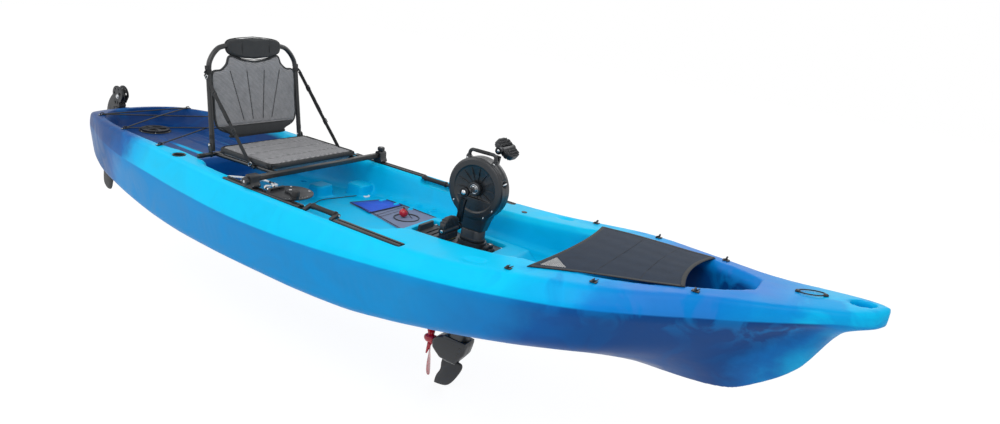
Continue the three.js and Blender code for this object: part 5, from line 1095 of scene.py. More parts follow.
def makeMast():
    m = mast
    outline = mastOutline(m["r"] - 0.0002, 24)
    rings = []
    for z, k in ((m["low"], 0.0016), (m["low"] + 0.002, 0), (m["high"] - 0.002, 0), (m["high"], 0.0012)):
        rings.append([(drum["x"] + (x - drum["x"]) * (1 - k / 0.031), y * (1 - k / 0.031), z)
            for x, y in outline])
    body = shaded(loft("mast", rings), 50)
    bandLow, bandHigh = 0.2853, 0.298
    band = [[(drum["x"] + (x - drum["x"]) * s, y * s, z) for x, y in outline]
        for z, s in ((bandLow, 1.004), (bandLow, 1.05), (bandHigh - 0.003, 1.05), (bandHigh, 1.02),
        (bandHigh, 1.004))]
    collar = shaded(loft("band", band), 50)
    return joined("drive_mast_look", [paint(body, housing), paint(collar, rubber)])


base = {"low": 0.2453, "high": 0.2593, "x": (0.1607, 0.4993), "y": 0.0743, "skirt": (0.207, 0.468),
    "skirtY": 0.043, "skirtLow": 0.2153, "latches": (0.296, 0.472)}


def makeBase():
    b = base
    x0, x1 = b["x"]
    plate = roundedRectangle(x0, x1, -b["y"], b["y"], 0.018, 7)
    parts = [sheetBody("plate", "z", plate, b["low"], b["high"])]
    lip = roundedRectangle(x0 + 0.008, x1 - 0.008, -b["y"] + 0.008, b["y"] - 0.008, 0.014, 7)
    parts.append(sheetBody("raised", "z", lip, b["high"] - 0.002, b["high"] + 0.0035))
    skirt = roundedRectangle(b["skirt"][0], b["skirt"][1], -b["skirtY"], b["skirtY"], 0.014, 6)
    parts.append(sheetBody("skirt", "z", skirt, b["skirtLow"], b["low"] + 0.004))
    collar = mastOutline(0.039)
    foot = mastOutline(0.046)
    rings = [[(x, y, b["high"]) for x, y in foot], [(x, y, 0.266) for x, y in collar],
        [(x, y, 0.2853) for x, y in collar]]
    parts.append(loft("collar", rings))
    for x in b["latches"]:
        parts.append(turned("pad", "z", [(0, 0.25), (0.0205, 0.25), (0.0205, 0.2645), (0.0168, 0.277),
            (0, 0.277)], (x, 0), 40))
    parts.append(softBlock("block", (0.168, -0.045, 0.25), (0.184, 0.045, 0.2853), 0.002, 0.006))
    body = parts[0]
    body = combined(body, parts[1:], "UNION")
    bore = mastOutline(0.0313)
    cutters = [sheetBody("bore", "z", bore, 0.2, 0.3)]
    for x in (0.21, 0.235, 0.26):  # open slots that let water drain from the plate
        slotted = linkOutline((x, -0.034), 0.0045, (x, 0.034), 0.0045, 8)
        cutters.append(sheetBody("drain", "z", slotted, b["high"] - 0.004, b["high"] + 0.01))
    body = combined(body, cutters, "DIFFERENCE")
    bevelled(body, 0.0014, 3, 32)
    screws = []
    for x in (0.178, 0.486):
        for y in (-0.062, 0.062):
            screws.append(stud("z", (x, y), b["high"] + 0.0033, 0.002, 0.005))
    return joined("drive_base_look", [paint(body, nylon)] + screws)


def makeLatch(x, material, roller):
    z0, z1 = 0.2774, 0.2913
    hub = turned("hub", "z", [(0, z0), (0.0118, z0), (0.0118, z1 - 0.003), (0.0105, z1 - 0.0006),
        (0.0088, z1), (0.0062, z1), (0.0055, z1 - 0.002), (0, z1 - 0.002)], (x, 0), 40)
    parts = [dressed(hub, material)]
    if roller:
        arm = tube("arm", [(x, -0.004, 0.2843), (x, -0.014, 0.2843), (x, -0.022, 0.2843)], 0.0052, 18)
        roll = turned("roller", "y", [(0, -0.0185), (0.0062, -0.0185), (0.0074, -0.02), (0.0074, -0.0385),
            (0.0062, -0.04), (0, -0.04)], (x, 0.2843), 32)
        parts += [paint(arm, material), dressed(roll, rubber)]
    else:
        outline = roundedOutline([(x - 0.0058, 0), (x - 0.0062, -0.03), (x - 0.0042, -0.0398),
            (x + 0.0042, -0.0398), (x + 0.0062, -0.03), (x + 0.0058, 0)], 0.003, 5)
        parts.append(paint(softPrism("arm", "z", outline, 0.281, 0.2878, 0.0016), material))
    parts.append(stud("z", (x, 0), z1 - 0.0022, 0.0026, 0.0046))
    return joined("latch", parts)


place(makeHandle(), "hull", "drive_handle")
place(makeMast(), "hull", "drive_mast")
place(makeBase(), "hull", "drive_base")
rearLatch, foreLatch = makeLatch(base["latches"][0], steel, False), makeLatch(base["latches"][1], nylon, True)
rearLatch.name, foreLatch.name = "drive_latch_rear_look", "drive_latch_front_look"
place(rearLatch, "drive_latch_rear", "drive_latch_rear")
place(foreLatch, "drive_latch_front", "drive_latch_front")
print("stage: handle, mast, base, latches")


# Cranks and pedals
crank = {"x": 0.392, "z": 0.485, "y": 0.088, "half": 0.007, "hub": 0.018, "tip": 0.0138,
    "port": (0.4033, 0.6145), "starboard": (0.3807, 0.3555)}
pedal = {"inner": 0.0996, "outer": 0.1865, "length": 0.092, "thickness": 0.026, "spindle": 0.0068,
    "tilt": {"port": 38, "starboard": 90}}


def makeAxle():
    profile = [(0, -0.0952), (0.0062, -0.0952), (0.0092, -0.0935), (0.0098, -0.092), (0.0098, -0.0345),
        (0.0108, -0.034), (0.0108, -0.0315), (0.0098, -0.031), (0.0098, 0.031), (0.0108, 0.0315),
        (0.0108, 0.034), (0.0098, 0.0345), (0.0098, 0.092), (0.0092, 0.0935), (0.0062, 0.0952), (0, 0.0952)]
    return shaded(paint(turned("crank_axle_look", "y", profile, (crank["x"], crank["z"]), 40), steel), 45)


def makeArm(sideName, side):
    c = crank
    hub, tip = (c["x"], c["z"]), c[sideName]
    y = side * c["y"]
    face = y + side * c["half"]
    near = y - side * c["half"]
    middle = []
    for sign in (1, -1):  # the forged arm draws in between its two eyes
        run = [(0.18, 0.0142), (0.35, 0.0112), (0.6, 0.0102), (0.85, 0.0116)]
        run = run if sign > 0 else run[::-1]
        for u, w in run:
            cx, cz = hub[0] + (tip[0] - hub[0]) * u, hub[1] + (tip[1] - hub[1]) * u
            nx, nz = (tip[1] - hub[1]) / math.dist(hub, tip), -(tip[0] - hub[0]) / math.dist(hub, tip)
            middle.append((cx + sign * nx * w, cz + sign * nz * w))
    beam = sheetBody("beam", "y", middle, min(near, face) + 0.0008, max(near, face) - 0.0008)
    eyes = [turned("eye", "y", [(0, near), (r - 0.001, near), (r, near + side * 0.001),
        (r, face - side * 0.0018), (r - 0.0018, face), (0, face)], at, 48)
        for at, r in ((hub, c["hub"]), (tip, c["tip"]))]
    body = combined(beam, eyes, "UNION")
    ux, uz = (tip[0] - hub[0]) / math.dist(hub, tip), (tip[1] - hub[1]) / math.dist(hub, tip)
    flute = linkOutline((hub[0] + ux * 0.031, hub[1] + uz * 0.031), 0.0058,
        (hub[0] + ux * 0.104, hub[1] + uz * 0.104), 0.0044, 12)
    low, high = sorted((face - side * 0.0024, face + side * 0.004))
    body = combined(body, [sheetBody("flute", "y", flute, low, high)], "DIFFERENCE")
    bevelled(body, 0.0011, 3, 30)
    cap = turned("cap", "y", [(0, face + side * 0.0052), (0.004, face + side * 0.005),
        (0.0078, face + side * 0.0034), (0.0096, face + side * 0.0008), (0.0098, face - side * 0.002),
        (0, face - side * 0.002)], hub, 40)
    ring = turned("cap_ring", "y", [(0.0098, face - side * 0.001), (0.0098, face + side * 0.0012),
        (0.0122, face + side * 0.0012), (0.013, face + side * 0.0004), (0.013, face - side * 0.001),
        (0.0098, face - side * 0.001)], hub, 40)
    pin = turned("spindle", "y", [(0, face), (0.0092, face), (0.0092, side * 0.0982), (0.0068, side * 0.0988),
        (0.0068, side * 0.186), (0.0052, side * 0.187), (0, side * 0.187)], tip, 32)
    root = cylinder("root", "y", near - side * 0.0004, near, 0.0062, tip, 24)
    return joined(f"crank_arm_{sideName}_look",
        [paint(body, alloy), dressed(cap, steel), dressed(ring, alloy), dressed(pin, steel),
        dressed(root, steel)])


def makePedal(sideName, side):
    p = pedal
    tip = Vector((crank[sideName][0], 0, crank[sideName][1]))
    y0, y1 = p["inner"], p["outer"]
    half, thick = p["length"] / 2 - 0.0004, p["thickness"] / 2 - 0.0003
    chamfer = 0.021
    outline = roundedOutline([(-half, y0 + chamfer), (-half + chamfer, y0), (half - chamfer, y0),
        (half, y0 + chamfer), (half, y1 - chamfer), (half - chamfer, y1), (-half + chamfer, y1),
        (-half, y1 - chamfer)], 0.008, 4)
    surround = sheetBody("cage", "z", outline, -thick + 0.003, thick - 0.003)
    inner = [(x * 0.86, (y0 + y1) / 2 + (y - (y0 + y1) / 2) * 0.86) for x, y in outline]
    surround = combined(surround, [sheetBody("window", "z", inner, -0.03, 0.03)], "DIFFERENCE")
    bevelled(surround, 0.0016, 3, 35)
    parts = [paint(surround, nylon)]
    barrel = turned("barrel", "y", [(0.0075, y0), (0.0128, y0), (0.0132, y0 + 0.004), (0.0108, y0 + 0.011),
        (0.0105, y1 - 0.012), (0.0128, y1 - 0.004), (0.0126, y1), (0.0075, y1), (0.0075, y0)], (0, 0), 40)
    parts.append(dressed(barrel, nylon))
    # the tread: plates that run out from the barrel, with raised grip studs
    if sideName == "starboard":
        for k in range(10):
            y = y0 + 0.006 + (y1 - y0 - 0.012) * k / 9
            reach = half - 0.004 - max(0, chamfer - 0.006 - min(y - y0, y1 - y)) * 0.9
            for sign in (-1, 1):
                plate = sheetBody("rib", "y",
                    roundedOutline([(sign * 0.009, -thick), (sign * reach, -thick),
                    (sign * (reach + 0.002), 0), (sign * reach, thick), (sign * 0.009, thick)], 0.003, 3),
                    y - 0.0015, y + 0.0015)
                parts.append(paint(bevelled(plate, 0.0006, 2), nylon))
            if 1 <= k <= 8:
                tooth = turned("tooth", "z",
                    [(0, thick - 0.002), (0.0021, thick - 0.002), (0.0021, thick + 0.0001),
                    (0.0013, thick + 0.0003), (0, thick + 0.0003)], (half * 0.78, y), 10)
                parts.append(paint(tooth, brass))
    else:
        rows = 9
        for k in range(rows):
            y = y0 + 0.007 + (y1 - y0 - 0.014) * k / (rows - 1)
            reach = half - 0.004 - max(0, chamfer - 0.006 - min(y - y0, y1 - y)) * 0.9
            for sign in (-1, 1):
                plate = roundedBox("slat", (min(sign * 0.009, sign * reach), y - 0.0011, -thick + 0.002),
                    (max(sign * 0.009, sign * reach), y + 0.0011, thick - 0.0008))
                parts.append(paint(bevelled(plate, 0.0005, 2), nylon))
        for k in range(8):
            x = -half + 0.008 + (2 * half - 0.016) * k / 7
            if abs(x) < 0.009:
                continue
            edge = max(0, chamfer - (half - abs(x))) * 0.95 + 0.003
            plate = roundedBox("slat", (x - 0.0011, y0 + edge, -thick + 0.003),
                (x + 0.0011, y1 - edge, thick - 0.0016))
            parts.append(paint(bevelled(plate, 0.0005, 2), nylon))
        for k in range(8):
            for j in range(rows):
                x = -half + 0.008 + (2 * half - 0.016) * k / 7
                y = y0 + 0.007 + (y1 - y0 - 0.014) * j / (rows - 1)
                if half - abs(x) + min(y - y0, y1 - y) < chamfer + 0.004 or abs(x) < 0.009:
                    continue
                for up in (1, -1):
                    root, crest = up * (thick - 0.0016), up * (thick + 0.0001)
                    profile = [(0, root), (0.0026, root), (0.002, crest), (0, crest)]
                    parts.append(paint(turned("knob", "z", profile, (x, y), 8), nylon))
    capEnd = turned("dust_cap", "y", [(0.0069, y1 - 0.001), (0.0112, y1 - 0.001), (0.0108, y1 + 0.0003),
        (0.0069, y1 + 0.0004), (0.0069, y1 - 0.001)], (0, 0), 32)
    parts.append(dressed(capEnd, alloy))
    whole = joined(f"pedal_{sideName}_look", parts)
    if side < 0:
        flipped(whole)
    turnedAbout(whole, "Y", math.radians(p["tilt"][sideName]), Vector((0, 0, 0)))
    return moved(whole, tip.x, 0, tip.z)


# Brass studs of the pedal's tread, dull and a little brown.
brass = finish("dull brass", "#6E5526", "#A98A45", (0.35, 0.5), 0.4, 0.03, drift=5, Metallic=1.0)
place(makeAxle(), "crankset", "crank_axle")
for sideName, side in sides.items():
    place(makeArm(sideName, side), "crankset", f"crank_arm_{sideName}")
    place(makePedal(sideName, side), f"pedal_{sideName}", f"pedal_{sideName}")
print("stage: cranks and pedals")


# Lower unit, propeller and fin
lower = {"aft": 0.284, "fore": 0.446, "low": -0.2329, "high": -0.1251, "half": 0.0337,
    "bolts": ((0.3855, -0.148), (0.4215, -0.152), (0.4145, -0.181))}
caseShares = [(0.36, 1), (0.98, 1), (1, 0.85), (0.94, 0.45), (0.72, 0), (0.27, 0), (0.1, 0.2), (0, 0.34),
    (0, 0.62), (0.16, 0.86)]


# an outline that rounds in towards its two faces
def pillow(name, axis, outline, half, layers, radius=0.006, steps=4):
    soft = roundedOutline(outline, radius, steps)
    cx = sum(p[0] for p in soft) / len(soft)
    cz = sum(p[1] for p in soft) / len(soft)
    rings = []
    for share, inset in [(-s, i) for s, i in layers[::-1]] + [(s, i) for s, i in layers]:
        ring = []
        for x, z in soft:
            away = math.dist((x, z), (cx, cz))
            k = 1 - inset / away
            ring.append(onAxis(axis, share * half, cx + (x - cx) * k, cz + (z - cz) * k))
        rings.append(ring)
    return loft(name, rings)


def makeCase():
    c = lower
    outline = [(c["aft"] + u * (c["fore"] - c["aft"]), c["low"] + v * (c["high"] - c["low"]))
        for u, v in caseShares]
    layers = ((0.02, 0), (0.6, 0.0004), (0.78, 0.0018), (0.9, 0.0046), (0.97, 0.0085), (1.0, 0.0135))
    body = shaded(pillow("case", "y", outline, c["half"], layers, 0.008, 5), 60)
    top = roundedBox("top", (0.338, -0.0325, c["high"] - 0.02), (0.4425, 0.0325, c["high"]))
    bevelled(top, 0.003, 3)
    seamBelt = pillow("belt", "y", outline, 0.0011, ((0.3, -0.0005), (1.0, -0.0005)), 0.008, 5)
    parts = [paint(body, housing), paint(top, housing), dressed(seamBelt, nylon)]
    bulge = egg("bulge", (0.352, 0, -0.16), (0.036, c["half"] + 0.0002, 0.023))
    parts.append(paint(bulge, housing))
    for x, z in c["bolts"]:
        for side in sides.values():
            start = side * (c["half"] - 0.0006)
            boss = turned("boss", "y", [(0, start - side * 0.012), (0.0082, start - side * 0.012),
                (0.0074, start + side * 0.0004), (0, start + side * 0.0004)], (x, z), 28)
            parts.append(dressed(boss, housing))
            parts.append(stud("y", (x, z), start - side * 0.0006, side * 0.0012, 0.0042))
    return joined("lower_case_look", parts)


prop = {"z": -0.185, "middle": 0.2585, "r": 0.18, "chord": 0.056, "hub": 0.019}
bladeShares = [(0.08, 0.6, 58, 0), (0.3, 0.92, 46, 0.02), (0.55, 1, 34, 0.08), (0.8, 0.84, 27, 0.2),
    (0.94, 0.56, 24, 0.34), (1, 0.22, 22, 0.44)]


def makePropeller():
    p = prop
    hub = turned("hub", "x", [(0, 0.2268), (0.004, 0.2272), (0.0085, 0.229), (0.0132, 0.2335), (0.0168, 0.24),
        (0.0186, 0.248), (0.0188, 0.258), (0.0188, 0.2765), (0.0178, 0.2786), (0.0068, 0.2786),
        (0.0064, 0.262), (0, 0.262)], (0, p["z"]), 48)
    curves = [curveThrough(bladeShares, c) for c in range(4)]
    parts = [dressed(hub, redNylon, 50)]
    for way in (1, -1):
        rings = []
        for reach in [0.08 + 0.92 * math.sin(k / 36 * math.pi / 2) for k in range(37)]:
            _, chord, pitch, sweepBack = (c(reach) for c in curves)
            a = math.radians(pitch)
            half = chord * p["chord"] / 2 * (1 if reach < 0.999 else 0.8)
            thick = 0.005 * (1.15 - reach) / 2 + 0.0006
            section = []
            for k in range(24):  # a rounded leading edge and a thin trailing edge, with a little camber
                b = 2 * math.pi * k / 24
                u, v = math.cos(b), math.sin(b)
                section.append((half * u, thick * v * (1 - 0.35 * u) + 0.0012 * (1 - u * u)
                    * (1 - reach * 0.5) - 0.0006))
            ring = []
            for u, v in section:
                along = u - sweepBack * p["chord"]
                ring.append((p["middle"] + along * math.sin(a) * 0.55 + v * math.cos(a),
                    way * (along * math.cos(a) - v * math.sin(a)), p["z"] + way * reach * p["r"]))
            rings.append(ring)
        parts.append(dressed(loft("blade", rings), redNylon, 70))
        rib = [Vector((p["middle"] - 0.002 * k, way * (0.003 + 0.0035 * k),
            p["z"] + way * (0.015 + 0.016 * k))) for k in range(4)]
        parts.append(paint(sweep("root", rib, circle(1, 18), up=(1, 0, 0), scale=lambda t: 0.0105 - 0.007
            * t), redNylon))
    nut = turned("nut", "x", [(0, 0.2262), (0.0036, 0.2262), (0.005, 0.2274), (0.005, 0.231), (0, 0.231)],
        (0, p["z"]), 24)
    parts.append(dressed(nut, redNylon))
    return joined("propeller_look", parts)


finShares = [(0.27, 0), (0.72, 0), (0.85, 0.06), (0.82, 0.28), (0.62, 0.72), (0.43, 0.93), (0.13, 1),
    (0.09, 0.95), (0.13, 0.72), (0.23, 0.46), (0.235, 0.18)]


def makeFin():
    outline = [(0.284 + u * 0.162, -0.2333 - v * 0.136) for u, v in finShares]
    path = smoothPath([Vector((x, 0, z)) for x, z in outline], 5)[:-1]
    outline = [(p.x, p.z) for p in path]
    cx, cz = 0.365, -0.29
    rings = []
    for share, k in ((-1, 0.9), (-0.8, 0.945), (-0.45, 0.98), (-0.12, 1), (0.12, 1), (0.45, 0.98),
            (0.8, 0.945), (1, 0.9)):
        rings.append([(cx + (x - cx) * k, share * 0.0069, min(cz + (z - cz) * k, -0.2334))
            for x, z in outline])
    body = shaded(loft("fin", rings), 60)
    plate = shaded(paint(pillow("saddle", "y", [(0.326, -0.2333), (0.402, -0.2333), (0.396, -0.243),
        (0.33, -0.243)], 0.0115, ((0.5, 0), (0.85, 0.0008), (1, 0.0022)), 0.004, 4), nylon), 50)
    trim = []
    for side in sides.values():  # the bright seam strip where the fin's saddle meets the case
        y = side * 0.0122
        trim.append(paint(tube("trim", [(0.334, y, -0.2428), (0.352, y, -0.2432), (0.372, y, -0.2432),
            (0.393, y, -0.2428)], 0.0007, 8), steel))
    return joined("skeg_fin_look", [paint(body, nylon), plate] + trim)


place(makeCase(), "hull", ("lower_case_port", "lower_case_starboard"))
place(makePropeller(), "propeller", "propeller")
place(makeFin(), "hull", "skeg_fin")
print("stage: lower unit, propeller, fin")


# Rudder, its yoke and bracket
rudder = {"steerX": -1.905, "pivot": (-1.890, 0.375), "cheekR": 0.044, "gap": 0.0132, "cheek": 0.0048,
    "bladeReach": 0.205, "bladeDrop": 0.553, "half": 0.0039, "head": 0.0355}
bladeOutline = [(0.1, 0.052), (0.244, 0.069), (0.273, 0.18), (0.34, 0.45), (0.49, 0.76), (0.62, 0.96),
    (0.73, 1), (0.9, 0.99), (1, 0.92), (0.93, 0.72), (0.81, 0.45), (0.68, 0.2), (0.54, 0.07), (0.3, -0.02),
    (0.12, -0.047)]


def makeBracket():
    plate = roundedRectangle(-0.0398, 0.0398, 0.2122, 0.3178, 0.009, 5)
    parts = [paint(softPrism("plate", "x", plate, -1.8812, -1.8754, 0.0016), nylon)]
    for low, high in ((0.2122, 0.2278), (0.3022, 0.3178)):
        lug = linkOutline((rudder["steerX"], 0), 0.0212, (-1.872, 0), 0.021, 24)
        lug = [(min(x, -1.8756), y) for x, y in lug]
        body = sheetBody("lug", "z", lug, low, high)
        bore = cylinder("bore", "z", low - 0.01, high + 0.01, 0.0065, (rudder["steerX"], 0), 28)
        parts.append(paint(bevelled(combined(body, [bore], "DIFFERENCE"), 0.0016, 3), nylon))
        for side in sides.values():
            rib = [(-1.8758, side * 0.022), (-1.8758, side * 0.035), (-1.886, side * 0.0235)]
            parts.append(paint(softPrism("rib", "z", rib if side > 0 else rib[::-1], low + 0.002,
                high - 0.002, 0.001, 2), nylon))
    for y in (-0.029, 0.029):
        for z in (0.226, 0.304):
            parts.append(stud("x", (y, z), -1.8811, -0.0032, 0.0058))
    return joined("rudder_bracket_look", parts)


def makeYoke():
    r = rudder
    px, pz = r["pivot"]
    parts = []
    sole = roundedRectangle(-1.9328, -1.8772, -0.0178, 0.0178, 0.009, 6)
    parts.append(paint(softPrism("base", "z", sole, 0.3185, 0.3342, 0.0022), nylon))
    for side in sides.values():
        low, high = sorted((side * r["gap"], side * (r["gap"] + r["cheek"])))
        rounds = arc((px, pz + 0.0128), r["cheekR"], math.radians(-12), math.radians(192), 34)
        outline = rounds + [(-1.9325, 0.345), (-1.9325, 0.322), (-1.8775, 0.322), (-1.8775, 0.335)]
        cheek = sheetBody("cheek", "y", outline, low, high)
        cutters = [cylinder("hole", "y", low - 0.01, high + 0.01, 0.0053, (px, pz), 24)]
        for turn in (0.2, 0.8, 0.36, 0.64):
            a = turn * math.pi
            reach, size, rise = (0.027, 0.0078, 0) if turn in (0.2, 0.8) else (0.034, 0.0048, 0.008)
            cutters.append(cylinder("hole", "y", low - 0.01, high + 0.01, size,
                (px + reach * math.cos(a), pz + rise + reach * math.sin(a)), 24))
        for k in range(3):  # weight-saving slots in the lower cheek
            x = px - 0.022 + 0.018 * k
            cutters.append(sheetBody("slot", "y", linkOutline((x, 0.3385), 0.0042, (x, 0.3455), 0.0042, 8),
                low - 0.01, high + 0.01))
        cheek = combined(cheek, cutters, "DIFFERENCE")
        parts.append(paint(bevelled(cheek, 0.0012, 3, 30), nylon))
    pin = turned("pin", "z", [(0, 0.2072), (0.0088, 0.2072), (0.0088, 0.2104), (0.006, 0.2112),
        (0.006, 0.326), (0, 0.326)], (r["steerX"], 0), 28)
    parts.append(dressed(pin, steel))
    for side in sides.values():
        parts.append(stud("z", (-1.921, side * 0.0105), 0.3338, 0.0012, 0.003))
    return joined("rudder_yoke_look", parts)


def makePivotBolt():
    px, pz = rudder["pivot"]
    shank = cylinder("shank", "y", -0.0184, 0.0184, 0.0049, (px, pz), 28)
    parts = [dressed(shank, steel)]
    for side in sides.values():
        washer = cylinder("washer", "y", side * 0.0183, side * 0.0194, 0.0118, (px, pz), 36)
        parts.append(dressed(washer, steel))
        hexagon = arc((px, pz), 0.0088, 0, 2 * math.pi, 7)[:-1]
        low, high = sorted((side * 0.0193, side * 0.0232))
        parts.append(paint(softPrism("head", "y", hexagon, low, high, 0.0006, 2), steel))
    return joined("rudder_pivot_bolt_look", parts)


def makeRudderBlade():
    r = rudder
    px, pz = r["pivot"]
    points = [Vector((px - u * r["bladeReach"], 0, pz - v * r["bladeDrop"])) for u, v in bladeOutline]
    outline = [(p.x, p.z) for p in smoothPath(points, 5)[:-1]]
    cx, cz = -1.99, 0.1
    rings = []
    for share, k in ((-1, 0.965), (-0.75, 0.985), (-0.35, 0.996), (0, 1), (0.35, 0.996), (0.75, 0.985),
            (1, 0.965)):
        rings.append([(cx + (x - cx) * k, share * r["half"], cz + (z - cz) * k) for x, z in outline])
    blade = shaded(loft("blade", rings), 55)
    parts = [paint(blade, nylon)]
    head = turned("head", "y", [(0.0051, -0.0126), (0.0138, -0.0126), (0.0138, -r["half"] - 0.0006),
        (r["head"] - 0.002, -r["half"] - 0.0003), (r["head"], -r["half"] + 0.0012),
        (r["head"], r["half"] - 0.0012), (r["head"] - 0.002, r["half"] + 0.0003),
        (0.0138, r["half"] + 0.0006), (0.0138, 0.0126), (0.0051, 0.0126), (0.0051, -0.0126)], (px, pz), 64)
    parts.append(dressed(head, nylon))
    for side in sides.values():  # stiffening ribs down both faces
        y = side * (r["half"] - 0.0002)
        for a, b in (((0.33, 0.12), (0.62, 0.86)), ((0.5, 0.14), (0.78, 0.8))):
            run = [(px - (a[0] + (b[0] - a[0]) * t) * r["bladeReach"], y, pz - (a[1] + (b[1] - a[1]) * t)
                * r["bladeDrop"]) for t in (0, 0.25, 0.5, 0.75, 1)]
            rib = sweep("rib", smoothPath(run, 6), [(0.0034 * u, 0.001 * v) for u, v in circle(1, 12)],
                up=(0, 1, 0))
            parts.append(dressed(rib, nylon, 70))
    return joined("rudder_blade_look", parts)


place(makeBracket(), "hull", "rudder_bracket")
place(makeYoke(), "rudder_yoke", "rudder_yoke")
place(makePivotBolt(), "rudder_yoke", "rudder_pivot_bolt")
place(makeRudderBlade(), "rudder_blade", "rudder_blade")
print("stage: rudder")


# Steering lever, its plate and the two cable sleeves
steer = {"x": -0.245, "y": -0.300, "disc": 0.0845, "plate": (0.3424, 0.3472), "stop": (-0.2975, -0.2845),
    "stopY": (-0.3615, -0.2905), "stopTop": 0.3602, "hub": 0.0198, "leverZ": (0.3477, 0.3594),
    "knob": (-0.1782, -0.3340), "knobR": 0.015, "adjusters": (-0.318, -0.352), "adjusterZ": 0.3535}


def makeSteeringBase():
    t = steer
    disc = [(t["x"] + t["disc"] * math.cos(a), max(t["y"] + t["disc"] * math.sin(a), -0.3678))
        for a in np.linspace(0, 2 * math.pi, 97)[:-1]]
    body = sheetBody("plate", "z", disc, t["plate"][0], t["plate"][1])
    block = softBlock("block", (t["stop"][0], t["stopY"][0], 0.345),
        (t["stop"][1], t["stopY"][1], t["stopTop"]), 0.0006, 0.003)
    body = combined(body, [block], "UNION")
    cutters = []
    outerArc = arc((t["x"], t["y"]), 0.0665, -1.15, 0.3, 20)
    innerArc = arc((t["x"], t["y"]), 0.0635, 0.3, -1.15, 20)
    cutters.append(sheetBody("scale", "z", outerArc + innerArc, t["plate"][1] - 0.001, t["plate"][1] + 0.01))
    for y in t["adjusters"]:
        hole = cylinder("hole", "x", -0.31, -0.27, 0.0044, (y, t["adjusterZ"]), 20)
        cutters.append(hole)
    body = combined(body, cutters, "DIFFERENCE")
    bevelled(body, 0.0009, 3, 32)
    parts = [paint(body, nylon)]
    for k in range(9):  # ticks of the scale
        a = -1.1 + 1.35 * k / 8
        long = 0.0056 if k % 4 == 0 else 0.003
        run = [(t["x"] + r * math.cos(a), t["y"] + r * math.sin(a), t["plate"][1] + 0.0001)
            for r in (0.0705, 0.0705 + long)]
        if run[1][1] > -0.366:
            parts.append(paint(tube("tick", run, 0.0006, 6), sleeveWhite))
    for a in (1.2, 2.4, 4.0, 5.9):
        x, y = t["x"] + 0.074 * math.cos(a), t["y"] + 0.074 * math.sin(a)
        if y > -0.36:
            parts.append(stud("z", (x, y), t["plate"][1] - 0.0004, 0.002, 0.0042))
    for y in t["adjusters"]:  # cable adjusters screwed into the block
        sleeve = turned("adjuster", "x", [(0.0046, -0.2984), (0.0072, -0.2984), (0.0072, -0.2996),
            (0.0066, -0.3003), (0.0046, -0.3003), (0.0046, -0.2984)], (y, t["adjusterZ"]), 24)
        parts.append(dressed(sleeve, steel))
    return joined("steering_base_look", parts)


def makeSteeringLever():
    t = steer
    low, high = t["leverZ"]
    kx, ky = t["knob"]
    hub = turned("hub", "z", [(0, low), (t["hub"], low), (t["hub"], high - 0.0026),
        (t["hub"] - 0.001, high - 0.0008), (t["hub"] - 0.003, high), (0.009, high), (0.0078, high - 0.0018),
        (0, high - 0.0018)], (t["x"], t["y"]), 56)
    d = Vector((kx - t["x"], ky - t["y"], 0))
    reach = d.length
    n = Vector((-d.y, d.x, 0)) / reach
    u = d / reach
    at = Vector((t["x"], t["y"], 0))
    outline = []
    for sign in (1, -1):
        run = [(0.006, 0.0135), (0.02, 0.0128), (0.035, 0.0092), (0.052, 0.0088), (reach - 0.002, 0.0096)]
        for a, w in run if sign > 0 else run[::-1]:
            p = at + u * a + n * sign * w
            outline.append((p.x, p.y))
    arm = sheetBody("arm", "z", roundedOutline(outline, 0.003, 4), low + 0.0004, high - 0.003)
    eye = turned("eye", "z", [(0, low + 0.0004), (0.0125, low + 0.0004), (0.0125, high - 0.0036),
        (0.0118, high - 0.003), (0, high - 0.003)], (kx, ky), 36)
    body = combined(hub, [arm, eye], "UNION")
    bevelled(body, 0.0009, 3, 34)
    edge = []
    for k in range(96):
        a = 2 * math.pi * k / 96
        r = t["knobR"] - 0.0007 + 0.0006 * math.cos(12 * a)
        edge.append((r * math.cos(a), r * math.sin(a)))
    rings = []
    for z, s in ((0.3537, 0.82), (0.356, 0.94), (0.3595, 1), (0.3715, 1), (0.3748, 0.94), (0.3768, 0.82),
            (0.3774, 0.55), (0.377, 0.3)):
        rings.append([(kx + x * s, ky + y * s, z) for x, y in edge])
    knob = shaded(loft("knob", rings), 50)
    parts = [paint(body, nylon), paint(knob, rubber), stud("z", (t["x"], t["y"]), high - 0.0019, 0.0018,
        0.0066)]
    return joined("steering_lever_look", parts)


sleevePaths = {"outer": [(-0.2984, 0.005, 0.3535), (-0.324, 0.007, 0.3535), (-0.341, 0.024, 0.352),
    (-0.350, 0.052, 0.345), (-0.370, 0.081, 0.338), (-0.420, 0.105, 0.334), (-0.500, 0.121, 0.322),
    (-0.590, 0.117, 0.306), (-0.650, 0.089, 0.300), (-0.668, 0.062, 0.299)],
    "inner": [(-0.2984, 0.039, 0.3535), (-0.318, 0.041, 0.3535), (-0.337, 0.053, 0.352),
    (-0.348, 0.073, 0.345), (-0.372, 0.101, 0.336), (-0.430, 0.121, 0.326), (-0.505, 0.135, 0.312),
    (-0.560, 0.129, 0.300), (-0.600, 0.102, 0.290), (-0.614, 0.072, 0.286)]}


def makeSleeve(kind):
    path = [(x, inward - 0.357, z) for x, inward, z in sleevePaths[kind]]
    line = tube("sleeve", path, 0.0044, 20, 14, 0.5)
    parts = [paint(line, sleeveWhite)]
    run = smoothPath([Vector(p) for p in path], 14)
    for at in (0.04, 0.5):  # a dark ferrule at the adjuster and a shrink band half way
        k = round(at * (len(run) - 1))
        piece = run[k:k + 7]
        parts.append(paint(tube("ferrule", piece, 0.00455, 20), nylon))
    return joined(f"rudder_line_sleeve_{kind}_look", parts)


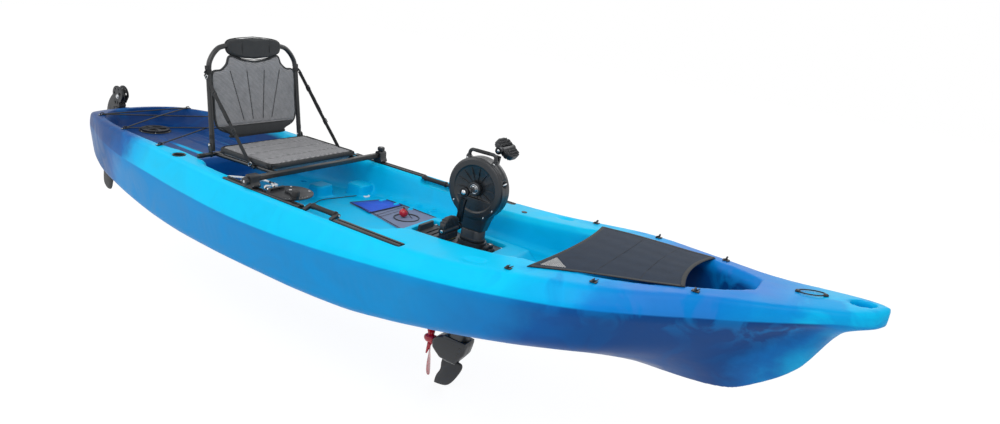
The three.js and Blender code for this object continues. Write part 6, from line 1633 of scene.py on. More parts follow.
place(makeSteeringBase(), "hull", "steering_base")
place(makeSteeringLever(), "steering_lever", "steering_lever")
for kind in ("outer", "inner"):
    place(makeSleeve(kind), "hull", f"rudder_line_sleeve_{kind}")
print("stage: steering")


# Seat: base frame, bar, clamps and knobs
seat = {"barX": -0.389, "barZ": 0.373, "barY": 0.368, "tube": 0.0089, "sideY": 0.225, "rearX": -0.790,
    "rearZ": 0.3565, "foreX": -0.4003, "foreZ": 0.3673, "rearY": 0.309, "hinge": (-0.80, 0.395),
    "earY": (0.2449, 0.2497), "lugX": -0.53}


def makeSeatFrame():
    t = seat
    parts = []
    for side in sides.values():
        run = [(t["foreX"], side * t["sideY"], t["foreZ"]), (-0.52, side * t["sideY"], 0.3641),
            (-0.66, side * t["sideY"], 0.3602), (t["rearX"], side * t["sideY"], t["rearZ"])]
        parts.append(paint(tube("side", run, t["tube"], 24, 6), coated))
    rear = tube("rear", [(t["rearX"], -t["rearY"], t["rearZ"]), (t["rearX"], -0.1, t["rearZ"]),
        (t["rearX"], 0.1, t["rearZ"]), (t["rearX"], t["rearY"], t["rearZ"])], t["tube"], 24, 6)
    parts.append(paint(rear, coated))
    for side in sides.values():
        foot = turned("foot", "y", [(0, side * 0.279), (0.0089, side * 0.279), (0.0096, side * 0.2805),
            (0.0096, side * 0.3065), (0.0084, side * 0.3088), (0, side * 0.3088)],
            (t["rearX"], t["rearZ"] + 0.0003), 32)
        parts.append(dressed(foot, rubber))
        hx, hz = t["hinge"]
        low, high = sorted((side * t["earY"][0], side * t["earY"][1]))
        ear = linkOutline((t["rearX"], t["rearZ"]), 0.0118, (hx, hz), 0.0085, 18)
        ear = sheetBody("ear", "y", ear, low, high)
        parts.append(paint(bevelled(ear, 0.0009, 3, 30), coated))
        pin = cylinder("pin", "y", side * 0.2235, side * 0.2502, 0.0039, (hx, hz), 20)
        parts.append(dressed(pin, steel))
        parts.append(stud("y", (hx, hz), side * 0.2496, side * 0.0018, 0.0056))
        # the gusset plate that takes the bar and the lug that takes the strap
        lug = sheetBody("lug", "y",
            linkOutline((t["lugX"] - 0.004, 0.3655), 0.006, (t["lugX"] + 0.004, 0.3655), 0.006, 12),
            *sorted((side * 0.2325, side * 0.2455)))
        parts.append(paint(bevelled(lug, 0.0012, 3), coated))
        weldBead = turned("bead", "x", [(0, -0.4009), (0.0098, -0.4009), (0.0106, -0.4035), (0.0094, -0.4062),
            (0, -0.4062)], (side * t["sideY"], t["foreZ"]), 28)
        parts.append(dressed(weldBead, coated))
    for x in (-0.56, -0.68):  # cross slats under the cushion
        slat = roundedBox("slat", (x - 0.011, -0.222, 0.3485), (x + 0.011, 0.222, 0.3515))
        parts.append(paint(bevelled(slat, 0.001, 2), webbing))
    return joined("seat_base_frame_look", parts)


def makeSeatBar():
    t = seat
    outline = roundedRectangle(t["barX"] - 0.0106, t["barX"] + 0.0106, t["barZ"] - 0.0106, t["barZ"] + 0.0106,
        0.005, 6)
    body = shaded(sheetBody("bar", "y", outline, -t["barY"] + 0.001, t["barY"] - 0.001), 40)
    parts = [paint(body, coated)]
    for side in sides.values():
        cap = sheetBody("plug", "y", [(t["barX"] + (x - t["barX"]) * 0.98, t["barZ"] + (z - t["barZ"]) * 0.98)
            for x, z in outline], *sorted((side * 0.3668, side * 0.3679)))
        parts.append(paint(bevelled(cap, 0.0004, 2), nylon))
    return joined("seat_front_bar_look", parts)


def makeClamp(sideName, side):
    t = seat
    x = t["barX"]
    low, high = sorted((side * 0.3362, side * 0.3778))
    outline = [(x - 0.0240, 0.3425), (x + 0.0240, 0.3425), (x + 0.0240, 0.3505), (x + 0.0172, 0.362),
        (x + 0.0168, 0.384), (x + 0.0115, 0.3915), (x - 0.0115, 0.3915), (x - 0.0168, 0.384),
        (x - 0.0172, 0.362), (x - 0.0240, 0.3505)]
    body = sheetBody("clamp", "y", roundedOutline(outline, 0.0035, 4), low, high)
    bevelled(body, 0.0018, 3, 40)
    parts = [paint(body, nylon)]
    for dx in (-0.0205, 0.0205):
        for y in (0.3425, 0.3715):
            parts.append(stud("z", (x + dx, side * y), 0.3504, 0.0018, 0.0032))
    band = roundedBox("split", (x - 0.0173, low + 0.0195, 0.3645), (x + 0.0173, low + 0.0209, 0.3665))
    parts.append(paint(band, rubber))
    return joined(f"rail_clamp_{sideName}_look", parts)


def makeKnob(sideName):
    t = seat
    teeth = []
    for k in range(120):
        a = 2 * math.pi * k / 120
        r = 0.0166 - 0.0011 * (0.5 - 0.5 * math.cos(10 * a)) ** 1.5
        teeth.append((r * math.cos(a), r * math.sin(a)))
    axis, start, way, centre = ("z", 0.3924, 1, (t["barX"], 0.357)) if sideName == "port" else \
        ("y", -0.3784, -1, (t["barX"], 0.368))
    rings = []
    for depth, s in ((0, 0.8), (0.0012, 0.9), (0.003, 0.97), (0.0125, 1), (0.0155, 0.96), (0.0172, 0.84),
            (0.0178, 0.62), (0.0172, 0.5)):
        rings.append([onAxis(axis, start + way * depth, centre[0] + u * s, centre[1] + v * s)
            for u, v in teeth])
    body = shaded(loft("knob", rings), 50)
    return joined(f"clamp_knob_{sideName}_look",
        [paint(body, nylon), stud(axis, centre, start + way * 0.0171, way * 0.0009, 0.0052)])


place(makeSeatFrame(), "seat", "seat_base_frame")
place(makeSeatBar(), "seat", "seat_front_bar")
for sideName, side in sides.items():
    place(makeClamp(sideName, side), "seat", f"rail_clamp_{sideName}")
    place(makeKnob(sideName), f"clamp_knob_{sideName}", f"clamp_knob_{sideName}")
print("stage: seat frame")


# Backrest frame and hoop
backrest = {"tube": 0.0104, "foot": 0.3686, "base": 0.395, "width": 0.234, "height": 0.417, "lean": 0.115}
hoopShares = [(1, 0), (0.985, 0.38), (0.966, 0.73), (0.906, 0.846), (0.76, 0.935), (0.6, 0.964),
    (0.385, 0.986), (0, 1)]
panelShares = [(0, 0.045), (0.6, 0.045), (0.62, 0.08), (0.9, 0.175), (0.931, 0.45), (0.9265, 0.7),
    (0.74, 0.735), (0.62, 0.79), (0.535, 0.872), (0.3, 0.836), (0, 0.815)]
padShares = [(0, 0.819), (0.3, 0.84), (0.545, 0.885), (0.6, 0.95), (0.575, 1.012), (0.385, 1.04), (0, 1.058)]


def onBack(u, v, out=0.0):  # a place on the leaning plane of the backrest, "out" towards the sitter
    b = backrest
    z = b["base"] + v * b["height"]
    lean = math.atan(b["lean"])
    x = -0.8 - (z - b["base"]) * b["lean"]
    return Vector((x + out * math.cos(lean), u * b["width"], z + out * math.sin(lean)))


backFacing = (onBack(0, 0, 1) - onBack(0, 0, 0)).normalized()


def makeBackFrame():
    b = backrest
    half = [onBack(u, v) for u, v in hoopShares]
    foot = Vector((-0.8 + 0.0268 * b["lean"], b["width"], b["foot"]))
    run = [foot] + half
    path = run + [Vector((p.x, -p.y, p.z)) for p in run[-2::-1]]
    body = tube("hoop", path, b["tube"], 28, 8, 0.5, (1, 0, 0))
    parts = [paint(body, coated)]
    for side in sides.values():
        for v in (0.06, 0.735):  # short bushes where the hinge pin and the strap's loop sit
            at = onBack(side * (1 - 0.02 * v), v)
            to = onBack(side * (1 - 0.02 * v), v + 0.04)
            parts.append(paint(tube("bush", [at, (at + to) / 2, to], 0.01055, 24), rubber))
        foot = Vector((-0.7969, side * b["width"], b["foot"] + 0.0001))
        top = foot + Vector((-0.001, 0, 0.009))
        parts.append(paint(tube("plug", [foot, (foot + top) / 2, top], 0.0105, 24), nylon))
    for side in sides.values():  # the webbing cuff on the hoop that the side strap hooks into
        at, to = onBack(side * 0.967, 0.695), onBack(side * 0.966, 0.735)
        parts.append(paint(tube("cuff", [at, (at + to) / 2, to], 0.0121, 24), webbing))
        middle = (at + to) / 2
        tab = [middle + Vector((0, side * 0.009, 0)), middle + Vector((0.001, side * 0.0155, -0.002)),
            middle + Vector((0.003, side * 0.0185, -0.007))]
        parts.append(paint(sweep("tab", smoothPath(tab, 6),
            [(0.0008 * u, 0.0088 * v) for u, v in circle(1, 16)], up=(0, 0, 1)), webbing))
        at = onBack(side * 0.957, 0.76)
        parts.append(stud("x", (at.y, at.z), at.x - 0.0086, -0.0024, 0.0062))
    return joined("backrest_frame_look", parts)


place(makeBackFrame(), "backrest", "backrest_frame")
print("stage: backrest frame")


# Padded pieces: a voxel shell that the cloth solver blows up a little, so it crowns and its sides pull in
def puffed(piece, voxel, pressure, cap, pinned=None):
    remesh = piece.modifiers.new("shell", "REMESH")
    remesh.mode, remesh.voxel_size, remesh.use_smooth_shade = "VOXEL", voxel, True
    applied(piece)
    start = [v.co.copy() for v in piece.data.vertices]
    if pinned:
        group = piece.vertex_groups.new(name="held")
        held = [v.index for v in piece.data.vertices if pinned(v.co)]
        group.add(held, 1.0, "REPLACE")
    cloth = piece.modifiers.new("cloth", "CLOTH")
    cloth.settings.use_pressure, cloth.settings.uniform_pressure_force = True, pressure
    cloth.settings.effector_weights.gravity = 0
    cloth.settings.tension_stiffness = cloth.settings.compression_stiffness = 12
    if pinned:
        cloth.settings.vertex_group_mass = "held"
    for frameNumber in range(1, 21):
        scene.frame_set(frameNumber)
    shape = piece.evaluated_get(bpy.context.evaluated_depsgraph_get()).to_mesh()
    ends = [v.co.copy() for v in shape.vertices]
    piece.modifiers.clear()
    scene.frame_set(1)
    for v, a, b in zip(piece.data.vertices, start, ends):
        move = b - a
        v.co = a + (move * (cap / move.length) if move.length > cap else move)
    finer = piece.modifiers.new("finer", "SUBSURF")
    finer.levels = finer.render_levels = 1
    return applied(piece)


def held(piece, low, high):  # keeps a soft piece inside its solid's box
    for v in piece.data.vertices:
        v.co = Vector([min(max(v.co[k], low[k]), high[k]) for k in range(3)])
    return piece


cushion = {"low": (-0.7632, -0.2372, 0.3653), "high": (-0.4308, 0.2372, 0.4068), "corner": 0.04,
    "crown": 0.0092, "top": 0.3925, "channels": (-0.68, -0.597, -0.514), "trimZ": 0.3858}


def cushionTop(x, y):
    c = cushion
    u = (x - (c["low"][0] + c["high"][0]) / 2) / ((c["high"][0] - c["low"][0]) / 2)
    v = y / c["high"][1]
    lift = max(0.0, (1 - abs(u) ** 2.6)) * max(0.0, (1 - abs(v) ** 3.2))
    channel = sum(0.0034 * math.exp(-((x - at) / 0.0042) ** 2) for at in c["channels"])
    border = 0.0042 * math.exp(-((1 - max(abs(u), abs(v) * 1.0)) / 0.02 - 3.6) ** 2 / 2)
    return c["top"] + c["crown"] * lift ** 0.7 - channel * min(1, lift * 3) - border * 0.6


def makeCushion():
    c = cushion
    x0, x1, y1 = c["low"][0], c["high"][0], c["high"][1]
    outline = roundedRectangle(x0, x1, -y1, y1, c["corner"], 9)
    cx = (x0 + x1) / 2
    rings = []
    for z, k in ((0.3655, 0.93), (0.3675, 0.965), (0.372, 0.985), (0.379, 0.99), (0.386, 0.985),
            (0.391, 0.968), (0.3935, 0.93)):
        rings.append([(cx + (x - cx) * k, y * k, z) for x, y in outline])
    pad = loft("pad", rings)
    pad = puffed(pad, 0.006, 4.0, 0.006, lambda co: co.z < 0.3665)
    for v in pad.data.vertices:  # the crown, the sewn channels and the seam that runs round under the trim
        if v.co.z > 0.3865:
            v.co.z = min(v.co.z, cushionTop(v.co.x, v.co.y)) if v.co.z > 0.396 else \
                v.co.z + (cushionTop(v.co.x, v.co.y) - c["top"]) * min(1, (v.co.z - 0.3865) / 0.005)
        v.co.z = max(v.co.z, 0.3654)
    held(pad, c["low"], c["high"])
    soften = pad.modifiers.new("even", "SMOOTH")
    soften.factor, soften.iterations = 0.5, 2
    applied(pad)
    parts = [shaded(paint(pad, airMesh), 180)]
    # the thick rolled trim all round
    edge = roundedRectangle(x0 + 0.0052, x1 - 0.0052, -y1 + 0.0052, y1 - 0.0052, c["corner"] - 0.005, 12)
    path = smoothPath([Vector((x, y, c["trimZ"])) for x, y in edge + edge[:1]], 3)
    roll = sweep("roll", path, [(0.0048 * u, 0.0096 * v) for u, v in circle(1, 22)], up=(0, 0, 1))
    parts.append(dressed(roll, trimCloth, 70))
    for lift in (0.0100, -0.0096):
        inner = roundedRectangle(x0 + 0.0085, x1 - 0.0085, -y1 + 0.0085, y1 - 0.0085, c["corner"] - 0.008, 12)
        path = smoothPath([Vector((x, y, c["trimZ"] + lift)) for x, y in inner + inner[:1]], 3)
        parts.append(dressed(sweep("piping", path, circle(0.0012, 10), up=(0, 0, 1)), webbing, 70))
    for x in c["channels"]:  # stitches in the channels
        n = 46
        for k in range(n):
            y = -0.2 + 0.4 * (k + 0.5) / n
            z = cushionTop(x, y) + 0.0006
            stitch = tube("stitch", [(x, y - 0.0026, z), (x, y, z + 0.0003), (x, y + 0.0026, z)], 0.0005, 5,
                2)
            parts.append(paint(stitch, webbing))
    return held(joined("seat_cushion_look", parts), c["low"], c["high"])


def outlineOnBack(shares, inset=0.0, perStretch=5):
    half = smoothPath([Vector((u, 0, v)) for u, v in shares], perStretch, 0.5)
    points = [(p.x, p.z) for p in half]
    points += [(-u, v) for u, v in points[-2:0:-1]]
    b = backrest
    cu, cv = 0.0, sum(v for _, v in points) / len(points)
    shrunk = []
    for u, v in points:
        away = math.hypot(u * b["width"], (v - cv) * b["height"])
        k = 1 - inset / max(away, 0.01)
        shrunk.append((cu + (u - cu) * k, cv + (v - cv) * k))
    return shrunk


def backSlab(name, shares, layers):
    return loft(name, [[onBack(u, v, out) for u, v in outlineOnBack(shares, inset)] for out, inset in layers])


def rollRound(name, shares, inset, out, width, height, material):
    ring = outlineOnBack(shares, inset, 6)
    path = [onBack(u, v, out) for u, v in ring + ring[:1]]
    return dressed(sweep(name, path, [(width * u, height * v) for u, v in circle(1, 16)],
        up=onBack(0, 0, 1) - onBack(0, 0, 0)), material, 70)


seamSlopes = (-0.62, -0.22, 0.22, 0.62)


def makePanel():
    thick = 0.0062
    slab = backSlab("panel", panelShares, ((-thick + 0.0006, 0.008), (-thick + 0.0022, 0.004),
        (-0.002, 0.0022), (0.002, 0.0022), (thick - 0.0022, 0.004), (thick - 0.0006, 0.008)))
    slab = puffed(slab, 0.005, 4.0, 0.0035)
    out, origin = backFacing, onBack(0, 0)
    for v in slab.data.vertices:  # a lumbar swell, and the fan of seams that holds the padding
        co = v.co
        depth = (co - origin).dot(out)
        up = (co.z - out.z * depth - origin.z) / backrest["height"]
        side = co.y / backrest["width"]
        if depth > 0:
            dip = 0.0
            for slope in seamSlopes:
                line = slope * (0.35 + up * 0.75)
                dip += 0.0026 * math.exp(-((side - line) / 0.022) ** 2) if up > 0.19 else 0
            cap = 0.0055 if up < 0.185 else thick + 0.0022
            v.co = co + out * (min(depth, cap) - dip - depth)
    soften = slab.modifiers.new("even", "SMOOTH")
    soften.factor, soften.iterations = 0.5, 1
    applied(slab)
    parts = [shaded(paint(slab, airMesh), 180)]
    parts.append(rollRound("binding", panelShares, 0.0045, 0, 0.0042, 0.0060, trimCloth))
    for slope in seamSlopes:
        seam = []
        for k in range(12):
            v = 0.22 + 0.5 * k / 11
            seam.append(onBack(slope * (0.35 + v * 0.75), v, thick + 0.0007))
        parts.append(dressed(tube("piping", seam, 0.0011, 10, 4), webbing, 70))
    band = []
    # the black band across the foot, with the strap behind it
    for v in (0.055, 0.075, 0.1, 0.13, 0.155, 0.17):
        reach = 0.6 if v < 0.08 else 0.6 + (v - 0.08) / 0.095 * 0.27
        band.append([onBack(u, v, thick + 0.0022 - 0.0025 * (2 * (v - 0.1125) / 0.115) ** 2)
            for u in np.linspace(-reach, reach, 41)]
            + [onBack(u, v, -thick + 0.0006) for u in np.linspace(reach, -reach, 41)])
    parts.append(dressed(loft("band", band), trimCloth, 50))
    for at in (0.062, 0.165):
        line = [onBack(u, at, thick + 0.0009) for u in np.linspace(-0.6, 0.6, 15)]
        parts.append(paint(tube("hem", line, 0.0009, 8, 3), webbing))
    return joined("backrest_panel_look", parts)


def makeHeadrest():
    thick = 0.0178
    slab = backSlab("pad", padShares, ((-thick + 0.001, 0.012), (-thick + 0.0035, 0.006), (-0.009, 0.0015),
        (0, 0.0008), (0.009, 0.0015), (thick - 0.0035, 0.006), (thick - 0.001, 0.012)))
    slab = puffed(slab, 0.005, 4.0, 0.005)
    out, origin = backFacing, onBack(0, 0)
    for v in slab.data.vertices:
        depth = (v.co - origin).dot(out)
        if abs(depth) > thick - 0.0008:
            v.co -= out * (abs(depth) - thick + 0.0008) * (1 if depth > 0 else -1)
        side = v.co.y / backrest["width"]
        if depth > 0:
            v.co -= out * 0.0022 * math.exp(-((abs(side) - 0.3) / 0.012) ** 2)
    parts = [shaded(paint(slab, trimCloth), 180)]
    parts.append(rollRound("piping", padShares, 0.0012, 0.0, 0.0017, 0.0017, webbing))
    for side in sides.values():  # the two cloth loops that carry the pad on the hoop
        for edge in (-1, 1):
            line = [onBack(side * 0.3 + edge * 0.006, v, thick - 0.0018 - 0.006 * (2 * (v - 0.94) / 0.2) ** 2)
                for v in np.linspace(0.865, 1.03, 9)]
            parts.append(paint(tube("seam", line, 0.0007, 8, 3), webbing))
    return joined("headrest_pad_look", parts)


cushionLook, panelLook, headLook = makeCushion(), makePanel(), makeHeadrest()
place(cushionLook, "seat", "seat_cushion")
place(panelLook, "backrest", "backrest_panel")
place(headLook, "backrest", "headrest_pad")
print("stage: padded pieces")


# Straps between the backrest and the seat frame
def makeStrap(sideName, side):
    y = side * 0.2466
    top, foot = Vector((-0.8339, y, 0.690)), Vector((-0.530, y, 0.361))
    run = foot - top
    u = run.normalized()
    across = Vector((0, side, 0))
    flat = u.cross(across).normalized()
    n = 60
    rings = []
    for k in range(n + 1):
        t = k / n
        at = top + run * (0.012 + 0.965 * t)
        wave = 0.0006 * math.sin(9 * t) + 0.0004 * math.sin(23 * t + 1)
        at = at + across * wave * math.sin(math.pi * t)
        half, thin = 0.0098, 0.0008
        rings.append([at + flat * (a * half) + across * (b * thin) for a, b in ((-1, -0.5), (-0.96, -1),
            (0.96, -1), (1, -0.5), (1, 0.5), (0.96, 1), (-0.96, 1), (-1, 0.5))])
    parts = [dressed(loft("strap", rings), webbing, 30)]
    size = 0.0085
    for t in (0.045, 0.955):  # D-rings at both ends
        at = top + run * t + across * 0.0006
        ring = [at + flat * (size * 1.25 * math.cos(a)) + u * (size * 0.7 * math.sin(a))
            for a in np.linspace(0, 2 * math.pi, 25)]
        parts.append(dressed(tube("ring", ring, 0.0014, 12, 1), steel, 60))
    for t in (0.22, 0.62):  # slider buckles with their bars
        at = top + run * t + across * 0.0012
        for w in (-0.009, 0.0, 0.009):
            bar = tube("bar", [at - flat * 0.012 + u * w, at + u * w, at + flat * 0.012 + u * w], 0.0016, 10,
                2)
            parts.append(dressed(bar, nylon, 60))
        for sign in (-1, 1):
            bar = tube("bar", [at + flat * sign * 0.0118 - u * 0.01, at + flat * sign * 0.0118,
                at + flat * sign * 0.0118 + u * 0.01], 0.0015, 10, 2)
            parts.append(dressed(bar, nylon, 60))
    second = []
    for k in range(21):  # the doubled tail that comes back from the upper buckle
        t = 0.22 + 0.3 * k / 20
        at = top + run * t + across * (0.0021 + 0.0006 * math.sin(k * 0.9))
        second.append([at + flat * (a * 0.0096) + across * (b * 0.0007)
            for a, b in ((-1, -1), (1, -1), (1, 1), (-1, 1))])
    parts.append(dressed(loft("tail", second), webbing, 30))
    return joined(f"strap_{sideName}_look", parts)


for sideName, side in sides.items():
    look = makeStrap(sideName, side)
    place(look, "seat", f"strap_{sideName}")
    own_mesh(look)
print("stage: straps")


# Bow cover, its hooks, the bungee, the mat and the toggle ball
cover = {"rear": 0.775, "fore": 1.223, "rearHalf": 0.281, "foreHalf": 0.162, "rearDip": 0.032,
    "foreDip": 0.026, "lift": 0.0007}


def onCover(u, v, out=0.0):  # u runs from the aft hem to the fore one, v across from starboard to port
    c = cover
    start, end = c["rear"] + c["rearDip"] * (1 - v * v), c["fore"] - c["foreDip"] * (1 - v * v)
    x = start + (end - start) * u
    y = v * (c["rearHalf"] + (c["foreHalf"] - c["rearHalf"]) * u)
    return Vector((x, y, deckZ(x, y) + c["lift"] + out))


def makeCover():
    nx, ny = 90, 84
    verts, faces = [], []
    layers = (0.0004, 0.0026)
    for layer in layers:
        for i in range(nx + 1):
            for j in range(ny + 1):
                u, v = i / nx, 2 * j / ny - 1
                slack = math.sin(math.pi * u) * (1 - v * v)
                # tension folds run from corner to corner, and a shallow sag lies between the hooks
                folds = 0.00045 * math.sin(26 * (u - 0.5) * (1 + 0.3 * v) + 3 * v) * (1 - abs(v) ** 1.5) \
                    + 0.0003 * math.sin(17 * v + 9 * u)
                out = layer + (folds + 0.0003) * min(1, slack * 3) * (1 if layer > 0.001 else 0.0)
                verts.append(onCover(u, v, max(layer - 0.0003, out) if layer > 0.001 else layer))
    row = ny + 1
    size = (nx + 1) * row
    for i in range(nx):
        for j in range(ny):
            a, b, c, d = i * row + j, (i + 1) * row + j, (i + 1) * row + j + 1, i * row + j + 1
            faces.append((a, d, c, b))
            faces.append((size + a, size + b, size + c, size + d))
    rim = [i * row for i in range(nx + 1)] + [nx * row + j for j in range(1, ny + 1)] + \
        [i * row + ny for i in range(nx - 1, -1, -1)] + [j for j in range(ny - 1, 0, -1)]
    for k, a in enumerate(rim):
        b = rim[(k + 1) % len(rim)]
        faces.append((a, b, size + b, size + a))
    cloth = meshObject("bow_cover_look", verts, faces)
    return shaded(paint(cloth, coverCloth), 60)


def hemStrip(name, at, width, material):  # a flat strip along a run of cover places
    rings = []
    for k, p in enumerate(at):
        q, r = at[max(0, k - 1)], at[min(len(at) - 1, k + 1)]
        way = (Vector(r) - Vector(q)).normalized()
        across = way.cross(Vector((0, 0, 1))).normalized()
        rings.append([Vector(p) + across * (a * width) + Vector((0, 0, b))
            for a, b in ((-1, -0.0004), (-0.9, 0.0006), (0.9, 0.0006), (1, -0.0004))])
    return dressed(loft(name, rings), material, 50)


def makeCoverTrim():
    parts = []
    runs = [[onCover(0.017, v, 0.0028) for v in np.linspace(-0.985, 0.985, 60)],
        [onCover(0.983, v, 0.0028) for v in np.linspace(-0.98, 0.98, 40)],
        [onCover(u, -0.978, 0.0028) for u in np.linspace(0.01, 0.99, 60)],
        [onCover(u, 0.978, 0.0028) for u in np.linspace(0.01, 0.99, 60)]]
    for run in runs:
        parts.append(hemStrip("hem", run, 0.0062, trimCloth))
    for u, v in ((0.42, 0), (0.72, 0)):
        run = [onCover(u, w, 0.003) for w in np.linspace(-0.955, 0.955, 70)]
        parts.append(paint(tube("seam", run, 0.0006, 6, 1), webbing))
    return parts


def makeNet():  # a corner of open netting over the hatch of the cover
    parts = []
    corner = [onCover(u, v, 0.0031) for u, v in ((0.05, -0.93), (0.05, -0.6), (0.24, -0.93))]
    a, b, c = corner
    for k in range(1, 12):
        t = k / 12
        for p, q in ((a + (b - a) * t, c + (b - c) * t), (a + (c - a) * t, b + (c - b) * t)):
            line = [p + (q - p) * s for s in (0, 0.5, 1)]
            for point in line:
                point.z = deckZ(point.x, point.y) + 0.0044
            parts.append(paint(tube("net", line, 0.0005, 5, 3), sleeveWhite))
    return parts


def makeHook(x, side):  # a moulded hook on the rim with a loop of cord that runs to the cover's edge
    y = side * (rimY(x) - 0.030)
    deck = deckZ(x, y) + 0.0003
    stem = roundedBox("base", (x - 0.011, y - 0.008, deck), (x + 0.011, y + 0.008, deck + 0.004))
    parts = [paint(bevelled(stem, 0.0016, 3), nylon)]
    lip = tube("lip", [(x, y, deck + 0.002), (x, y + side * 0.001, deck + 0.0095),
        (x, y + side * 0.009, deck + 0.0105), (x, y + side * 0.0115, deck + 0.0065)], 0.0027, 14, 8)
    parts.append(paint(lip, nylon))
    loop = []
    for k in range(17):
        a = math.pi * (k / 16 - 0.5)
        loop.append((x + 0.006 * math.sin(a), y - side * 0.02 + side * (0.024 * math.cos(a)),
            deck + 0.0062 - 0.0018 * (1 - math.cos(a))))
    parts.append(paint(tube("loop", loop, 0.0014, 10, 1), braid))
    return parts


coverLook = makeCover()
place(coverLook, "hull", "bow_cover")
trims = joined("bow_cover_trim", makeCoverTrim() + makeNet())
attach(trims, "hull")
hooks = []
for x in (0.735, 0.994, 1.255):
    for side in sides.values():
        hooks += makeHook(x, side)
hooks = joined("bow_cover_hooks", hooks)
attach(hooks, "hull")
for i in range(60):
    for j in range(60):
        u, v = i / 60, 2 * j / 60 - 1
        p, q, r, t = onCover(u, v), onCover(u + 1 / 60, v), onCover(u + 1 / 60, v + 2 / 60), onCover(u,
            v + 2 / 60)

bungee = {"x": (-1.655, -1.335, -1.030), "r": 0.00295, "z": 0.0040, "inset": 0.034}


def makeBungee():
    places = []
    for x in bungee["x"]:
        for side in (-1, 1):
            y = side * (rimY(x) - bungee["inset"])
            places.append(Vector((x, y, deckZ(x, y) + bungee["z"])))
    sa, pa, sm, pm, sf, pf = places
    parts = []
    for a, b, rise in ((sf, pm, 0.0), (pm, sa, 0.0), (sa, pa, 0.0), (pa, sm, 0.0045), (sm, pf, 0.0045)):
        n = 12
        run = []
        for i in range(n + 1):
            t = i / n
            p = a + (b - a) * t
            p.z += rise * math.sin(math.pi * t)
            run.append(p)
        parts.append(paint(tube("cord", run, bungee["r"], 16, 3), braid))
    return parts


cords = makeBungee()
fixings = []
for x in bungee["x"]:
    for side in sides.values():
        y = side * (rimY(x) - bungee["inset"])
        z = deckZ(x, y)
        lowLoop = [(x, y - 0.0095, z + 0.0004), (x, y - 0.0075, z + 0.0086), (x, y, z + 0.0112),
            (x, y + 0.0075, z + 0.0086), (x, y + 0.0095, z + 0.0004)]
        fixings.append(paint(tube("eye", lowLoop, 0.0022, 14, 6), nylon))
        pad = roundedBox("pad", (x - 0.0075, y - 0.0165, z + 0.0002), (x + 0.0075, y + 0.0165, z + 0.0028))
        fixings.append(paint(bevelled(pad, 0.001, 3), nylon))
        for dy in (-0.0135, 0.0135):
            fixings.append(stud("z", (x, y + dy), z + 0.0026, 0.0013, 0.0026))
bungeeLook = joined("tank_bungee_look", cords)
place(bungeeLook, "hull", "tank_bungee")
eyes = joined("bungee_eyes", fixings)
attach(eyes, "hull")
print("stage: bungee")

matCorners = [(-0.318, 0.092), (-0.236, 0.240), (0.092, 0.190), (0.092, -0.038)]
matGap = 0.0011


def onFloor(x, y, lift):
    return (x, y, floorZ(x) + matGap + lift)


def makeMat():
    outline = roundedOutline([(x, y) for x, y in matCorners][::-1], 0.016, 6)
    cx, cy = sum(p[0] for p in outline) / len(outline), sum(p[1] for p in outline) / len(outline)
    rings = []
    for lift, inset in ((0, 0.0006), (0.0006, 0), (0.0036, 0), (0.0043, 0.0008)):
        shrink = 1 - inset / 0.15
        rings.append([(cx + (x - cx) * shrink, cy + (y - cy) * shrink, floorZ(x) + matGap + lift)
            for x, y in outline])
    body = shaded(loft("floor_mat_look", rings), 40)
    parts = [paint(body, greyFoam)]
    aft = [(-0.312, 0.093), (-0.235, 0.233), (-0.12, 0.2145), (-0.139, 0.028)]
    lobe = roundedOutline(aft[::-1], 0.014, 6)
    parts.append(dressed(loft("lobe", [[onFloor(x, y, lift) for x, y in lobe] for lift in (0.0036, 0.0047)]),
        blueFoam, 40))
    for ring in (aft + aft[:1], [(x, y) for x, y in matCorners] + [matCorners[0]]):
        inset = 0.965
        run = [(cx + (x - cx) * inset, cy + (y - cy) * inset) if ring[0] == matCorners[0] else (x, y)
            for x, y in ring]
        for a, b in zip(run, run[1:]):
            line = [(a[0] + (b[0] - a[0]) * t, a[1] + (b[1] - a[1]) * t) for t in (0, 0.25, 0.5, 0.75, 1)]
            line = [onFloor(x, y, 0.0047) for x, y in line]
            parts.append(paint(tube("line", line, 0.0016, 8, 2), nylon))
    oval = [(0.005 + 0.052 * math.cos(a), 0.092 + 0.05 * math.sin(a)) for a in np.linspace(0, 2 * math.pi,
        49)]
    parts.append(paint(tube("oval", [(x, y, floorZ(x) + 0.0057) for x, y in oval], 0.0024, 8, 1), nylon))
    for k in range(7):  # grooves cut across the foam so it can bend
        x = -0.1 + 0.026 * k
        low, high = 0.0 + 0.02 * (k < 3), 0.196 - 0.004 * k
        if x > -0.06 and abs(x - 0.005) < 0.06:
            continue
        line = [(x, low + (high - low) * t, floorZ(x) + 0.0055) for t in (0, 0.5, 1)]
        parts.append(paint(tube("groove", line, 0.0009, 6, 4), nylon))
    return joined("floor_mat_look", parts)


matLook = makeMat()
place(matLook, "hull", "floor_mat")


def makeBall():
    x, y, z = -0.012, 0.092, 0.252
    r = 0.0183
    profile = [(0, z - r)] + [(r * math.sin(a), z - r * math.cos(a)) for a in np.linspace(0.08, 3.02, 40)]
    profile += [(0.0031, z + 0.0181), (0.0028, z + 0.0168), (0, z + 0.0166)]
    body = shaded(turned("ball", "z", profile, (x, y), 56))
    seamLine = turned("seam", "z", [(r, z - 0.0005), (0.01842, z), (r, z + 0.0005), (0.017, z)], (x, y), 56)
    return joined("toggle_ball_look", [paint(body, redNylon), dressed(seamLine, redNylon)])


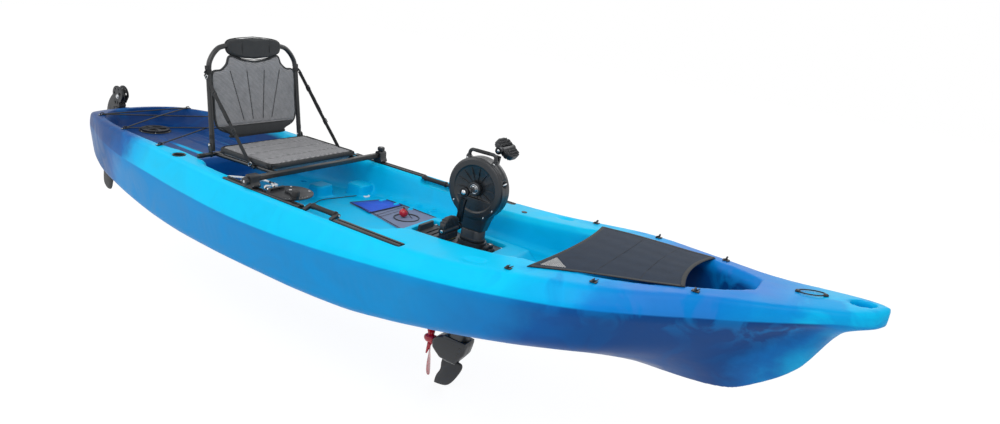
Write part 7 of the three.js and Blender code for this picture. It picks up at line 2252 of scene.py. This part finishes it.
place(makeBall(), "hull", "toggle_ball")
tail = tube("toggle_cord", [(-0.012, 0.092, 0.2693), (-0.0135, 0.0905, 0.2775), (-0.003, 0.086, 0.2755),
    (0.012, 0.09, 0.262), (0.024, 0.093, 0.2455), (0.034, 0.094, 0.2405)], 0.0017, 12, 10)
knot = egg("knot", (-0.0122, 0.0915, 0.2735), (0.0042, 0.0042, 0.0038))
tailLook = joined("toggle_cord", [paint(tail, braid), paint(knot, braid)])
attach(tailLook, "hull")
print("stage: mat and ball")


# Small fittings on the deck and in the cockpit
rodHolders = {"x": -0.885, "y": 0.33, "r": 0.0254}


def makeFittings():
    parts = []
    for side in sides.values():  # a black liner in the mouth of each rod holder
        x, y = rodHolders["x"], side * rodHolders["y"]
        z = deckZ(x, y)
        r = rodHolders["r"]
        lip = turned("lip", "z", [(r - 0.0045, z - 0.02), (r - 0.0002, z - 0.006), (r + 0.0006, z - 0.0008),
            (r - 0.0004, z + 0.0001), (r - 0.0026, z - 0.0004), (r - 0.0045, z - 0.004),
            (r - 0.0045, z - 0.02)], (x, y), 56)
        parts.append(dressed(lip, nylon))
    z = floorZ(-0.349)
    disc = turned("disc", "z", [(0, z + 0.0035), (0.008, z + 0.0035), (0.0092, z + 0.005),
        (0.0165, z + 0.005), (0.0185, z + 0.003), (0.0185, z - 0.002), (0, z - 0.002)], (-0.3487, 0.2327), 44)
    parts.append(dressed(disc, sleeveWhite))
    cord = [(-0.3954, -0.0518, floorZ(-0.4) + 0.003), (-0.43, 0.04, floorZ(-0.43) + 0.004),
        (-0.409, 0.118, floorZ(-0.409) + 0.003), (-0.385, 0.18, floorZ(-0.385) + 0.004),
        (-0.3487, 0.2327, floorZ(-0.349) + 0.0065)]
    parts.append(paint(tube("leash", cord, 0.0017, 10, 10), braid))
    path = [(1.53 + 0.036 * math.cos(a), 0.02 * math.sin(a)) for a in np.linspace(0, 2 * math.pi, 33)]
    parts.append(paint(tube("deck_loop", [(x, y, deckZ(x, y) + 0.0042) for x, y in path], 0.0019, 10, 1),
        braid))
    for x in (1.494, 1.566):
        foot = turned("foot", "z", [(0, deckZ(x, 0) - 0.001), (0.0075, deckZ(x, 0) - 0.001),
            (0.0068, deckZ(x, 0) + 0.0052), (0.0035, deckZ(x, 0) + 0.0068), (0, deckZ(x, 0) + 0.0068)],
            (x, 0), 28)
        parts.append(dressed(foot, nylon))
    x, y = 0.45, 0.268
    plug = turned("plug", "z", [(0, deckZ(x, y) - 0.002), (0.0115, deckZ(x, y) - 0.002),
        (0.011, deckZ(x, y) + 0.0022), (0.0065, deckZ(x, y) + 0.003), (0, deckZ(x, y) + 0.0022)], (x, y), 32)
    parts.append(dressed(plug, nylon))
    return parts


fittings = joined("deck_fittings", makeFittings())
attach(fittings, "hull")
print("stage: fittings")


# What stays as it was exported gets a finish of its own
metals = {"ring_gear": steel, "upper_pinion": steel, "lower_pinion": steel, "propeller_gear": bronze,
    "drive_shaft": steel, "propeller_shaft": steel, "shaft_bearing": bronze, "propeller_bearing": bronze}
for name, material in metals.items():
    for holder in (nodes[name], *nodes[name].children_recursive):
        for materialSlot in holder.material_slots:
            materialSlot.material = material
